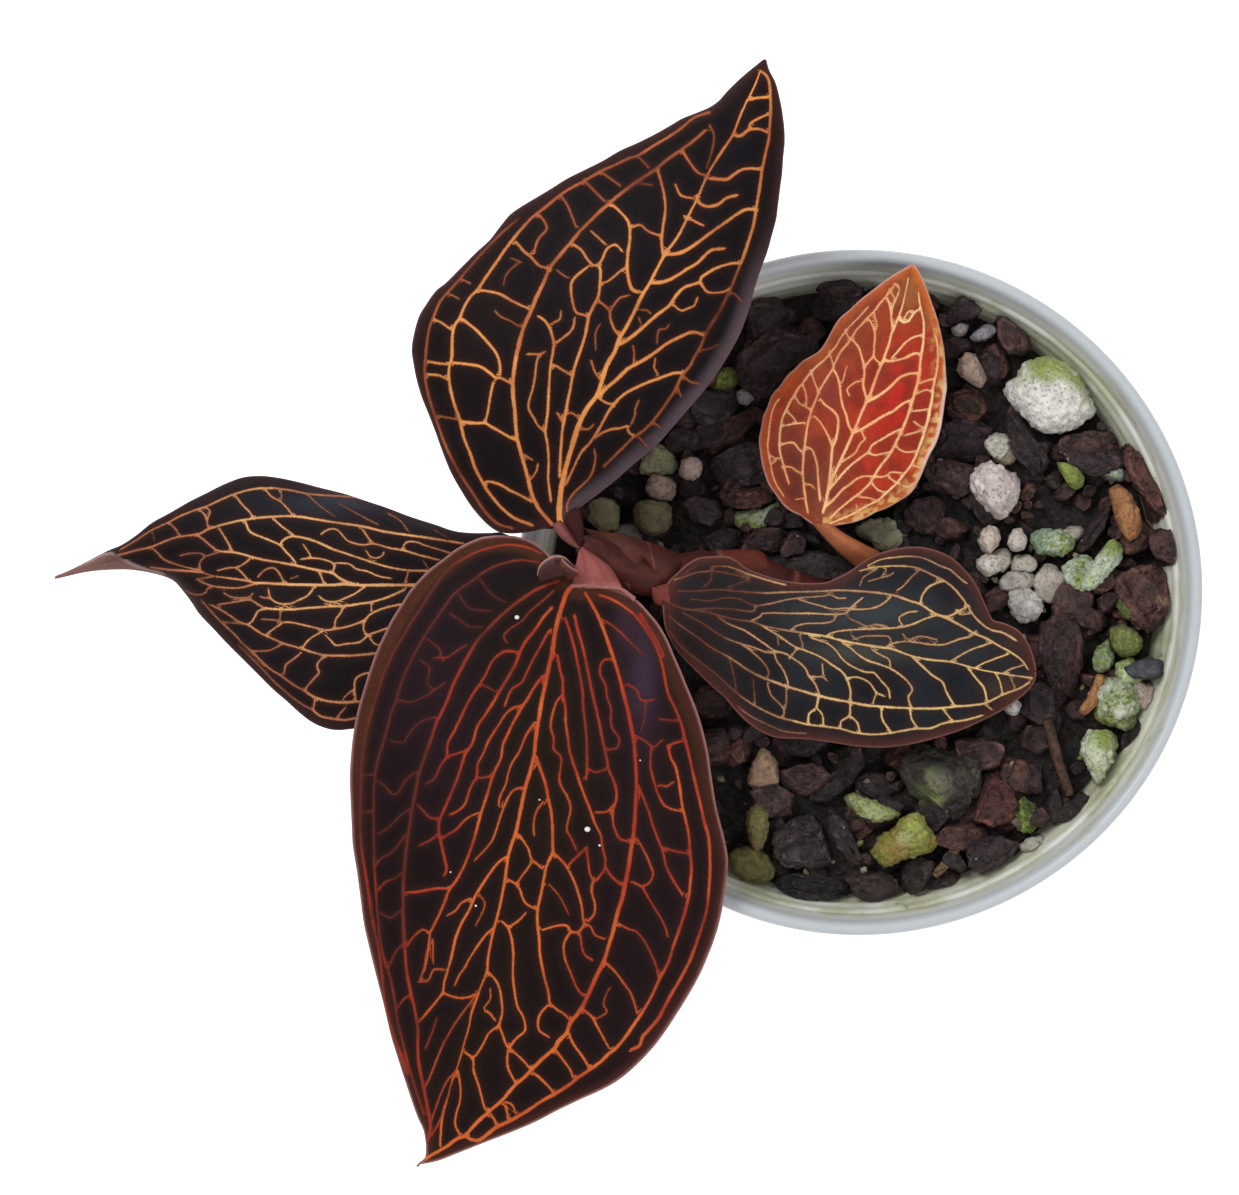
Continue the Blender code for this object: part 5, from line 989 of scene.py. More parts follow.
leaf("leaf_left", warp=1.2, bulge=0.9,
     left=[(540, 607), (536, 628), (510, 662), (470, 695), (430, 713),
           (390, 724), (351, 729), (336, 730), (324, 727.5), (312, 722),
           (300, 713), (288, 702), (273, 689), (258, 674), (243, 659),
           (228, 644), (214, 629), (200, 614), (192, 602), (183, 590),
           (173.5, 580), (158, 574), (134, 569.5), (116, 569), (98, 570),
           (83, 572), (68, 575.5)],
     right=[(541, 581), (535, 562), (520, 542), (502, 533), (490, 533),
            (472, 533), (454, 531), (436, 525), (411, 517), (387, 508),
            (366, 501), (345, 494), (321, 488), (300, 482.5), (279, 478),
            (261, 476), (243, 477.5), (225, 484), (207, 493), (189, 502),
            (170, 513), (152, 523), (137, 535), (122, 545), (110, 550),
            (100, 555), (83, 564), (68, 571.5)],
     midrib=[(545, 592), (490, 588), (450, 586), (419, 585), (390, 586),
             (369, 586), (333, 584), (291, 584), (255, 583), (219, 577),
             (183, 567), (154, 561), (137, 558), (115, 561), (95, 565),
             (75, 571), (55.5, 577.5)],
     tip=(55.5, 577.5, 0.4, -1.5),
     z_mid=[(0, 3.6), (0.12, 3.2), (0.3, 3.0), (0.5, 2.0), (0.7, -0.8),
            (0.85, -4.5), (1, -8.5)],
     z_left=[(0, 3.4), (0.1, 3.0), (0.25, 2.2), (0.4, 0.8), (0.6, -1.8),
             (0.8, -5.0), (1, -8.5)],
     z_right=[(0, 3.4), (0.1, 3.0), (0.25, 2.6), (0.4, 1.2), (0.6, -0.8),
              (0.8, -4.0), (1, -8.5)],
     stalk=[(596, 556, 4.2, 1.1, 0.9), (578, 570, 4.0, 1.1, 0.8),
            (560, 583, 3.8, 1.1, 0.7), (540, 592, 3.5, 1.0, 0.6)])

leaf("leaf_right", warp=1.15, bulge=0.7,
     left=[(663, 592), (669, 581), (678, 572), (688.5, 563),
           (699, 557.7), (711.5, 556.4), (727, 556.4), (737, 561),
           (747, 568.5), (760, 573.6), (773, 578), (786, 581), (804, 583),
           (824, 582.6), (834.6, 579), (850, 571), (863, 562), (878, 554),
           (893.6, 549), (911.5, 546.7), (927, 548), (942, 552.6),
           (955, 560), (965, 570), (974, 581), (982, 597), (988.5, 612),
           (993.6, 620), (1006, 623.6), (1019, 631), (1028, 643),
           (1033, 656)],
     right=[(663, 606), (665, 627), (673, 645), (686, 661), (699, 674),
            (711.5, 686), (724, 697), (734.6, 709.5), (747, 722),
            (763, 732.6), (778, 737.7), (804, 739), (829.5, 742),
            (855, 746), (881, 747.4), (906, 745), (932, 739), (958, 731),
            (981, 721), (999, 712), (1014, 702), (1027, 691.5),
            (1034.6, 681)],
     midrib=[(663, 598), (675.6, 604), (691, 608), (709, 613), (724, 618.5),
             (747, 622), (765, 626), (783, 630), (804, 632.6), (824, 635.6),
             (845, 641.5), (868, 646), (891, 650), (914, 657), (932, 661),
             (952.6, 663), (973, 668.5), (993.6, 673), (1011.5, 676.7),
             (1036, 672)],
     tip=(1036, 671, 0.0, 2.0),
     z_mid=[(0, 4.4), (0.15, 4.0), (0.4, 2.6), (0.7, 1.4), (1, -0.6)],
     z_left=[(0, 4.3), (0.15, 4.2), (0.3, 3.6), (0.45, 2.2), (0.6, 2.6),
             (0.8, 1.0), (1, -0.6)],
     z_right=[(0, 4.2), (0.2, 3.4), (0.4, 1.4), (0.6, 0.4), (0.8, -0.2),
              (1, -0.6)],
     stalk=[(655, 580, 2.4, 1.0, 0.8), (658, 592, 3.6, 1.0, 0.8),
            (668, 600, 4.2, 0.9, 0.6), (680, 605, 4.2, 0.8, 0.5)])

leaf("leaf_red", warp=1.35, bulge=0.6,
     left=[(814, 525), (806, 519.6), (800, 515), (791, 511), (783.5, 505),
           (776, 495), (769.5, 486), (765, 475), (762, 464), (760, 451),
           (759, 440), (761, 428.5), (763, 417), (767.7, 406), (772, 395),
           (780, 386), (787, 376), (794.6, 369), (802, 361.5),
           (809.5, 357), (819, 351), (825, 343), (830, 334), (835.5, 324),
           (841, 317), (850, 309.5), (860, 300), (869, 293), (878, 286),
           (886, 280), (895, 274), (904, 268.6)],
     right=[(830, 526), (843, 524), (854, 522), (865, 518), (876, 512),
            (887.6, 507.5), (899, 501), (910, 493.5), (917, 484),
            (923, 471), (929, 456), (936, 443), (940.6, 428.5),
            (943, 414), (945, 399), (946.7, 388), (946, 376),
            (945, 361.5), (944, 350), (942, 339), (939.6, 328),
            (936, 315), (932, 304), (927.5, 291), (923, 280), (918, 270)],
     midrib=[(822, 525), (822.5, 518), (823.4, 510), (826, 501), (829, 488),
             (832, 479), (837, 467.5), (843, 454.5), (848.5, 443),
             (853, 432), (858, 423), (861.5, 412), (867, 401), (872, 389),
             (876, 378), (884, 361.5), (890, 341), (897, 319),
             (905, 296.5), (912.7, 264.5)],
     tip=(912.7, 264.5, 1.2, 0.0),
     z_mid=[(0, 1.2), (0.2, 1.6), (0.5, 2.2), (0.8, 3.0), (1, 3.6)],
     z_left=[(0, 1.0), (0.2, 0.4), (0.5, 0.8), (0.8, 2.4), (1, 3.6)],
     z_right=[(0, 1.0), (0.2, 0.4), (0.5, 0.8), (0.8, 2.4), (1, 3.6)],
     stalk=[(882, 600, -7.2, 1.4, 1.3), (878, 584, -4.6, 1.35, 1.2),
            (864, 561, -2.2, 1.3, 1.15), (846, 545, -0.4, 1.25, 1.0),
            (826, 527, 1.0, 1.1, 0.7)])

# --------------------------------------------------------- chips of the mix
CHIPS = {
    # name: (kind, top above the rim plane, bottom, squareness, outline)
    "bark_01": ("bark", -5.5, 0.0, 0.55, [
        (751, 312), (775, 306), (791, 309), (793, 322), (784, 330),
        (770, 333), (757, 343), (751, 336)]),
    "bark_02": ("bark", -3.8, 0.0, 0.5, [
        (758, 345), (772, 335), (790, 333), (806, 340), (810, 352),
        (798, 362), (789, 375), (783, 388), (765, 394), (750, 388),
        (743, 372), (745, 357)]),
    "bark_03": ("bark", -5.0, 0.0, 0.6, [
        (699, 397), (716, 392), (733, 394), (736, 404), (727, 418),
        (712, 426), (699, 420), (694, 410)]),
    "bark_04": ("bark", -6.5, 0.0, 0.55, [
        (706, 440), (722, 426), (745, 411), (760, 405), (759, 414),
        (748, 428), (733, 442), (716, 451), (708, 448)]),
    "bark_05": ("bark", -5.5, 0.0, 0.55, [
        (667, 440), (680, 424), (691, 428), (699, 435), (697, 447),
        (685, 452), (673, 455), (666, 450)]),
    "bark_06": ("bark", -4.6, 0.0, 0.6, [
        (714, 462), (727, 454), (745, 446), (756, 448), (760, 460),
        (763, 474), (757, 482), (740, 483), (717, 477)]),
    "bark_07": ("bark", -4.2, 0.0, 0.5, [
        (721, 493), (740, 491), (764, 489), (771, 498), (760, 503),
        (740, 504), (727, 502)]),
    "bark_08": ("bark", -7.0, 0.0, 0.5, [
        (742, 535), (760, 530), (788, 531), (797, 538), (792, 546),
        (770, 549), (748, 546)]),
    "bark_09": ("bark", -4.5, 0.0, 0.55, [
        (951, 311), (958, 300), (965, 297), (972, 302), (978, 310),
        (974, 316), (962, 319), (952, 324), (947, 319)]),
    "bark_10": ("bark", -4.2, 0.0, 0.6, [
        (998, 320), (1008, 321), (1018, 330), (1026, 337), (1028, 348),
        (1020, 355), (1010, 349), (1001, 338)]),
    "bark_11": ("bark", -6.0, 0.0, 0.5, [
        (987, 348), (995, 346), (1004, 355), (1008, 367), (1003, 376),
        (996, 372), (990, 362)]),
    "bark_13": ("bark", -5.0, 0.0, 0.55, [
        (1010, 423), (1018, 420), (1029, 434), (1043, 453), (1051, 471),
        (1046, 484), (1034, 474), (1021, 456), (1012, 438)]),
    "bark_14": ("bark", -4.5, 0.0, 0.55, [
        (1062, 450), (1066, 439), (1090, 433), (1106, 434), (1118, 442),
        (1114, 450), (1098, 458), (1085, 460), (1069, 457)]),
    "bark_15": ("bark", -4.6, 1.5, 0.5, [
        (1129, 458), (1134, 448), (1143, 450), (1152, 472), (1160, 495),
        (1166, 512), (1160, 514), (1151, 502), (1141, 485), (1131, 470)]),
    "bark_16": ("bark", -5.5, 0.0, 0.6, [
        (909, 511), (918, 501), (934, 499), (946, 508), (944, 523),
        (933, 534), (919, 530), (909, 521)]),
    "bark_17": ("bark", -4.0, 0.0, 0.55, [
        (1078, 546), (1088, 529), (1099, 513), (1106, 509), (1108, 516),
        (1102, 529), (1093, 541), (1082, 551)]),
    "bark_18": ("bark", -2.6, 0.0, 0.6, [
        (1152, 536), (1165, 531), (1178, 529), (1186, 530), (1187, 544),
        (1181, 556), (1173, 561), (1161, 556), (1154, 547)]),
    "bark_19": ("bark", -3.4, 0.0, 0.6, [
        (1119, 582), (1132, 574), (1150, 570), (1166, 574), (1172, 583),
        (1167, 600), (1158, 620), (1149, 627), (1137, 618), (1122, 604)]),
    "bark_20": ("bark", -4.4, 0.0, 0.6, [
        (1044, 628), (1059, 624), (1074, 626), (1080, 643), (1077, 668),
        (1071, 688), (1061, 697), (1052, 688), (1045, 668), (1042, 645)]),
    "bark_21": ("bark", -5.5, 0.0, 0.55, [
        (1070, 601), (1080, 599), (1091, 608), (1101, 612), (1104, 621),
        (1096, 627), (1082, 621), (1074, 611)]),
    "bark_23": ("bark", -4.4, 0.0, 0.6, [
        (988, 779), (1000, 774), (1011, 788), (1015, 803), (1010, 818),
        (992, 822), (978, 817), (982, 800)]),
    "bark_24": ("bark", -3.6, 0.0, 0.6, [
        (908, 756), (931, 747), (957, 751), (972, 760), (974, 780),
        (968, 804), (956, 814), (937, 811), (920, 796), (906, 776)]),
    "bark_25": ("bark", -4.4, 0.0, 0.6, [
        (970, 850), (976, 840), (1000, 838), (1014, 845), (1010, 855),
        (998, 863), (983, 870), (972, 864)]),
    "bark_26": ("bark", -5.0, 0.0, 0.55, [
        (785, 773), (801, 766), (819, 768), (826, 777), (823, 787),
        (808, 792), (790, 786)]),
    "bark_27": ("bark", -4.6, 0.0, 0.6, [
        (779, 835), (791, 824), (811, 819), (819, 830), (826, 850),
        (828, 861), (812, 866), (788, 865), (777, 856)]),
    "bark_28": ("bark", -4.2, 0.0, 0.5, [
        (832, 812), (839, 815), (850, 833), (861, 857), (861, 866),
        (850, 866), (841, 849), (833, 830)]),
    "bark_29": ("bark", -5.6, 0.0, 0.5, [
        (780, 882), (792, 877), (816, 877), (841, 884), (850, 894),
        (830, 898), (800, 895), (787, 889)]),
    "bark_30": ("bark", -6.5, 0.0, 0.55, [
        (722, 752), (732, 740), (746, 738), (752, 747), (746, 759),
        (734, 765), (725, 761)]),
    "pumice_01": ("pumice", -2.6, 0.0, 0.75, [
        (1021, 377), (1028, 366), (1046, 361), (1064, 366), (1078, 378),
        (1085, 394), (1090, 409), (1081, 419), (1063, 428), (1041, 427),
        (1023, 412), (1010, 395), (1010, 385)]),
    "pumice_02": ("pumice", -3.0, 0.0, 0.75, [
        (972, 480), (978, 470), (991, 464), (1004, 471), (1014, 478),
        (1018, 488), (1013, 503), (1005, 515), (995, 515), (984, 503),
        (974, 491)]),
    "pumice_03": ("pumice", -4.0, 0.0, 0.75, [
        (961, 360), (965, 355), (971, 354), (979, 363), (984, 375),
        (982, 384), (975, 384), (963, 376), (959, 368)]),
    "pumice_04": ("pumice", -3.6, 0.0, 0.75, [
        (1058, 463), (1066, 463), (1077, 469), (1083, 478), (1081, 485),
        (1074, 488), (1065, 479)]),
    "pumice_05": ("pumice", -3.4, 0.0, 0.75, [
        (980, 540), (983, 530), (990, 526), (998, 530), (999, 538),
        (995, 547), (988, 552), (982, 547)]),
    "pumice_06": ("pumice", -3.6, 0.0, 0.75, [
        (1009, 540), (1013, 532), (1020, 530), (1026, 539), (1023, 548),
        (1013, 550), (1010, 546)]),
    "pumice_07": ("pumice", -3.0, 0.0, 0.75, [
        (1082, 578), (1090, 570), (1099, 556), (1106, 546), (1114, 543),
        (1119, 551), (1117, 563), (1107, 574), (1096, 585), (1086, 588),
        (1081, 586)]),
    "pumice_08": ("pumice", -3.4, 0.0, 0.75, [
        (1016, 605), (1022, 597), (1033, 599), (1041, 606), (1038, 615),
        (1028, 618), (1018, 615)]),
    "pumice_09": ("pumice", -3.8, 0.0, 0.75, [
        (1112, 630), (1121, 627), (1134, 632), (1140, 641), (1136, 651),
        (1125, 655), (1115, 649), (1112, 639)]),
    "pumice_10": ("pumice", -4.2, 0.0, 0.75, [
        (1125, 668), (1141, 660), (1157, 660), (1165, 665), (1161, 676),
        (1148, 679), (1131, 678)]),
    "pumice_11": ("pumice", -4.0, 0.0, 0.75, [
        (1083, 745), (1089, 735), (1104, 733), (1114, 741), (1112, 759),
        (1104, 775), (1098, 782), (1091, 771), (1085, 758)]),
    "pumice_12": ("pumice", -4.0, 0.0, 0.75, [
        (874, 850), (882, 838), (893, 830), (906, 817), (918, 817),
        (929, 832), (934, 845), (926, 853), (904, 857), (890, 864),
        (879, 859)]),
    "pumice_13": ("pumice", -4.4, 0.0, 0.75, [
        (847, 798), (854, 794), (870, 801), (888, 807), (896, 813),
        (891, 818), (876, 820), (859, 812)]),
    "pumice_14": ("pumice", -4.6, 0.0, 0.75, [
        (747, 820), (751, 809), (759, 806), (766, 814), (766, 831),
        (762, 846), (756, 850), (751, 842)]),
    "pumice_15": ("pumice", -4.6, 0.0, 0.75, [
        (636, 512), (638, 504), (650, 502), (665, 505), (670, 515),
        (666, 528), (655, 535), (643, 531), (637, 524)]),
    "pumice_16": ("pumice", -4.0, 0.0, 0.75, [
        (680, 470), (683, 461), (692, 458), (700, 461), (701, 471),
        (695, 479), (684, 478)]),
    "shell_tan_01": ("shell", -3.8, 0.0, 0.7, [
        (1111, 492), (1119, 488), (1128, 494), (1136, 507), (1140, 524),
        (1136, 535), (1128, 539), (1121, 528), (1115, 510)]),
    "shell_tan_02": ("shell", -5.0, 0.0, 0.7, [
        (1097, 675), (1104, 679), (1101, 694), (1094, 707), (1084, 714),
        (1080, 708), (1087, 698), (1093, 685)]),
}

# -------------------------------------------------------------- leaf building
def points_of(text):
    return [tuple(float(c) for c in p.split(",")) for p in text.split()]


def nearest(paths, U, V, reach):
    """Nearest drawn line at each point: offset, half width, place, row."""
    n = len(U)
    edge = np.full(n, 60.0)
    off = np.full(n, 60.0)
    dist = np.full(n, 60.0)
    hw = np.full(n, 1.0)
    which = np.full(n, -1)
    for row, (w0, w1, pts) in enumerate(paths):
        p = dense(pts, 4)
        wid = np.linspace(w0, w1, len(p)) * 0.5
        for a in range(0, len(p) - 1, 6):
            q = p[a:a + 7]
            wq = wid[a:a + 7]
            lo, hi = q.min(0) - reach, q.max(0) + reach
            idx = np.nonzero((U > lo[0]) & (U < hi[0]) & (V > lo[1])
                             & (V < hi[1]))[0]
            if not len(idx):
                continue
            x, y = U[idx], V[idx]
            for (s, e, ws, we) in zip(q[:-1], q[1:], wq[:-1], wq[1:]):
                d = e - s
                ln = d @ d
                if ln < 1e-9:
                    continue
                f = np.clip(((x - s[0]) * d[0] + (y - s[1]) * d[1]) / ln, 0, 1)
                gx, gy = x - s[0] - d[0] * f, y - s[1] - d[1] * f
                far = np.hypot(gx, gy)
                half = ws + (we - ws) * f
                e_here = far - half
                better = e_here < edge[idx]
                hit = idx[better]
                side = np.sign(d[0] * gy - d[1] * gx)[better]
                edge[hit] = e_here[better]
                dist[hit] = far[better]
                off[hit] = far[better] * np.where(side == 0, 1, side)
                hw[hit] = half[better]
                which[hit] = row
    return edge, off, dist, hw, which


def blobs(base, U, V, patches):
    """Soft colour regions over a base colour."""
    out = np.array(base, float)
    for (u, v, ru, rv, rgb, strength) in patches:
        f = np.exp(-((U - u) / ru) ** 2 - ((V - v) / rv) ** 2) * strength
        out = mix(out, lin(*rgb), np.clip(f, 0, 1))
    return out


def span(heap, left, right, heights, sides=20, rings=60, lam=(110, 55, 45),
         ridge=0.0, seed=1, paint=None, arch=1.0):
    """A fleshy stalk that fills the plan between two edges.

    heights: (share, height above the rim plane, half thickness) in mm.
    """
    L, R = Way(left), Way(right)
    t = np.linspace(0, 1, rings)
    a, b = L.at(t), R.at(t)
    ts, hs, ks = zip(*heights)
    h, k = np.interp(t, ts, hs), np.interp(t, ts, ks)
    ang = np.linspace(0, 2 * np.pi, sides, endpoint=False)
    c, s = np.cos(ang)[None, :], np.sin(ang)[None, :]
    f = 0.5 + 0.5 * c
    u = a[:, :1] + (b[:, :1] - a[:, :1]) * f
    v = a[:, 1:2] + (b[:, 1:2] - a[:, 1:2]) * f
    z = h[:, None] + k[:, None] * np.sign(s) * np.abs(s) ** arch
    T = np.broadcast_to(t[:, None], u.shape).ravel()
    F = f + 0 * u
    co = plan(u, v, z).reshape(-1, 3)
    if ridge:
        n = fbm(np.stack([F.ravel() * 9, T * 3, 0 * T + seed], -1), 3, seed)
        co[:, 2] += n * ridge * np.clip(s + 0 * u, 0, 1).ravel()
    cols = np.broadcast_to(lin(*lam), (len(co), 3)).copy()
    if paint is not None:
        cols = paint(u.ravel(), v.ravel(), T, F.ravel(), cols)
    base = len(co)
    caps = np.vstack([co[:sides].mean(0), co[-sides:].mean(0)])
    ring = np.arange(sides)
    t1 = np.stack([np.full(sides, base), np.roll(ring, -1), ring], -1)
    last = (rings - 1) * sides
    t2 = np.stack([np.full(sides, base + 1), last + ring,
                   last + np.roll(ring, -1)], -1)
    quads = tube_faces(rings, sides)
    tri = np.vstack([t1, t2])
    # face out: the plan's edges may come in either order
    p = np.vstack([co, caps])
    q = p[quads]
    mid = q.mean(1) - p[:base].mean(0)
    nrm = np.cross(q[:, 2] - q[:, 0], q[:, 3] - q[:, 1])
    up = nrm[:, 2] * np.sign(q.mean(1)[:, 2] - np.interp(
        np.repeat(np.arange(rings - 1), sides), np.arange(rings),
        co.reshape(rings, sides, 3)[:, :, 2].mean(1)))
    if up.sum() < 0:
        quads, tri = quads[:, ::-1], tri[:, ::-1]
    heap.add(p, quads, tri, c_lam=np.vstack([cols, cols[:1], cols[-1:]]),
             c_vein=lin(*lam), voff=60.0, vdist=60.0, vhw=1.0)
    return heap


LENGTH_PX = {"leaf_upper": (560, 330), "leaf_lower": (640, 380),
             "leaf_left": (500, 250), "leaf_right": (385, 195),
             "leaf_red": (275, 190)}


def make_leaf(name, material, spec, veins, paint, vein_paint, step,
              relief=0.12, halo=(60, 32, 22), halo_f=0.62, stalks=None,
              under=(110, 60, 70), slim=0.75, deep=0.6, specks=()):
    tip = spec["tip"]
    left = spec["left"] + [(tip[0] - tip[2], tip[1] - tip[3])]
    right = spec["right"] + [(tip[0] + tip[2], tip[1] + tip[3])]
    L, R = Way(left), Way(right)
    M = Way(spec["midrib"][:-1] + [(tip[0], tip[1])])
    rows = int(LENGTH_PX[name][0] / step / DETAIL / 2) * 2
    cols = int(LENGTH_PX[name][1] / step / DETAIL / 2) * 2
    t = np.linspace(0, 1, rows + 1)
    s = np.linspace(-1, 1, cols + 1)
    T, S = np.meshgrid(t, s, indexing="ij")
    T, S = T.ravel(), S.ravel()
    m = M.at(T ** spec["warp"])
    e = np.where((S < 0)[:, None], L.at(T), R.at(T))
    a = np.abs(S)
    uv = m + (e - m) * a[:, None]
    U, V = uv[:, 0], uv[:, 1]
    zm = soft_table(spec["z_mid"], T)
    ze = np.where(S < 0, soft_table(spec["z_left"], T),
                  soft_table(spec["z_right"], T))
    z = zm + (ze - zm) * a ** 1.4 + spec["bulge"] * np.sin(np.pi * T) \
        * np.sin(np.pi * a) * 0.9
    rim = [(0.6, 0.6, left), (0.6, 0.6, right)]
    md = nearest(rim, U, V, 34.0)[2]
    md = np.where(a > 0.9999, 0.0, md)
    paths = [(w0 * slim, w1 * slim, points_of(p))
             for (w0, w1, tint, st, p) in veins]
    edge, off, dist, hw, which = nearest(paths, U, V, 15.0)
    if len(veins):
        tints = np.array([v[2] for v in veins] + [0.0])
        stren = np.array([v[3] for v in veins] + [0.0])
    else:
        tints, stren = np.zeros(1), np.zeros(1)
    tint, st = tints[which], stren[which]
    q3 = np.stack([U / 34, V / 34, 0 * U + 2], -1)
    tint = tint + fbm(q3, 3, 61) * 0.45
    hw = hw * (1 + 0.30 * fbm(q3 * 3.1, 3, 62))
    st = st * (0.93 + 0.25 * np.clip(fbm(q3 * 1.7, 3, 63), -1, 0.25))
    # gentle quilting: the lamina stands a little between the veins
    drop = np.exp(-np.clip(edge, 0, 60) / 4.5) * st
    wave = fbm(np.stack([U / 46, V / 46, 0 * U], -1), 3, 5) * 0.22 \
        + fbm(np.stack([U / 9, V / 9, 0 * U], -1), 3, 9) * 0.035
    fade = ease(md / 10.0)
    z = z + (wave - relief * drop) * (0.25 + 0.75 * fade)
    P = plan(U, V, z)
    G = P.reshape(rows + 1, cols + 1, 3)
    dt = np.gradient(G, axis=0)
    ds = np.gradient(G, axis=1)
    N = np.cross(ds, dt).reshape(-1, 3)
    N /= np.maximum(np.linalg.norm(N, axis=1, keepdims=True), 1e-9)
    flip = N[:, 2].mean() < 0
    N = N * (-1 if flip else 1)
    bad = N[:, 2] < 0.15
    N[bad] = (0, 0, 1)
    half = 0.10 + 0.24 * np.sqrt(np.clip(md / 5.0, 0, 1))
    top = P + N * half[:, None]
    low = P - N * half[:, None]
    lam = paint(U, V, T, S, md)
    lam = lam * (deep + (1 - deep) * 0.9 * ease(1 - md / 15.0))[:, None]
    lam = mix(lam, lin(*halo), np.exp(-np.clip(edge, 0, 60) / 3.0) * st
              * halo_f)
    vc = vein_paint(tint, U, V)
    heap = Heap()
    q = grid_faces(rows + 1, cols + 1)
    heap.add(top, q[:, ::-1] if flip else q, c_lam=lam, c_vein=vc, voff=off,
             vdist=dist, vhw=hw, vstr=st)
    lowg = low.reshape(rows + 1, cols + 1, 3)[::2, ::2]
    r2, c2 = rows // 2 + 1, cols // 2 + 1
    base = len(top)
    ql = grid_faces(r2, c2, flip=True)
    heap.add(lowg.reshape(-1, 3), ql[:, ::-1] if flip else ql,
             c_lam=np.broadcast_to(lin(*under), (r2 * c2, 3)),
             c_vein=lin(*under), voff=60.0, vdist=60.0, vhw=1.0, vstr=0.0)
    i = np.arange
    c1, n1 = cols + 1, rows
    loop = np.concatenate([i(0, cols), i(0, rows) * c1 + cols,
                           rows * c1 + i(cols, 0, -1), i(rows, 0, -1) * c1])
    c3, n2 = c2, r2 - 1
    lo = np.concatenate([i(0, c2 - 1), i(0, n2) * c3 + c2 - 1,
                         n2 * c3 + i(c2 - 1, 0, -1), i(n2, 0, -1) * c3])
    t0, t1, t2 = loop[0::2], loop[1::2], np.roll(loop, -2)[0::2]
    b0, b1 = lo + base, np.roll(lo, -1) + base
    tri = np.vstack([np.stack([t1, t0, b0], -1), np.stack([t1, b0, b1], -1),
                     np.stack([t2, t1, b1], -1)])
    heap.tris.append(tri[:, ::-1] if flip else tri)
    for (pu, pv, pr) in specks:
        i = int(np.argmin((U - pu) ** 2 + (V - pv) ** 2))
        unit, tri = ico(2)
        grit = top[i] + N[i] * 0.12 + unit * [pr / UNITS, pr / UNITS * 0.9,
                                              0.22]
        heap.add(grit, None, tri, c_lam=lin(232, 228, 222),
                 c_vein=lin(232, 228, 222), voff=60.0, vdist=60.0, vhw=1.0,
                 vstr=0.0)
    if stalks:
        stalks(heap)
    ob = heap.object(name + "_leaf", material)
    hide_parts(name)
    return ob


# ----------------------------------------------------------- leaves' colours
def paint_upper(U, V, T, S, md):
    n = len(U)
    p = np.stack([U / 60, V / 60, 0 * U], -1)
    lam = mix(np.broadcast_to(lin(30, 23, 28), (n, 3)), lin(24, 18, 20),
              ease(fbm(p, 3, 3) * 0.9 + 0.5))
    lam = blobs(lam, U, V, [
        (600, 300, 90, 120, (38, 30, 40), 0.55),
        (520, 380, 40, 90, (42, 27, 30), 0.5),
        (470, 330, 40, 90, (50, 28, 30), 0.55),
        (740, 160, 30, 70, (30, 30, 40), 0.6),
        (560, 490, 30, 30, (44, 22, 22), 0.6)])
    band = ease(1 - md / 20.0) * np.where(S < 0, 0.75, 0.8)
    lam = mix(lam, lin(64, 36, 34), band)
    lam = mix(lam, lin(70, 44, 44), ease(1 - md / 4.0) * 0.5)
    # the right margin by the base turns down; its greyish mauve is a painted sheen of the turned-down surface
    fold = ease((V - 215) / 120) * ease((523 - V) / 12) * (S > 0) \
        * ease(1 - (md - 10) / 9.0)
    lam = mix(lam, lin(104, 88, 96), fold * 0.85)
    lam = mix(lam, lin(120, 96, 100), ease(1 - md / 2.2)
              * np.where(S > 0, 0.55, 0.35))
    return lam


def gold(tint, dull, mid, bright):
    t = np.clip(tint, 0, 1)[:, None]
    a, b, c = lin(*dull), lin(*mid), lin(*bright)
    return np.where(t < 0.5, a + (b - a) * t * 2, b + (c - b) * (t * 2 - 1))


def vein_upper(tint, U, V):
    f = np.clip(np.exp(-((U - 470) / 60) ** 2 - ((V - 350) / 110) ** 2)
                - 0.7 * np.exp(-((U - 620) / 110) ** 2 - ((V - 165) / 60)
                               ** 2), -1, 1)
    f = f - 0.3 * ease((U - 700) / 40) * ease((V - 230) / 60)
    return gold(tint + f * 0.35, (104, 46, 34), (176, 94, 56),
                (224, 146, 80))


def paint_lower(U, V, T, S, md):
    n = len(U)
    p = np.stack([U / 70, V / 70, 0 * U + 3], -1)
    lam = mix(np.broadcast_to(lin(42, 23, 28), (n, 3)), lin(34, 18, 21),
              ease(fbm(p, 3, 8) * 0.9 + 0.5))
    # the two mauve patches by the right margin (643,680 and 625,625) are a painted sheen on the fold; the rest are the
    # leaf's own tones
    lam = blobs(lam, U, V, [
        (520, 700, 60, 170, (32, 30, 18), 0.6),
        (590, 700, 34, 120, (36, 24, 26), 0.5),
        (430, 700, 60, 130, (52, 30, 44), 0.65),
        (643, 680, 15, 60, (104, 78, 108), 0.75),
        (625, 625, 12, 30, (96, 70, 88), 0.6),
        (660, 850, 60, 150, (50, 28, 34), 0.55),
        (470, 1050, 60, 70, (44, 26, 24), 0.5),
        (420, 1100, 30, 60, (52, 36, 28), 0.5),
        (541, 840, 6, 22, (52, 44, 52), 0.4)])
    band = ease(1 - md / 17.0)
    lam = mix(lam, lin(84, 40, 30), band * 0.85)
    lam = mix(lam, lin(122, 72, 34), np.exp(-((md - 12) / 5.0) ** 2)
              * ease((900 - V) / 200) * np.where(S > 0, 0.34, 0.55))
    lam = blobs(lam, U, V, [
        (560, 780, 34, 110, (44, 32, 12), 0.55),
        (520, 930, 36, 90, (38, 28, 13), 0.5),
        (470, 1060, 30, 60, (40, 26, 12), 0.5)])
    lam = mix(lam, lin(186, 136, 130), ease(1 - md / 3.6)
              * np.where(S > 0, 0.9, 0.75))
    return lam


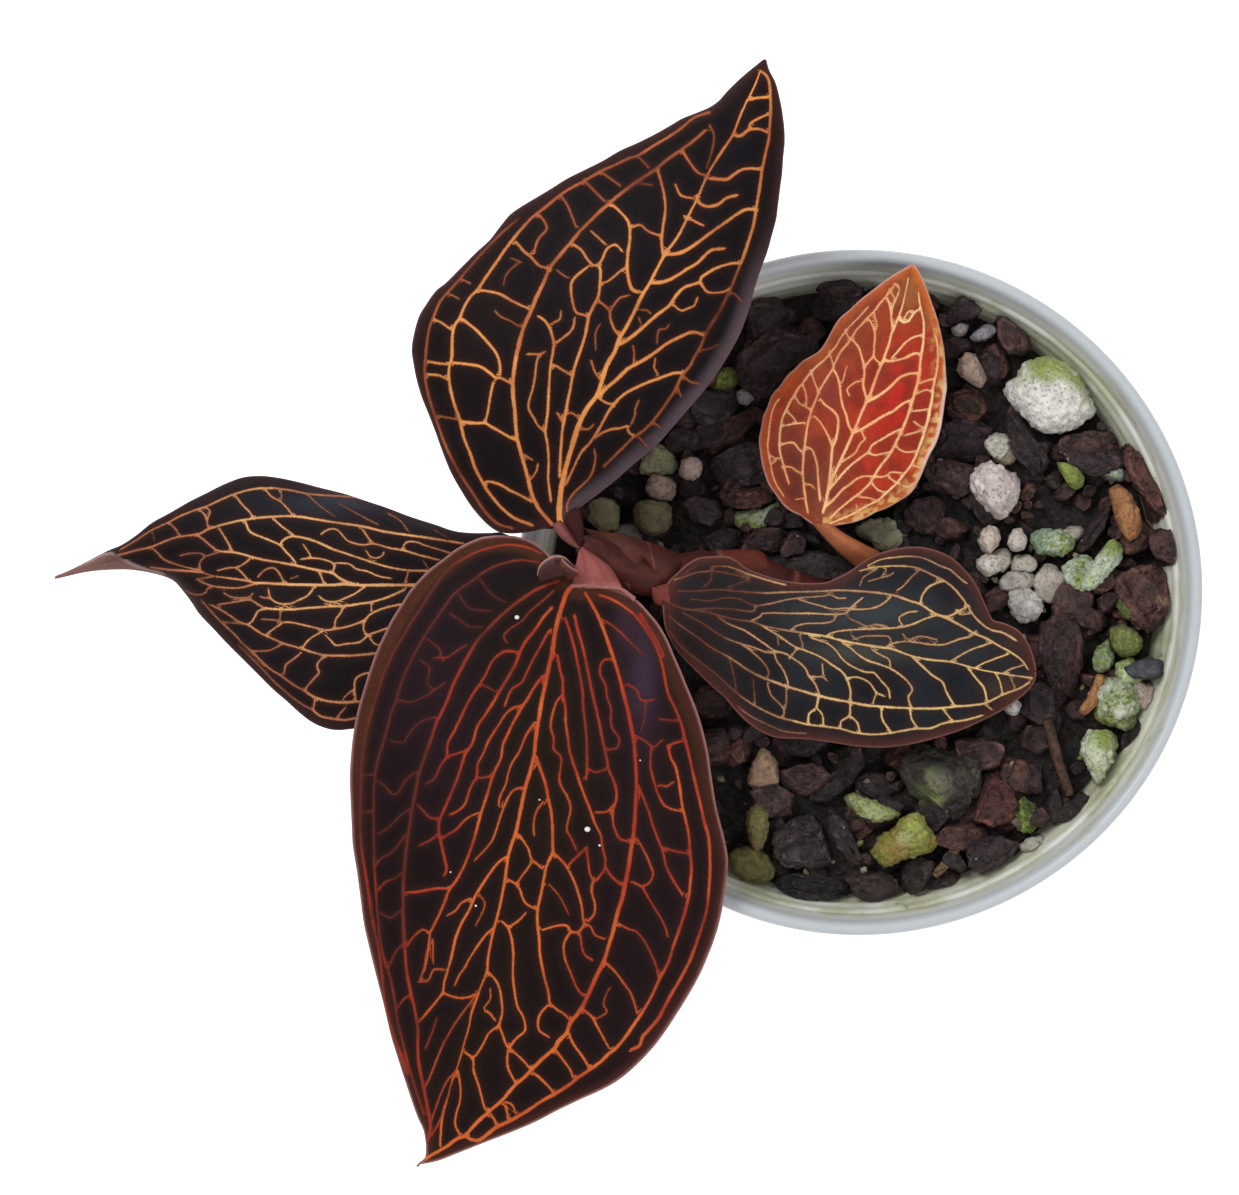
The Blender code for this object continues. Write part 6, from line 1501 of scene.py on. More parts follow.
def vein_lower(tint, U, V):
    f = 0.5 * np.exp(-((U - 500) / 60) ** 2 - ((V - 960) / 150) ** 2) \
        - 0.35 * ease((470 - U) / 60) * ease((900 - V) / 120) \
        + 0.25 * np.exp(-((U - 560) / 120) ** 2 - ((V - 1060) / 60) ** 2)
    return gold(tint + f, (94, 38, 34), (164, 52, 32), (208, 102, 48))


def paint_left(U, V, T, S, md):
    n = len(U)
    p = np.stack([U / 50, V / 50, 0 * U + 5], -1)
    lam = mix(np.broadcast_to(lin(32, 27, 32), (n, 3)), lin(24, 19, 22),
              ease(fbm(p, 3, 12) * 0.9 + 0.5))
    lam = blobs(lam, U, V, [
        (330, 503, 60, 14, (62, 70, 84), 0.9),
        (430, 520, 50, 12, (50, 50, 60), 0.7),
        (300, 660, 60, 30, (34, 26, 36), 0.6),
        (190, 600, 30, 20, (40, 24, 22), 0.7)])
    lam = mix(lam, lin(58, 36, 34), ease(1 - md / 13.0)
              * np.where(S < 0, 0.85, 0.5))
    lam = mix(lam, lin(84, 62, 62), ease(1 - md / 2.4) * 0.6)
    # the tip twists, so its pale underside shows below the fold
    xs = [50, 66, 92, 104, 113, 125, 140, 152, 166, 172]
    ys = [577, 571, 561, 555, 553.5, 560, 565.5, 569, 572, 578]
    below = V - np.interp(U, xs, ys)
    f = ease(below / 2.0 + 0.5) * ease((170 - U) / 8)
    lam = mix(lam, lin(132, 98, 92), f * 0.95)
    lam = mix(lam, lin(176, 150, 146), np.exp(-(below / 1.3) ** 2)
              * ease((168 - U) / 8) * ease((U - 58) / 10) * 0.8)
    return lam


def vein_left(tint, U, V):
    tint = tint - 0.4 * ease((250 - U) / 90) - 0.35 * ease((V - 600) / 90)
    return gold(tint, (112, 64, 50), (188, 118, 82), (224, 166, 108))


def paint_right(U, V, T, S, md):
    n = len(U)
    p = np.stack([U / 40, V / 40, 0 * U + 7], -1)
    lam = mix(np.broadcast_to(lin(32, 38, 44), (n, 3)), lin(24, 27, 31),
              ease(fbm(p, 3, 15) * 0.9 + 0.5))
    # the first three patches, greenish grey, are a painted sheen; the others are the leaf's own tones
    lam = blobs(lam, U, V, [
        (870, 612, 90, 22, (66, 78, 82), 0.7),
        (960, 650, 50, 16, (48, 56, 62), 0.7),
        (860, 652, 50, 12, (80, 88, 82), 0.7),
        (720, 600, 40, 30, (40, 36, 38), 0.7),
        (700, 650, 30, 40, (34, 24, 24), 0.8),
        (950, 595, 14, 20, (34, 26, 32), 0.8),
        (1008, 690, 24, 12, (76, 58, 42), 0.8),
        (1015, 640, 14, 16, (72, 52, 46), 0.7),
        (665, 596, 12, 20, (88, 46, 40), 0.9)])
    band = ease(1 - md / 15.0)
    lam = mix(lam, lin(82, 42, 34), band * 0.92)
    lam = mix(lam, lin(152, 104, 98), ease(1 - md / 2.2) * 0.85)
    return lam


def vein_right(tint, U, V):
    tint = tint - 0.55 * ease((790 - U) / 110)
    return gold(tint, (106, 64, 50), (196, 152, 112), (232, 196, 124))


def paint_red(U, V, T, S, md):
    n = len(U)
    p = np.stack([U / 30, V / 30, 0 * U + 9], -1)
    lam = mix(np.broadcast_to(lin(184, 62, 28), (n, 3)), lin(160, 44, 24),
              ease(fbm(p, 3, 19) * 0.9 + 0.5))
    lam = blobs(lam, U, V, [
        (898, 405, 38, 66, (202, 34, 24), 0.95),
        (876, 470, 36, 40, (190, 48, 26), 0.85),
        (800, 405, 26, 40, (180, 62, 24), 0.9),
        (815, 340, 30, 40, (158, 80, 38), 0.8),
        (860, 330, 34, 44, (146, 62, 30), 0.9),
        (908, 290, 20, 26, (156, 100, 50), 0.95),
        (790, 456, 24, 44, (108, 44, 34), 0.9),
        (802, 492, 34, 38, (70, 40, 26), 0.95),
        (830, 480, 18, 36, (112, 66, 44), 0.8),
        (823, 516, 12, 14, (150, 84, 60), 0.9),
        (832, 395, 16, 20, (128, 50, 44), 0.8)])
    mott = fbm(np.stack([U / 13, V / 13, 0 * U], -1), 4, 43)
    lam = mix(lam, lin(112, 38, 20), ease(mott * 1.8 + 0.35) * 0.6)
    spots = ease(fbm(np.stack([U / 5, V / 5, 0 * U], -1), 3, 44) * 2.2 + 0.5)
    lam = mix(lam, lin(206, 108, 40), ease(1 - md / 14.0)
              * np.where(S > 0, 0.85, 0.42) * (1 - 0.6 * ease((V - 450) / 60) * (S < 0)))
    lam = mix(lam, lin(232, 188, 116), ease(1.25 - md / 15.0) * (S > 0)
              * ease((V - 300) / 60) * spots * 0.9)
    pale = ease((V - 355) / 40) * ease((500 - V) / 30) * (S > 0)
    lam = mix(lam, lin(240, 216, 204), ease(1.2 - md / 5.0) * pale * 0.95)
    lam = mix(lam, lin(212, 164, 152), ease(1 - md / 2.8) * 0.8)
    return lam


def vein_red(tint, U, V):
    return gold(tint, (206, 110, 62), (238, 166, 112), (246, 208, 152))

# --------------------------------------------------------------------- stalks
def stalk_upper(heap):
    def fold(u, v, T, F, cols):
        f = ease((F - 0.55) / 0.25)
        return mix(cols, lin(142, 86, 82), ease(1 - f) * 0.75)
    span(heap, [(552, 525), (556, 532), (563, 540), (573, 547)],
         [(562, 519), (569, 529), (576, 540), (583, 549)],
         [(0, 10.6, 0.7), (0.5, 9.6, 0.9), (1, 7.8, 1.0)], lam=(98, 50, 48),
         paint=fold, ridge=0.12, seed=4)
    # the blade's base rolls in to make a channel; its dark colour is painted shade
    span(heap, [(562, 514), (566, 524), (572, 535), (577, 545)],
         [(580, 509), (583, 522), (584, 534), (582, 545)],
         [(0, 10.9, 0.6), (0.5, 9.9, 0.9), (1, 8.2, 0.8)], lam=(62, 30, 30),
         ridge=0.1, seed=6)


def stalk_lower(heap):
    def pinks(u, v, T, F, cols):
        line = np.exp(-((F - 0.30) / 0.07) ** 2) + np.exp(
            -((F - 0.72) / 0.06) ** 2)
        cols = mix(cols, lin(118, 58, 56), ease(line) * 0.6)
        cols = mix(cols, lin(104, 50, 46), ease((F - 0.7) / 0.3) * 0.6)
        return mix(cols, lin(168, 108, 102), ease((T - 0.8) / 0.2) * 0.7)
    span(heap, [(580, 546), (577, 559), (574.5, 573), (571, 588)],
         [(585, 548), (601, 559), (613, 570), (623, 589)],
         [(0, 7.8, 0.8), (0.35, 8.9, 0.9), (0.75, 9.5, 0.8), (1, 9.4, 0.5)],
         lam=(146, 82, 78), paint=pinks, ridge=0.18, seed=11, sides=28)
    # pale rim along the blade's base
    span(heap, [(570, 584), (586, 583), (602, 584.5), (620, 586.5),
                (636, 597)],
         [(571, 588.5), (586, 587.5), (602, 589), (620, 591), (634, 602)],
         [(0, 9.7, 0.4), (0.5, 9.75, 0.45), (1, 9.2, 0.3)],
         lam=(156, 100, 96), seed=12)


def stalk_left(heap):
    span(heap, [(596, 550), (578, 563), (560, 576), (541, 585)],
         [(598, 562), (582, 577), (562, 590), (542, 599)],
         [(0, 4.2, 0.9), (0.5, 4.0, 0.8), (1, 3.6, 0.6)], lam=(120, 70, 62),
         seed=14)


def stalk_right(heap):
    # a short rolled base between the stem and the blade
    span(heap, [(650, 576), (654, 586), (660, 585), (668, 583)],
         [(650, 588), (654, 602), (661, 606), (671, 606)],
         [(0, 2.6, 0.8), (0.5, 3.6, 0.9), (1, 4.3, 0.6)], lam=(112, 56, 50),
         seed=15, ridge=0.12)


def stalk_red(heap):
    def warm(u, v, T, F, cols):
        cols = mix(cols, lin(176, 104, 66), np.exp(-((F - 0.35) / 0.16) ** 2)
                   * 0.8)
        return mix(cols, lin(96, 52, 40), ease((T - 0.6) / 0.4) * 0.5)
    span(heap, [(830, 523), (846, 534), (866, 545), (880, 553), (892, 574),
                (896, 596)],
         [(812, 524), (826, 540), (840, 554), (854, 566), (866, 582),
          (871, 602)],
         [(0, 1.1, 0.7), (0.3, 0.0, 1.2), (0.6, -2.0, 1.3),
          (0.8, -4.6, 1.25), (1, -7.2, 1.4)], lam=(150, 86, 56), paint=warm,
         ridge=0.1, seed=17, sides=24)


def make_stem():
    heap = Heap()
    # the creeping stem in segments, with a sheath scar at each node
    st = dense([(912, 612, -9.0, 1.6, 1.6), (880, 606, -7.6, 2.2, 2.2),
                (835, 600, -5.4, 2.5, 2.4), (790, 588, -3.8, 2.6, 2.5),
                (750, 571, -2.6, 2.6, 2.5), (705, 569, -1.0, 2.7, 2.6),
                (665, 576, 0.6, 2.9, 2.8), (640, 574, 2.2, 3.0, 2.9),
                (614, 563, 4.2, 2.7, 2.6), (594, 550, 6.4, 2.1, 2.0),
                (580, 544, 8.0, 1.2, 1.2)], 22)
    sides = 40
    centre = plan(st[:, 0], st[:, 1], st[:, 2])
    run = np.gradient(centre, axis=0)
    run /= np.linalg.norm(run, axis=1, keepdims=True)
    side = np.cross(run, [0, 0, 1.0])
    side /= np.linalg.norm(side, axis=1, keepdims=True)
    up = np.cross(side, run)
    n = len(st)
    t = np.linspace(0, 1, n)
    nodes = [0.13, 0.3, 0.47, 0.60]
    swell = sum(np.exp(-((t - q) / 0.010) ** 2) * 0.05
                - np.exp(-((t - q - 0.018) / 0.010) ** 2) * 0.03
                for q in nodes)
    ang = np.linspace(0, 2 * np.pi, sides, endpoint=False)
    c, s = np.cos(ang)[None, :, None], np.sin(ang)[None, :, None]
    end = np.clip(np.minimum(t * 40, (1 - t) * 40) + 0.55, 0, 1)
    w = (st[:, 3] * end * (1 + swell))[:, None, None]
    h = (st[:, 4] * end * (1 + swell))[:, None, None]
    P = centre[:, None, :] + side[:, None, :] * c * w + up[:, None, :] * s * h
    P = P.reshape(-1, 3)
    T = np.repeat(t, sides)
    A = np.tile(ang, n)
    q = np.stack([np.cos(A) * 3, np.sin(A) * 3, T * 10], -1)
    P += (P - np.repeat(centre, sides, 0)) * (fbm(q, 4, 21) * 0.05)[:, None]
    lam = mix(np.broadcast_to(lin(92, 42, 35), (len(P), 3)), lin(66, 30, 28),
              ease(fbm(q * 1.7, 4, 23) + 0.5))
    scar = sum(np.exp(-((T - k - 0.018) / 0.006) ** 2) for k in nodes)
    lam = mix(lam, lin(58, 30, 26), np.clip(scar, 0, 1) * 0.8)
    ringl = sum(np.exp(-((T - k) / 0.006) ** 2) for k in nodes)
    lam = mix(lam, lin(150, 92, 76), np.clip(ringl, 0, 1) * 0.6)
    base = len(P)
    ring = np.arange(sides)
    last = (n - 1) * sides
    tri = np.vstack([
        np.stack([np.full(sides, base), ring, np.roll(ring, -1)], -1),
        np.stack([np.full(sides, base + 1), last + np.roll(ring, -1),
                  last + ring], -1)])
    quads = tube_faces(n, sides)[:, ::-1]
    heap.add(np.vstack([P, centre[0], centre[-1]]), quads, tri,
             c_lam=np.vstack([lam, lam[:1], lam[-1:]]))
    # the sheath that wraps the stem below the two upper stalks
    def sheath(u, v, T, F, cols):
        cols = mix(cols, lin(140, 84, 74), np.exp(-((T - 0.62 - 0.1 * F)
                                                    / 0.012) ** 2) * 0.8)
        cols = mix(cols, lin(112, 70, 48), np.exp(-((T - 0.2) / 0.2) ** 2)
                   * ease(1 - F) * 0.6)
        return mix(cols, lin(58, 30, 28), np.exp(-((F - 0.25) / 0.2) ** 2)
                   * 0.6)
    span(heap, [(584, 528), (600, 531), (622, 534), (646, 541), (668, 549),
                (684, 558)],
         [(629, 590), (637, 581), (642, 570), (645, 562), (655, 580),
          (664, 598)],
         [(0, 4.6, 1.2), (0.4, 3.6, 2.2), (0.75, 2.0, 2.7), (1, 0.4, 2.9)],
         lam=(88, 42, 36), paint=sheath, ridge=0.06, seed=31, sides=36)
    # the segment that shows behind the right leaf's base
    span(heap, [(700, 556), (726, 550), (752, 549.5), (764, 553), (770, 562)],
         [(700, 582), (724, 584), (748, 585), (764, 581), (769, 572)],
         [(0, -0.6, 1.7), (0.5, -1.4, 2.0), (1, -2.8, 1.8)], lam=(104, 48, 36),
         ridge=0.08, seed=33, sides=30)
    ob = heap.object("creeping_stem", M_STEM)
    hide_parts("rhizome")
    return ob


def make_bud():
    heap = Heap()
    def lip(u, v, T, F, cols):
        return mix(cols, lin(190, 146, 136), np.exp(-((F - 0.04) / 0.07) ** 2))
    span(heap, [(574, 566), (565, 557), (555, 555), (546, 559), (539, 566),
                (537, 575)],
         [(575, 572), (568, 575), (560, 577), (553, 578), (547, 580),
          (541, 582)],
         [(0, 11.4, 0.5), (0.5, 12.2, 0.8), (1, 11.9, 0.5)],
         lam=(64, 32, 30), paint=lip, seed=41, ridge=0.1, sides=24)
    def lip2(u, v, T, F, cols):
        return mix(cols, lin(184, 132, 122), np.exp(-((F - 0.1) / 0.12) ** 2))
    span(heap, [(562, 558), (567, 563), (572, 567), (578, 571)],
         [(558, 566), (563, 571), (569, 575), (576, 577)],
         [(0, 12.4, 0.45), (0.5, 12.5, 0.5), (1, 11.6, 0.4)],
         lam=(84, 42, 36), paint=lip2, seed=43, sides=20)
    ob = heap.object("rolled_leaf", M_STEM)
    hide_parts("leaf_bud")
    return ob


def thread(name, node, stations, material, colour, sides=18, rings=90,
           rough=0.12, seed=50):
    """A thin stick or root with a bark-like skin."""
    st = dense(stations, max(4, rings // (len(stations) - 1)))
    centre = plan(st[:, 0], st[:, 1], st[:, 2])
    run = np.gradient(centre, axis=0)
    run /= np.linalg.norm(run, axis=1, keepdims=True)
    side = np.cross(run, [0.03, 0.05, 1.0])
    side /= np.linalg.norm(side, axis=1, keepdims=True)
    up = np.cross(side, run)
    n = len(st)
    t = np.linspace(0, 1, n)
    ang = np.linspace(0, 2 * np.pi, sides, endpoint=False)
    end = np.clip(np.minimum(t * 30, (1 - t) * 30) + 0.3, 0, 1)
    w, h = (st[:, 3] * end)[:, None, None], (st[:, 4] * end)[:, None, None]
    P = centre[:, None, :] + side[:, None, :] * np.cos(ang)[None, :, None] * w \
        + up[:, None, :] * np.sin(ang)[None, :, None] * h
    P = P.reshape(-1, 3)
    T, A = np.repeat(t, sides), np.tile(ang, n)
    q = np.stack([np.cos(A) * 2.4, np.sin(A) * 2.4, T * 14], -1)
    f = fbm(q, 4, seed)
    P += (P - np.repeat(centre, sides, 0)) * (f * rough * 2)[:, None]
    lam = mix(np.broadcast_to(lin(*colour), (len(P), 3)),
              lin(*[c * 0.55 for c in colour]), ease(f + 0.5))
    base, ring, last = len(P), np.arange(sides), (n - 1) * sides
    tri = np.vstack([
        np.stack([np.full(sides, base), ring, np.roll(ring, -1)], -1),
        np.stack([np.full(sides, base + 1), last + np.roll(ring, -1),
                  last + ring], -1)])
    heap = Heap()
    heap.add(np.vstack([P, centre[0], centre[-1]]),
             tube_faces(n, sides)[:, ::-1], tri,
             c_lam=np.vstack([lam, lam[:1], lam[-1:]]))
    ob = heap.object(name, material)
    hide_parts(node)
    return ob


# ---------------------------------------------------------------------- chips
_ICO = {}


def ico(level):
    if level not in _ICO:
        bm = bmesh.new()
        bmesh.ops.create_icosphere(bm, subdivisions=level, radius=1.0)
        bm.verts.index_update()
        co = np.array([v.co for v in bm.verts], float)
        tri = np.array([[v.index for v in f.verts] for f in bm.faces])
        bm.free()
        _ICO[level] = (co, tri)
    return _ICO[level]


def outline_reach(poly, c, ang):
    """Distance from c to the outline along each plan direction."""
    p = np.asarray(poly, float)
    q = np.roll(p, -1, 0)
    d = np.stack([np.cos(ang), np.sin(ang)], -1)
    out = np.full(len(ang), 0.0)
    for a, b in zip(p, q):
        e = b - a
        den = d[:, 0] * e[1] - d[:, 1] * e[0]
        ok = np.abs(den) > 1e-9
        den = np.where(ok, den, 1.0)
        w = a - np.array(c)
        r = (w[0] * e[1] - w[1] * e[0]) / den
        s = (w[0] * d[:, 1] - w[1] * d[:, 0]) / den
        hit = ok & (s >= -1e-6) & (s <= 1 + 1e-6) & (r > 0)
        out = np.where(hit, np.maximum(out, r), out)
    return out


def inner_radius(h):
    z = POT_H + np.asarray(h, float)
    return np.interp(z, [3.4, 75.0, 78.2, 79.4, 83.6],
                     [BASE_R - WALL - 0.2, 45.6, 46.6, 47.3, 47.9])


def chip_shape(kind, top, low, outline, level, seed, grow=1.0, tilt=None,
               colour=(45, 32, 32), patches=(), swap=None):
    """One chip: points, triangles and colours."""
    unit, tri = ico(level)
    rng = np.random.default_rng(seed)
    poly = np.array(outline, float)
    c = poly.mean(0)
    poly = c + (poly - c) * grow
    if kind != "bark":
        closed = np.vstack([poly, poly[:2]])
        poly = dense(closed, 5)[:len(poly) * 5]
    x, y, z = unit.T
    flat = np.hypot(x, y)
    ang = np.arctan2(y, x)
    R = outline_reach(poly, c, ang)
    fdir = principal(poly)
    across = np.array([-fdir[1], fdir[0]])
    sq, vq = {"bark": (0.30, 0.42), "stone": (0.55, 0.72),
              "shell": (0.45, 0.6)}[kind]
    r = R * flat ** sq
    mid, half = 0.5 * (top + low), 0.5 * (top - low)
    zz = np.sign(z) * np.abs(z) ** vq
    h = mid + half * zz
    du, dv = np.cos(ang) * r, np.sin(ang) * r
    size = max(np.ptp(poly[:, 0]), np.ptp(poly[:, 1])) / UNITS
    # the top face leans a little, only downwards from the given top
    lean = rng.normal(0, 1, 2)
    lean /= np.linalg.norm(lean)
    amount = rng.uniform(0.10, 0.30) if tilt is None else tilt
    if kind == "stone":
        amount *= 0.4
    rise = (du * lean[0] + dv * lean[1]) / UNITS
    cut = amount * (rise - rise.max())
    h = h + cut * np.clip(zz * 0.5 + 0.5, 0, 1)
    u, v = c[0] + du, c[1] + dv
    P = plan(u, v, h)
    lo_u = du * fdir[0] + dv * fdir[1]
    ac_u = du * across[0] + dv * across[1]
    q = np.stack([lo_u / UNITS, ac_u / UNITS, h], -1) + rng.uniform(0, 90, 3)
    out = np.stack([x, -y, z * 0.7], -1)
    out /= np.linalg.norm(out, axis=1, keepdims=True)
    if kind == "bark":
        mid_p = P.mean(0)
        W = P - mid_p
        for _ in range(7):
            az, el = rng.uniform(0, 2 * np.pi), rng.uniform(0.3, 1.15)
            nn = np.array([math.sin(el) * math.cos(az),
                           math.sin(el) * math.sin(az), math.cos(el)])
            reach = W @ nn
            over = np.clip(reach - reach.max() * rng.uniform(0.62, 0.92), 0,
                           None)
            W = W - over[:, None] * nn
        P = mid_p + W
        big = fbm(q * [0.22, 0.38, 0.35], 3, seed)
        fib = fbm(q * [0.28, 1.7, 2.2], 4, seed + 1)
        fine = fbm(q * [1.1, 3.4, 4.0], 3, seed + 2)
        step = np.floor(q[:, 2] * 0.9 + big * 2.2)
        ledge = vnoise(np.stack([step * 7.3, step * 0 + 3.1,
                                 np.floor(q[:, 1] * 0.45)], -1), seed + 5)
        ridge = 0.5 - np.abs(fib)
        disp = big * 0.6 + ridge * 0.5 + fine * 0.2 + ledge * 0.34
        scale = float(np.clip(size / 8.0, 0.4, 1.35))
        P = P + out * (disp * scale)[:, None]
        shade = fib * 0.9 + big * 0.8
        lam = mix(np.broadcast_to(lin(*colour), (len(P), 3)),
                  lin(*[k * 0.45 for k in colour]), ease(shade * 1.4 + 0.45))
        second = swap or [min(255, k * 1.55 + 10) for k in colour]
        lam = mix(lam, lin(*second), ease(fine * 1.2 + fib * 0.8 - 0.05)
                  * 0.6)
        # painted highlight: the upper faces of the chip are made lighter
        crest_highlight = ease((zz - 0.55) / 0.35) * ease((flat - 0.45) / 0.3) \
            * ease(fbm(q * 1.4, 3, seed + 9) * 1.5 + 0.3)
        lam = mix(lam, lin(*[min(255, k * 1.7 + 18) for k in colour]),
                  crest_highlight * 0.65)
    else:
        big = fbm(q * 0.45, 3, seed)
        fine = fbm(q * 1.9, 4, seed + 2)
        pit = np.clip(vnoise(q * 2.6, seed + 3) - 0.35, 0, 1)
        lump = np.abs(vnoise(q * 0.95, seed + 4))
        amp = 1.0 if kind == "stone" else 0.7
        lump2 = np.abs(vnoise(q * 1.9 + 40, seed + 6))
        disp = (big * 0.45 + fine * 0.18 - pit * 0.2 + (lump - 0.3) * 0.55
                + (lump2 - 0.3) * 0.28)
        scale = min(1.0, size / 6.0)
        P = P + out * (disp * scale * amp)[:, None]
        lam = mix(np.broadcast_to(lin(*colour), (len(P), 3)),
                  lin(*[k * 0.78 for k in colour]),
                  ease(big * 0.9 + fine * 0.6 + 0.35))
        if swap:
            lam = mix(lam, lin(*swap), ease(fbm(q * 0.8, 3, seed + 8) * 1.6
                                            + 0.35) * 0.7)
        # painted shade: darker in the creases between the lumps
        crease_shade = ease(1 - lump * 5.0) * 0.5 + ease(1 - lump2 * 4.0) * 0.3
        lam = mix(lam, lin(*[k * 0.7 for k in colour]), np.clip(crease_shade, 0, 1))
        # painted shade: darker flanks down in the gaps
        lam = mix(lam, lin(96, 80, 72), ease((-zz - 0.1) / 0.8) * 0.6)
    uu = c[0] + du
    vv = c[1] + dv
    wob = fbm(q * 0.9, 3, seed + 12)
    for (pu, pv, pr, rgb, strength) in patches:
        d = np.hypot(uu - pu, vv - pv) / pr + wob * 0.5
        lam = mix(lam, lin(*rgb), ease(1.35 - d) * strength)
    lim = inner_radius(P[:, 2] - POT_H) - 0.25
    rad = np.hypot(P[:, 0], P[:, 1])
    squeeze = np.minimum(1.0, lim / np.maximum(rad, 1e-6))
    P[:, :2] *= squeeze[:, None]
    return P, tri, lam


def principal(poly):
    q = poly - poly.mean(0)
    w, v = np.linalg.eigh(q.T @ q)
    return v[:, 1]


BARK_TONES = [(66, 44, 43), (50, 34, 35), (76, 49, 47), (86, 54, 48),
              (46, 32, 34), (70, 46, 41), (94, 58, 50)]
LOOK = {
    # name: dict of colour, swap (second colour) and plan patches
    "bark_03": dict(colour=(60, 46, 46), swap=(120, 106, 102)),
    "bark_06": dict(colour=(58, 44, 44), swap=(128, 114, 110)),
    "bark_19": dict(colour=(84, 54, 48), patches=[
        (1166, 600, 8, (150, 118, 92), 0.8)]),
    "bark_20": dict(colour=(58, 32, 34)),
    "bark_23": dict(colour=(84, 44, 38), swap=(120, 66, 52)),
    "bark_24": dict(tilt=0.12, colour=(54, 46, 38), swap=(70, 66, 44), patches=[
        (934, 770, 11, (112, 122, 74), 0.8),
        (941, 788, 10, (186, 184, 156), 0.85),
        (937, 803, 9, (140, 148, 84), 0.8),
        (925, 795, 12, (96, 104, 54), 0.6)]),
    "bark_27": dict(colour=(52, 40, 40), swap=(120, 110, 106)),
    "bark_29": dict(colour=(26, 20, 22)),
    "bark_01": dict(colour=(58, 40, 40)),
    "bark_02": dict(colour=(66, 46, 46), swap=(96, 72, 70)),
    "pumice_01": dict(colour=(236, 233, 226), swap=(214, 210, 200), patches=[
        (1040, 366, 17, (132, 150, 62), 0.9),
        (1062, 366, 15, (150, 164, 84), 0.85),
        (1080, 380, 13, (140, 156, 78), 0.85),
        (1018, 376, 10, (150, 160, 104), 0.6),
        (1089, 398, 10, (170, 178, 130), 0.7)]),
    "pumice_02": dict(colour=(228, 214, 210), swap=(206, 188, 182)),
    "pumice_05": dict(colour=(222, 206, 192), swap=(204, 184, 168)),
    "pumice_06": dict(colour=(230, 216, 206)),
    "pumice_08": dict(colour=(214, 206, 204)),
    "pumice_03": dict(colour=(190, 166, 150), swap=(160, 132, 116)),
    "pumice_04": dict(colour=(146, 160, 80), swap=(104, 118, 56)),
    "pumice_07": dict(colour=(214, 226, 206), swap=(196, 210, 170), patches=[
        (1112, 545, 14, (130, 148, 60), 0.9),
        (1090, 580, 9, (170, 190, 120), 0.5)]),
    "pumice_09": dict(colour=(122, 124, 78), swap=(92, 92, 54)),
    "pumice_10": dict(colour=(78, 84, 92), swap=(60, 62, 70)),
    "pumice_11": dict(colour=(216, 222, 196), swap=(186, 198, 140), patches=[
        (1104, 738, 13, (132, 148, 64), 0.85)]),
    "pumice_12": dict(colour=(140, 138, 62), swap=(158, 112, 66), patches=[
        (915, 826, 14, (172, 182, 96), 0.8),
        (905, 838, 9, (196, 190, 140), 0.7)]),
    "pumice_13": dict(colour=(176, 184, 132), swap=(128, 140, 76)),
    "pumice_14": dict(colour=(134, 116, 78), swap=(88, 84, 48)),
    "pumice_15": dict(colour=(134, 120, 96), swap=(96, 88, 62)),
    "pumice_16": dict(colour=(200, 180, 172), swap=(176, 148, 140)),
    "shell_tan_01": dict(colour=(168, 112, 72), swap=(190, 140, 96)),
    "shell_tan_02": dict(colour=(172, 118, 76), swap=(194, 146, 100)),
}


ALGAE = {"pumice_01": 0.0, "pumice_04": 0.8, "pumice_07": 0.15,
         "pumice_09": 1.0, "pumice_11": 0.25, "pumice_12": 0.6,
         "pumice_13": 0.5, "pumice_14": 0.4, "pumice_15": 0.15,
         "bark_24": 0.0}


def make_chips():
    for i, (name, (kind, top, bottom, square, outline)) in enumerate(
            CHIPS.items()):
        k = {"bark": "bark", "pumice": "stone", "shell": "shell"}[kind]
        look = dict(LOOK.get(name, {}))
        if "colour" not in look:
            look["colour"] = BARK_TONES[i % 7] if k == "bark" else \
                [(190, 174, 164), (178, 160, 150), (200, 190, 180)][i % 3]
        p = np.array(outline, float)
        span_px = max(np.ptp(p[:, 0]), np.ptp(p[:, 1]))
        level = 5 if span_px > 44 and DETAIL < 1.5 else 4
        P, tri, lam = chip_shape(k, top + 0.15, -MIX_DROP + GAP - 0.4
                                 + bottom * 0.6, outline, level, 100 + i,
                                 grow=1.16 if k == "bark" else 1.1,
                                 **look)
        heap = Heap()
        heap.add(P, None, tri, c_lam=lam, algae=ALGAE.get(name, 0.0))
        ob = heap.object(name + "_chip",
                         M_BARK if k == "bark" else M_STONE,
                         sharp=34 if k == "bark" else 0)
        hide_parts(name)


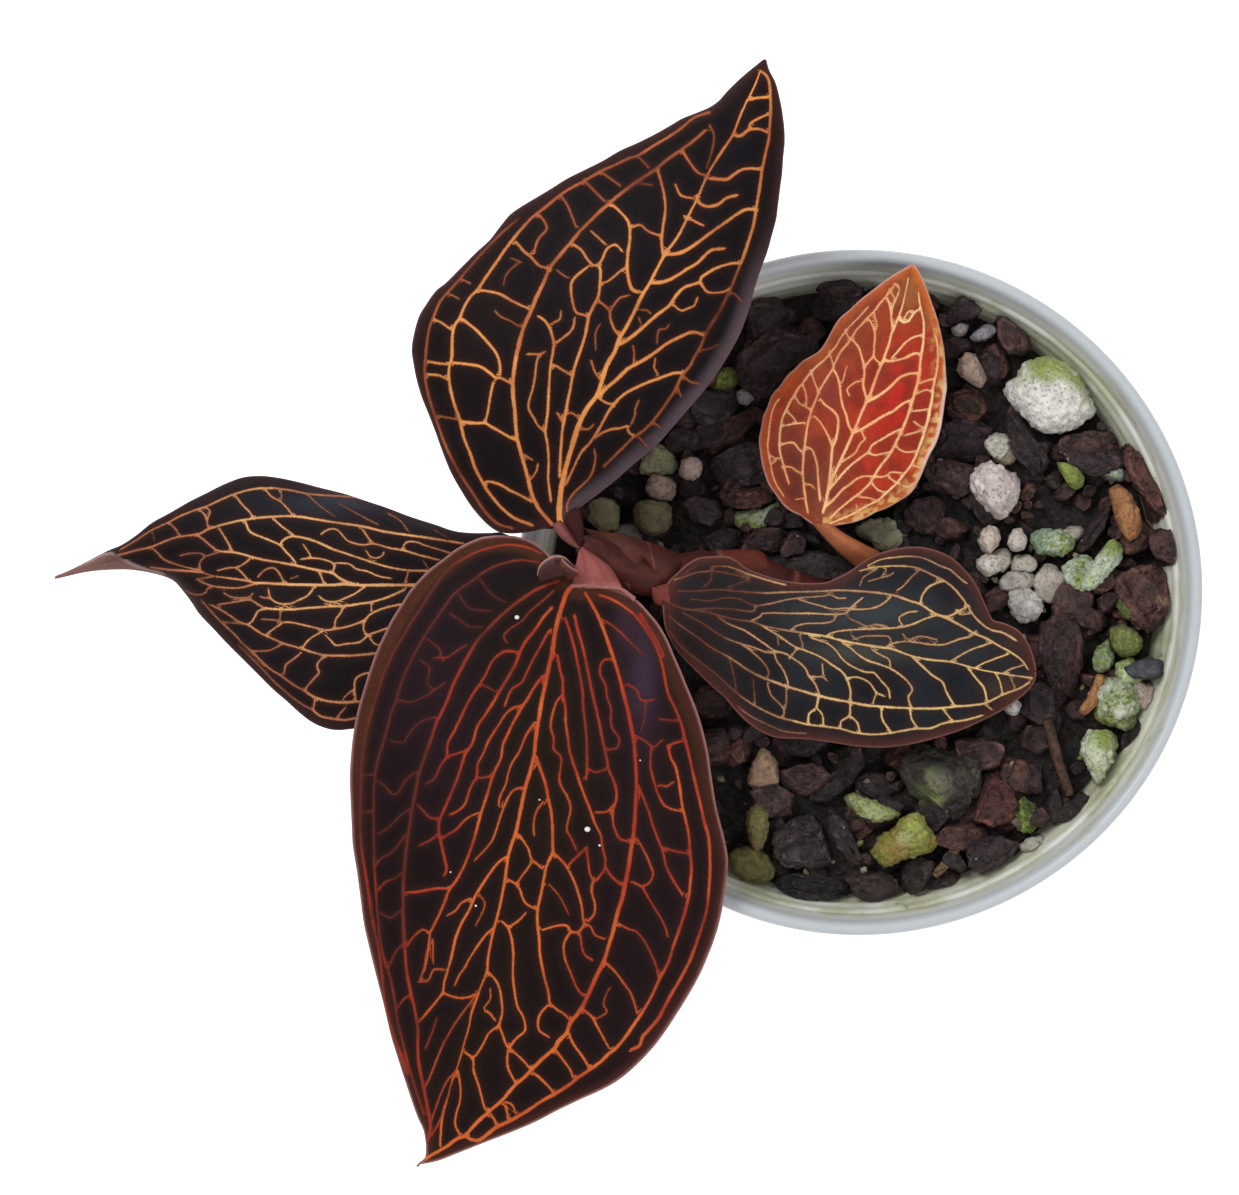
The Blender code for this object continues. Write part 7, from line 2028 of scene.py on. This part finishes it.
# small chips that lie lower, between the large ones:
# (kind, colour, top above the rim plane, outline)
SMALL = [
    ("stone", (176, 172, 170), -7.6, "738,392 746,388 755,396 746,404 738,400"),
    ("stone", (92, 104, 52), -7.8, "714,378 722,370 733,370 737,380 730,388 714,389"),
    ("stone", (150, 150, 118), -6.6, "640,470 645,455 655,447 668,450 675,462 672,470 655,473"),
    ("stone", (168, 144, 134), -6.4, "648,487 652,478 662,476 672,482 673,494 665,500 652,495"),
    ("stone", (146, 140, 110), -6.2, "588,515 592,505 602,500 613,503 618,514 615,526 605,530 595,525"),
    ("stone", (138, 132, 126), -7.4, "612,536 618,528 630,524 640,534 636,545 622,546"),
    ("stone", (150, 138, 124), -7.6, "638,547 650,542 662,545 664,554 650,554"),
    ("bark", (62, 48, 48), -6.6, "680,505 695,498 715,503 720,514 710,525 690,518"),
    ("stone", (178, 184, 158), -6.8, "735,515 750,510 765,508 775,504 770,515 762,527 745,528 738,522"),
    ("bark", (46, 34, 34), -7.2, "701,537 720,530 740,532 738,548 710,550"),
    ("bark", (50, 36, 36), -7.0, "770,520 785,512 800,515 800,526 775,525"),
    ("stone", (168, 156, 170), -7.2, "972,336 978,330 988,325 995,330 990,338 978,340"),
    ("stone", (160, 150, 150), -7.6, "953,328 960,323 967,326 964,334 956,335"),
    ("bark", (92, 56, 44), -7.2, "949,395 965,392 985,394 984,410 975,418 960,422 948,412"),
    ("bark", (52, 34, 40), -6.8, "940,430 965,423 985,432 992,445 985,462 960,460 935,455"),
    ("stone", (176, 160, 138), -7.0, "991,448 995,438 1007,437 1015,448 1012,462 998,460"),
    ("stone", (178, 190, 190), -7.2, "1095,475 1100,468 1112,466 1122,470 1120,480 1108,477"),
    ("stone", (196, 186, 176), -5.8, "988,560 995,552 1007,552 1010,562 1003,570 992,568"),
    ("stone", (196, 186, 176), -5.8, "1012,562 1018,556 1030,556 1035,565 1028,572 1015,571"),
    ("stone", (200, 192, 184), -5.6, "1001,580 1010,573 1030,575 1032,584 1020,590 1003,589"),
    ("stone", (194, 182, 172), -5.8, "1035,580 1045,568 1058,572 1065,580 1060,592 1050,600 1038,592"),
    ("stone", (150, 178, 160), -6.2, "1033,535 1045,530 1058,535 1055,546 1042,552 1034,545"),
    ("stone", (180, 172, 160), -6.8, "1060,533 1072,528 1082,530 1078,539 1062,541"),
    ("stone", (170, 186, 150), -6.6, "1098,648 1108,642 1112,655 1110,668 1100,670 1095,660"),
    ("stone", (200, 176, 168), -6.2, "1125,690 1138,684 1155,688 1158,700 1145,708 1130,702"),
    ("stone", (170, 182, 140), -6.2, "1100,700 1115,692 1130,700 1135,712 1130,728 1115,725 1100,718"),
    ("bark", (40, 30, 30), -6.2, "1122,728 1135,722 1152,732 1150,745 1138,760 1122,758"),
    ("stone", (216, 212, 206), -5.2, "1005,706 1013,699 1020,705 1016,714 1008,713"),
    ("bark", (66, 46, 42), -6.6, "1020,735 1035,722 1048,725 1050,745 1038,752 1022,745"),
    ("bark", (58, 40, 40), -7.0, "978,735 985,725 995,735 998,755 990,770 980,760"),
    ("bark", (84, 56, 44), -6.4, "1000,762 1012,758 1025,762 1030,775 1025,790 1012,785 1003,772"),
    ("stone", (58, 74, 42), -6.8, "1015,810 1022,800 1035,808 1038,820 1030,830 1018,828"),
    ("stone", (190, 184, 172), -7.0, "1022,845 1030,838 1042,838 1045,846 1035,852 1024,851"),
    ("bark", (44, 32, 32), -6.6, "1050,815 1060,800 1080,795 1090,800 1080,812 1060,822"),
    ("bark", (52, 38, 36), -6.8, "905,868 920,860 935,865 932,882 915,892 903,885"),
    ("stone", (116, 108, 66), -6.6, "732,855 748,848 765,858 770,875 755,880 735,873"),
    ("stone", (176, 140, 118), -6.6, "755,765 762,752 775,760 778,778 772,790 758,790 750,780"),
    ("bark", (56, 42, 40), -7.0, "832,750 850,748 862,755 860,775 850,785 835,782"),
    ("bark", (48, 36, 36), -7.0, "855,782 870,775 890,778 893,790 885,798 865,795"),
    ("bark", (60, 44, 42), -6.6, "850,880 865,872 890,878 898,890 890,902 870,900 858,892"),
    ("stone", (170, 164, 136), -6.0, "858,530 870,522 890,520 902,532 898,545 885,550 872,542"),
    ("stone", (218, 226, 204), -5.0, "1098,690 1108,682 1122,682 1134,692 1136,706 1126,716 1110,716 1100,706"),
    ("stone", (198, 212, 160), -5.6, "1118,664 1130,660 1140,668 1138,680 1126,684 1118,676"),
    ("stone", (206, 220, 200), -5.2, "1066,566 1078,558 1090,560 1094,574 1088,588 1074,590 1066,580"),
    ("stone", (222, 216, 210), -5.2, "1012,594 1024,590 1036,594 1042,606 1034,618 1020,620 1012,608"),
    ("stone", (196, 214, 204), -5.8, "1040,540 1052,532 1068,534 1072,546 1060,554 1044,552"),
    ("stone", (224, 214, 206), -5.0, "979,560 990,554 998,560 998,570 988,575 980,570"),
    ("stone", (206, 200, 190), -5.8, "988,440 998,434 1008,440 1008,452 998,458 989,450"),
    ("stone", (96, 104, 60), -6.0, "1120,600 1132,596 1140,606 1134,618 1122,616"),
    ("bark", (84, 58, 54), -4.9, "1052,590 1074,584 1090,598 1092,616 1076,628 1058,618"),
    ("bark", (58, 40, 44), -4.9, "1066,450 1092,444 1116,452 1122,466 1100,474 1074,468"),
    ("bark", (76, 52, 50), -4.8, "930,470 950,462 972,468 976,484 956,494 934,488"),
    ("bark", (66, 46, 48), -5.2, "880,470 900,462 914,470 914,486 896,492"),
    ("bark", (62, 42, 46), -4.9, "1022,690 1040,684 1056,694 1056,712 1038,722 1022,710"),
    ("bark", (88, 60, 56), -5.2, "960,742 982,738 1000,748 996,764 974,768 960,758"),
    ("bark", (56, 40, 42), -5.0, "860,806 884,796 900,804 896,820 872,826"),
    ("bark", (70, 48, 48), -5.2, "752,792 776,786 792,796 788,812 764,816"),
    ("bark", (60, 42, 44), -5.2, "690,425 712,418 726,428 720,444 698,446"),
    ("bark", (78, 54, 52), -5.4, "820,286 842,280 860,288 856,302 832,306"),
    ("bark", (62, 50, 50), -5.4, "767,557 790,554 815,556 840,560 856,570 846,580 815,582 785,578 770,570"),
]


def make_small():
    bark, stone = Heap(), Heap()
    for i, (kind, colour, top, text) in enumerate(SMALL):
        outline = points_of(text)
        P, tri, lam = chip_shape(kind, top, -11.4, outline, 4, 300 + i,
                                 grow=1.16, colour=colour)
        green = 1.0 if colour[1] > colour[0] + 4 else 0.15
        (bark if kind == "bark" else stone).add(P, None, tri, c_lam=lam,
                                                algae=green)
    # crumbs that fill the gaps
    rng = np.random.default_rng(21)
    tones = [(58, 39, 38), (76, 49, 45), (46, 32, 34), (90, 58, 50),
             (66, 44, 42)]
    pale = [(150, 134, 124), (172, 160, 150), (128, 126, 84),
            (110, 96, 86)]
    n = 120 if DETAIL > 1.5 else 230
    for i in range(n):
        r, a = 43.0 * math.sqrt(rng.uniform()), rng.uniform(0, 2 * math.pi)
        u, v = AXIS_U + r * math.cos(a) * UNITS, AXIS_V + r * math.sin(a) * UNITS
        is_bark = rng.uniform() < 0.72
        size = rng.uniform(5, 12) if is_bark else rng.uniform(3, 6.5)
        k = rng.integers(5, 8)
        th = np.sort(rng.uniform(0, 2 * np.pi, k))
        th = np.linspace(0, 2 * np.pi, k, endpoint=False) + rng.uniform(
            -0.3, 0.3, k)
        rr = size * rng.uniform(0.6, 1.15, k)
        el = rng.uniform(0.5, 1.0)
        ph = rng.uniform(0, np.pi)
        x, y = np.cos(th) * rr, np.sin(th) * rr * el
        outline = np.stack([u + x * np.cos(ph) - y * np.sin(ph),
                            v + x * np.sin(ph) + y * np.cos(ph)], -1)
        top = rng.uniform(-9.2, -6.6)
        colour = tones[rng.integers(len(tones))] if is_bark else \
            pale[rng.integers(len(pale))]
        P, tri, lam = chip_shape("bark" if is_bark else "stone", top,
                                 top - size / UNITS * 1.5, outline, 3,
                                 900 + i, colour=colour)
        (bark if is_bark else stone).add(P, None, tri, c_lam=lam,
                                         algae=rng.uniform(0, 0.6))
    for name, heap, mat, slot in (("small_bark", bark, M_BARK, "bark_chip"),
                                  ("small_stones", stone, M_STONE,
                                   "pumice_stone")):
        ob = heap.object(name, mat, sharp=34 if mat is M_BARK else 0)
    make_filler(tones)


def inside(poly, u, v):
    p, q = np.asarray(poly), np.roll(np.asarray(poly), -1, 0)
    cross = ((p[:, 1] > v) != (q[:, 1] > v)) & (
        u < (q[:, 0] - p[:, 0]) * (v - p[:, 1])
        / np.where(q[:, 1] == p[:, 1], 1e-9, q[:, 1] - p[:, 1]) + p[:, 0])
    return cross.sum() % 2 == 1


def make_filler(tones):
    """Angular slabs of bark between the chips that were laid out."""
    rng = np.random.default_rng(77)
    laid = [np.array(c[4], float) for c in CHIPS.values()] + [
        np.array(points_of(c[3]), float) for c in SMALL]
    heap, put = Heap(), []
    want = 70 if DETAIL > 1.5 else 215
    for tries in range(6000):
        if len(put) >= want:
            break
        r, a = 44.0 * math.sqrt(rng.uniform()), rng.uniform(0, 2 * math.pi)
        u, v = AXIS_U + r * math.cos(a) * UNITS, AXIS_V + r * math.sin(a) * UNITS
        size = rng.uniform(13, 31) * (1.0 if len(put) < 80 else 0.62)
        if any(inside(p, u, v) for p in laid):
            continue
        if any(math.hypot(u - x, v - y) < (size + s) * 0.46
               for (x, y, s) in put):
            continue
        put.append((u, v, size))
        k = rng.integers(5, 8)
        th = np.linspace(0, 2 * np.pi, k, endpoint=False) + rng.uniform(
            -0.3, 0.3, k)
        rr = size * rng.uniform(0.75, 1.15, k)
        ph, el = rng.uniform(0, np.pi), rng.uniform(0.4, 0.9)
        x, y = np.cos(th) * rr, np.sin(th) * rr * el
        outline = np.stack([u + x * np.cos(ph) - y * np.sin(ph),
                            v + x * np.sin(ph) + y * np.cos(ph)], -1)
        top = rng.uniform(-8.6, -5.2)
        P, tri, lam = chip_shape("bark", top, top - 5.5, outline,
                                 4 if size > 26 and DETAIL < 1.5 else 3,
                                 2000 + len(put),
                                 colour=tones[rng.integers(len(tones))])
        heap.add(P, None, tri, c_lam=lam)
    ob = heap.object("filler_bark", M_BARK, sharp=34)


# ----------------------------------------------------------------- pot and mix
def revolve(heap, profile, seg, paint, wobble=None):
    """Turned skin round Z; a profile point on the axis becomes one point."""
    ang = np.linspace(0, 2 * np.pi, seg, endpoint=False)
    rows, tops = [], []
    count = 0
    for (x, z) in profile:
        if x < 1e-6:
            rows.append(("p", count))
            tops.append(np.array([[0.0, 0.0, z]]))
            count += 1
        else:
            rr = np.full(seg, float(x))
            zz = np.full(seg, float(z))
            if wobble is not None:
                rr, zz = wobble(rr, zz, ang)
            rows.append(("r", count))
            tops.append(np.stack([rr * np.cos(ang), rr * np.sin(ang), zz], -1))
            count += seg
    co = np.vstack(tops)
    quads, tris = [], []
    j = np.arange(seg)
    k = (j + 1) % seg
    for (ka, a), (kb, b) in zip(rows[:-1], rows[1:]):
        if ka == "r" and kb == "r":
            quads.append(np.stack([a + j, b + j, b + k, a + k], -1))
        elif ka == "r":
            tris.append(np.stack([a + j, np.full(seg, b), a + k], -1))
        elif kb == "r":
            tris.append(np.stack([np.full(seg, a), b + j, b + k], -1))
    heap.add(co, np.vstack(quads), np.vstack(tris) if tris else None,
             **paint(co))


POT_PROFILE = [
    (0, 1.6), (14, 1.6), (17.5, 1.6), (24.5, 1.6), (28, 1.6), (31.6, 1.6),
    (32.8, 1.65), (33.7, 2.0), (34.3, 2.7), (34.6, 3.8), (36.3, 15.0),
    (38.1, 27.0), (40.0, 39.0), (41.8, 51.0), (43.5, 62.5), (44.6, 69.5),
    (45.2, 73.2), (45.5, 74.6), (45.62, 75.1), (45.9, 75.5), (46.0, 76.0),
    (46.05, 76.8), (46.3, 77.4), (46.6, 77.8), (46.7, 78.4), (46.75, 79.0),
    (47.0, 79.35), (47.3, 79.55), (47.38, 80.0), (47.45, 80.7), (47.52, 81.4),
    (47.6, 82.0), (47.72, 82.4), (47.76, 82.9), (47.84, 83.4), (47.95, 83.9),
    (48.12, 84.35), (48.36, 84.68), (48.66, 84.9), (49.0, 84.97),
    (49.34, 84.88), (49.64, 84.66), (49.86, 84.34), (49.98, 83.9),
    (49.96, 83.4), (49.82, 82.96), (49.58, 82.66), (49.34, 82.46),
    (49.22, 82.1), (49.15, 81.0), (49.05, 79.4), (48.95, 78.1),
    (48.88, 77.5), (48.66, 77.05), (48.2, 76.75), (47.6, 76.6),
    (47.35, 76.3), (47.22, 75.6), (45.4, 64.0), (43.5, 51.5), (41.6, 39.0),
    (39.7, 26.5), (37.8, 14.0), (36.3, 4.2), (36.05, 2.4), (35.85, 1.2),
    (35.45, 0.45), (34.8, 0.08), (34.0, 0.0), (30, 0.0), (27.8, 0.0),
    (24.6, 0.0), (17.4, 0.0), (14, 0.0), (0, 0.0)]


def paint_pot(co):
    r = np.hypot(co[:, 0], co[:, 1])
    z = co[:, 2]
    q = co / 5.0
    top = POT_PROFILE.index((49.0, 84.97))
    seg = (len(co) - 2) // (len(POT_PROFILE) - 2)
    within = np.arange(len(co)) < 1 + (top - 1) * seg
    lam = np.broadcast_to(lin(178, 183, 187), co.shape).copy()
    lam = mix(lam, lin(204, 207, 208), ease((76 - z) / 3.0) * ~within)
    # painted light: the inner wall below the lip is lighter, to lift it out of the pot's shade
    inner = ease((84.2 - z) / 1.5) * within
    lam = mix(lam, lin(208, 210, 204), inner)
    n = fbm(q * [1, 1, 2.2], 4, 60)
    a = np.degrees(np.arctan2(co[:, 1], co[:, 0]))
    side = np.exp(-((a + 28) / 34) ** 2) + 0.7 * np.exp(-((a - 40) / 22) ** 2) \
        + 0.6 * np.exp(-((a + 80) / 26) ** 2)
    algae = ease((82.4 - z) / 6.0 + n * 1.4 - 0.45 + side * 0.7) \
        * within * (z > 60)
    low = ease((z - 70) / -6) * within * (z > 2)
    lam = mix(lam, lin(168, 170, 132), np.clip(algae + low, 0, 1) * 0.6)
    dust = ease((9 - z) / 9.0) * ~within * 0.35
    return dict(c_lam=lam, algae=np.clip(algae * 0.9 + low * 0.5 + dust, 0,
                                         1))


def make_pot():
    heap = Heap()
    seg = 128 if DETAIL > 1.5 else 240

    def wobble(r, z, a):
        if z[0] > 60:
            r = r + 0.035 * np.sin(3 * a + 1.0) + 0.02 * np.sin(7 * a)
        return r, z
    revolve(heap, POT_PROFILE, seg, paint_pot, wobble)
    pot = heap.object("nursery_pot", M_POT, body=None)
    bm = bmesh.new()
    for i in range(8):
        a = 2 * math.pi * (i + 0.5) / 8
        part = bmesh.ops.create_cone(bm, cap_ends=True, segments=32,
                                     radius1=1.8 * MM, radius2=1.8 * MM,
                                     depth=8.0 * MM)
        bmesh.ops.translate(bm, verts=part["verts"], vec=Vector(
            (21 * math.cos(a), 21 * math.sin(a), 0)) * MM)
    me = bpy.data.meshes.new("drain")
    bm.to_mesh(me)
    bm.free()
    cut = bpy.data.objects.new("drain", me)
    bpy.context.scene.collection.objects.link(cut)
    mod = pot.modifiers.new("drain", "BOOLEAN")
    mod.operation, mod.solver, mod.object = "DIFFERENCE", "EXACT", cut
    bpy.context.view_layer.update()
    dg = bpy.context.evaluated_depsgraph_get()
    done = bpy.data.meshes.new_from_object(pot.evaluated_get(dg))
    pot.modifiers.clear()
    pot.data = done
    pot.data.name = "nursery_pot"
    bpy.data.objects.remove(cut, do_unlink=True)
    pot.data.shade_smooth()
    pot.data.set_sharp_from_angle(angle=math.radians(40))
    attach(pot, "root")
    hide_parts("pot")
    return pot


def make_mix():
    heap = Heap()
    rad = np.linspace(0, 44.6, 50 if DETAIL > 1.5 else 80)
    seg = 120 if DETAIL > 1.5 else 200
    prof = [(r, POT_H - 10.4) for r in rad] + [
        (45.05, 73.2), (44.9, 71.5), (44.0, 66), (40.6, 44), (37.2, 22),
        (34.6, 6), (34.2, 3.9), (33.2, 2.2), (32.2, 1.95), (20, 1.95),
        (0, 1.95)]
    ang = np.linspace(0, 2 * np.pi, seg, endpoint=False)

    def wobble(r, z, a):
        if z[0] < POT_H - 10.5:
            return r, z
        p = np.stack([r * np.cos(a), r * np.sin(a), 0 * a], -1)
        n = fbm(p * 0.35, 3, 70) * 1.5 + fbm(p * 1.5, 4, 71) * 0.9
        edge = ease((44.8 - r) / 2.0)
        return r, z + n * edge * 0.9

    def paint(co):
        q = co
        # near-black base: the mix's own dark colour, deepened as painted shade in the gaps between the chips
        lam = mix(np.broadcast_to(lin(20, 14, 15), co.shape), lin(42, 29, 27),
                  ease(fbm(q * 0.9, 4, 72) * 1.4 + 0.2))
        lam = mix(lam, lin(96, 80, 64), ease(fbm(q * 2.3, 3, 73) * 2 - 0.75))
        lam = mix(lam, lin(74, 80, 40), ease(fbm(q * 0.5, 3, 74) * 2 - 0.9)
                  * 0.6)
        return dict(c_lam=lam)
    revolve(heap, prof[::-1], seg, paint, wobble)
    ob = heap.object("packed_mix", M_BARK)
    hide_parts("potting_mix")
    return ob


# ----------------------------------------------------------------- stage, view
def make_stage():
    lo, hi = -0.9, 0.9
    me = bpy.data.meshes.new("floor")
    me.from_pydata([(lo, lo, 0), (hi, lo, 0), (hi, hi, 0), (lo, hi, 0)], [],
                   [(0, 1, 2, 3)])
    mat, nt, bsdf = tree("floor_white")
    bsdf.inputs["Base Color"].default_value = (0.96, 0.96, 0.96, 1)
    bsdf.inputs["Emission Color"].default_value = (1, 1, 1, 1)
    bsdf.inputs["Emission Strength"].default_value = 0.40
    bsdf.inputs["Roughness"].default_value = 0.9
    bsdf.inputs["Specular IOR Level"].default_value = 0.1
    me.materials.append(mat)
    floor = bpy.data.objects.new("floor", me)
    floor.location.z = -0.0002
    bpy.context.scene.collection.objects.link(floor)

    world = bpy.context.scene.world or bpy.data.worlds.new("world")
    bpy.context.scene.world = world
    world.use_nodes = True
    bg = world.node_tree.nodes.get("Background") or \
        world.node_tree.nodes.new("ShaderNodeBackground")
    bg.inputs["Color"].default_value = (1.0, 1.0, 1.0, 1)
    bg.inputs["Strength"].default_value = WORLD

    def area(name, place, size, power, aim=(0, 0, 0.085), colour=(1, 1, 1)):
        data = bpy.data.lights.new(name, "AREA")
        data.shape, data.size, data.energy = "DISK", size, power
        data.color = colour
        ob = bpy.data.objects.new(name, data)
        ob.location = place
        ob.rotation_euler = (Vector(aim) - Vector(place)).to_track_quat(
            "-Z", "Y").to_euler()
        bpy.context.scene.collection.objects.link(ob)
    area("key", (-0.45, 0.45, 0.85), 0.45, KEY)
    area("fill", (0.7, -0.3, 0.7), 0.8, FILL)
    area("low_fill", (0.25, -0.75, 0.6), 0.8, FILL * 0.8)

    cam = bpy.data.cameras.new("camera")
    cam.sensor_width = 36.0
    cam.sensor_fit = "HORIZONTAL"
    cam.lens = 36.0 * FOCAL / 1239.0
    cam.clip_start, cam.clip_end = 0.01, 10.0
    ob = bpy.data.objects.new("camera", cam)
    ob.location = (VIEW_X * MM, VIEW_Y * MM, (POT_H + VIEW_H) * MM)
    bpy.context.scene.collection.objects.link(ob)
    bpy.context.scene.camera = ob
    bpy.context.scene.view_settings.view_transform = "Standard"
    bpy.context.scene.view_settings.look = "None"


WORLD, KEY, FILL = 0.60, 5.8, 1.7
# grains that lie on the lower leaf: place and radius in the drawing
GRIT = [(517, 617, 2.4), (588, 828, 3.0), (599, 845, 1.3), (476, 905, 1.3),
        (540, 800, 1.0), (452, 872, 1.0), (640, 760, 0.9)]

for name, args in {
        "leaf_upper": (M_LEAF, "leaf_velvet", paint_upper, vein_upper, 2.0,
                       stalk_upper),
        "leaf_lower": (M_LEAF, "leaf_velvet", paint_lower, vein_lower, 2.2,
                       stalk_lower),
        "leaf_left": (M_LEAF, "leaf_velvet", paint_left, vein_left, 1.85,
                      stalk_left),
        "leaf_right": (M_LEAF, "leaf_velvet", paint_right, vein_right, 1.6,
                       stalk_right),
        "leaf_red": (M_YOUNG, "leaf_red", paint_red, vein_red, 1.45,
                     stalk_red)}.items():
    mat, slot, paint, vpaint, step, stalks = args
    under = (150, 60, 44) if name == "leaf_red" else (112, 62, 70)
    halo = (150, 60, 30) if name == "leaf_red" else (66, 34, 24)
    make_leaf(name, mat, LEAVES[name], VEINS[name], paint, vpaint,
              step, stalks=stalks, under=under, halo=halo,
              slim={"leaf_upper": 0.84, "leaf_lower": 0.74, "leaf_left": 0.60,
                    "leaf_right": 0.60, "leaf_red": 0.70}[name],
              deep={"leaf_red": 0.86, "leaf_right": 0.8, "leaf_lower": 0.42,
                    "leaf_upper": 0.36, "leaf_left": 0.45}[name],
              specks=GRIT if name == "leaf_lower" else ())
make_stem()
make_bud()
thread("dry_stick", "stick",
       [(1046, 715, -7.2, 0.75, 0.7), (1053, 742, -6.8, 0.8, 0.75),
        (1062, 772, -7.0, 0.75, 0.7), (1070, 796, -7.6, 0.7, 0.65)],
       M_BARK, (98, 62, 44), seed=51)
thread("dry_curl", "dry_root",
       [(962, 833, -8.5, 0.7, 0.6), (956, 848, -7.6, 0.75, 0.65),
        (947, 862, -7.4, 0.75, 0.65), (934, 876, -8.2, 0.6, 0.55)],
       M_BARK, (150, 118, 84), seed=52)
for key, path in {
        "root_01": [(884, 606, -8.0, 0.9, 0.9), (893, 600, -13.0, 0.95, 0.95),
                    (905, 596, -20.0, 0.9, 0.9), (912, 604, -30.0, 0.8, 0.8),
                    (906, 618, -42.0, 0.6, 0.6)],
        "root_02": [(836, 600, -6.2, 0.9, 0.9), (832, 606, -12.0, 0.95, 0.95),
                    (824, 618, -22.0, 0.9, 0.9), (832, 628, -36.0, 0.8, 0.8),
                    (846, 622, -52.0, 0.6, 0.6)]}.items():
    thread(key + "_hairy", key, path, M_STONE, (176, 140, 96),
           seed=53)
make_chips()
make_small()
make_pot()
make_mix()
make_stage()
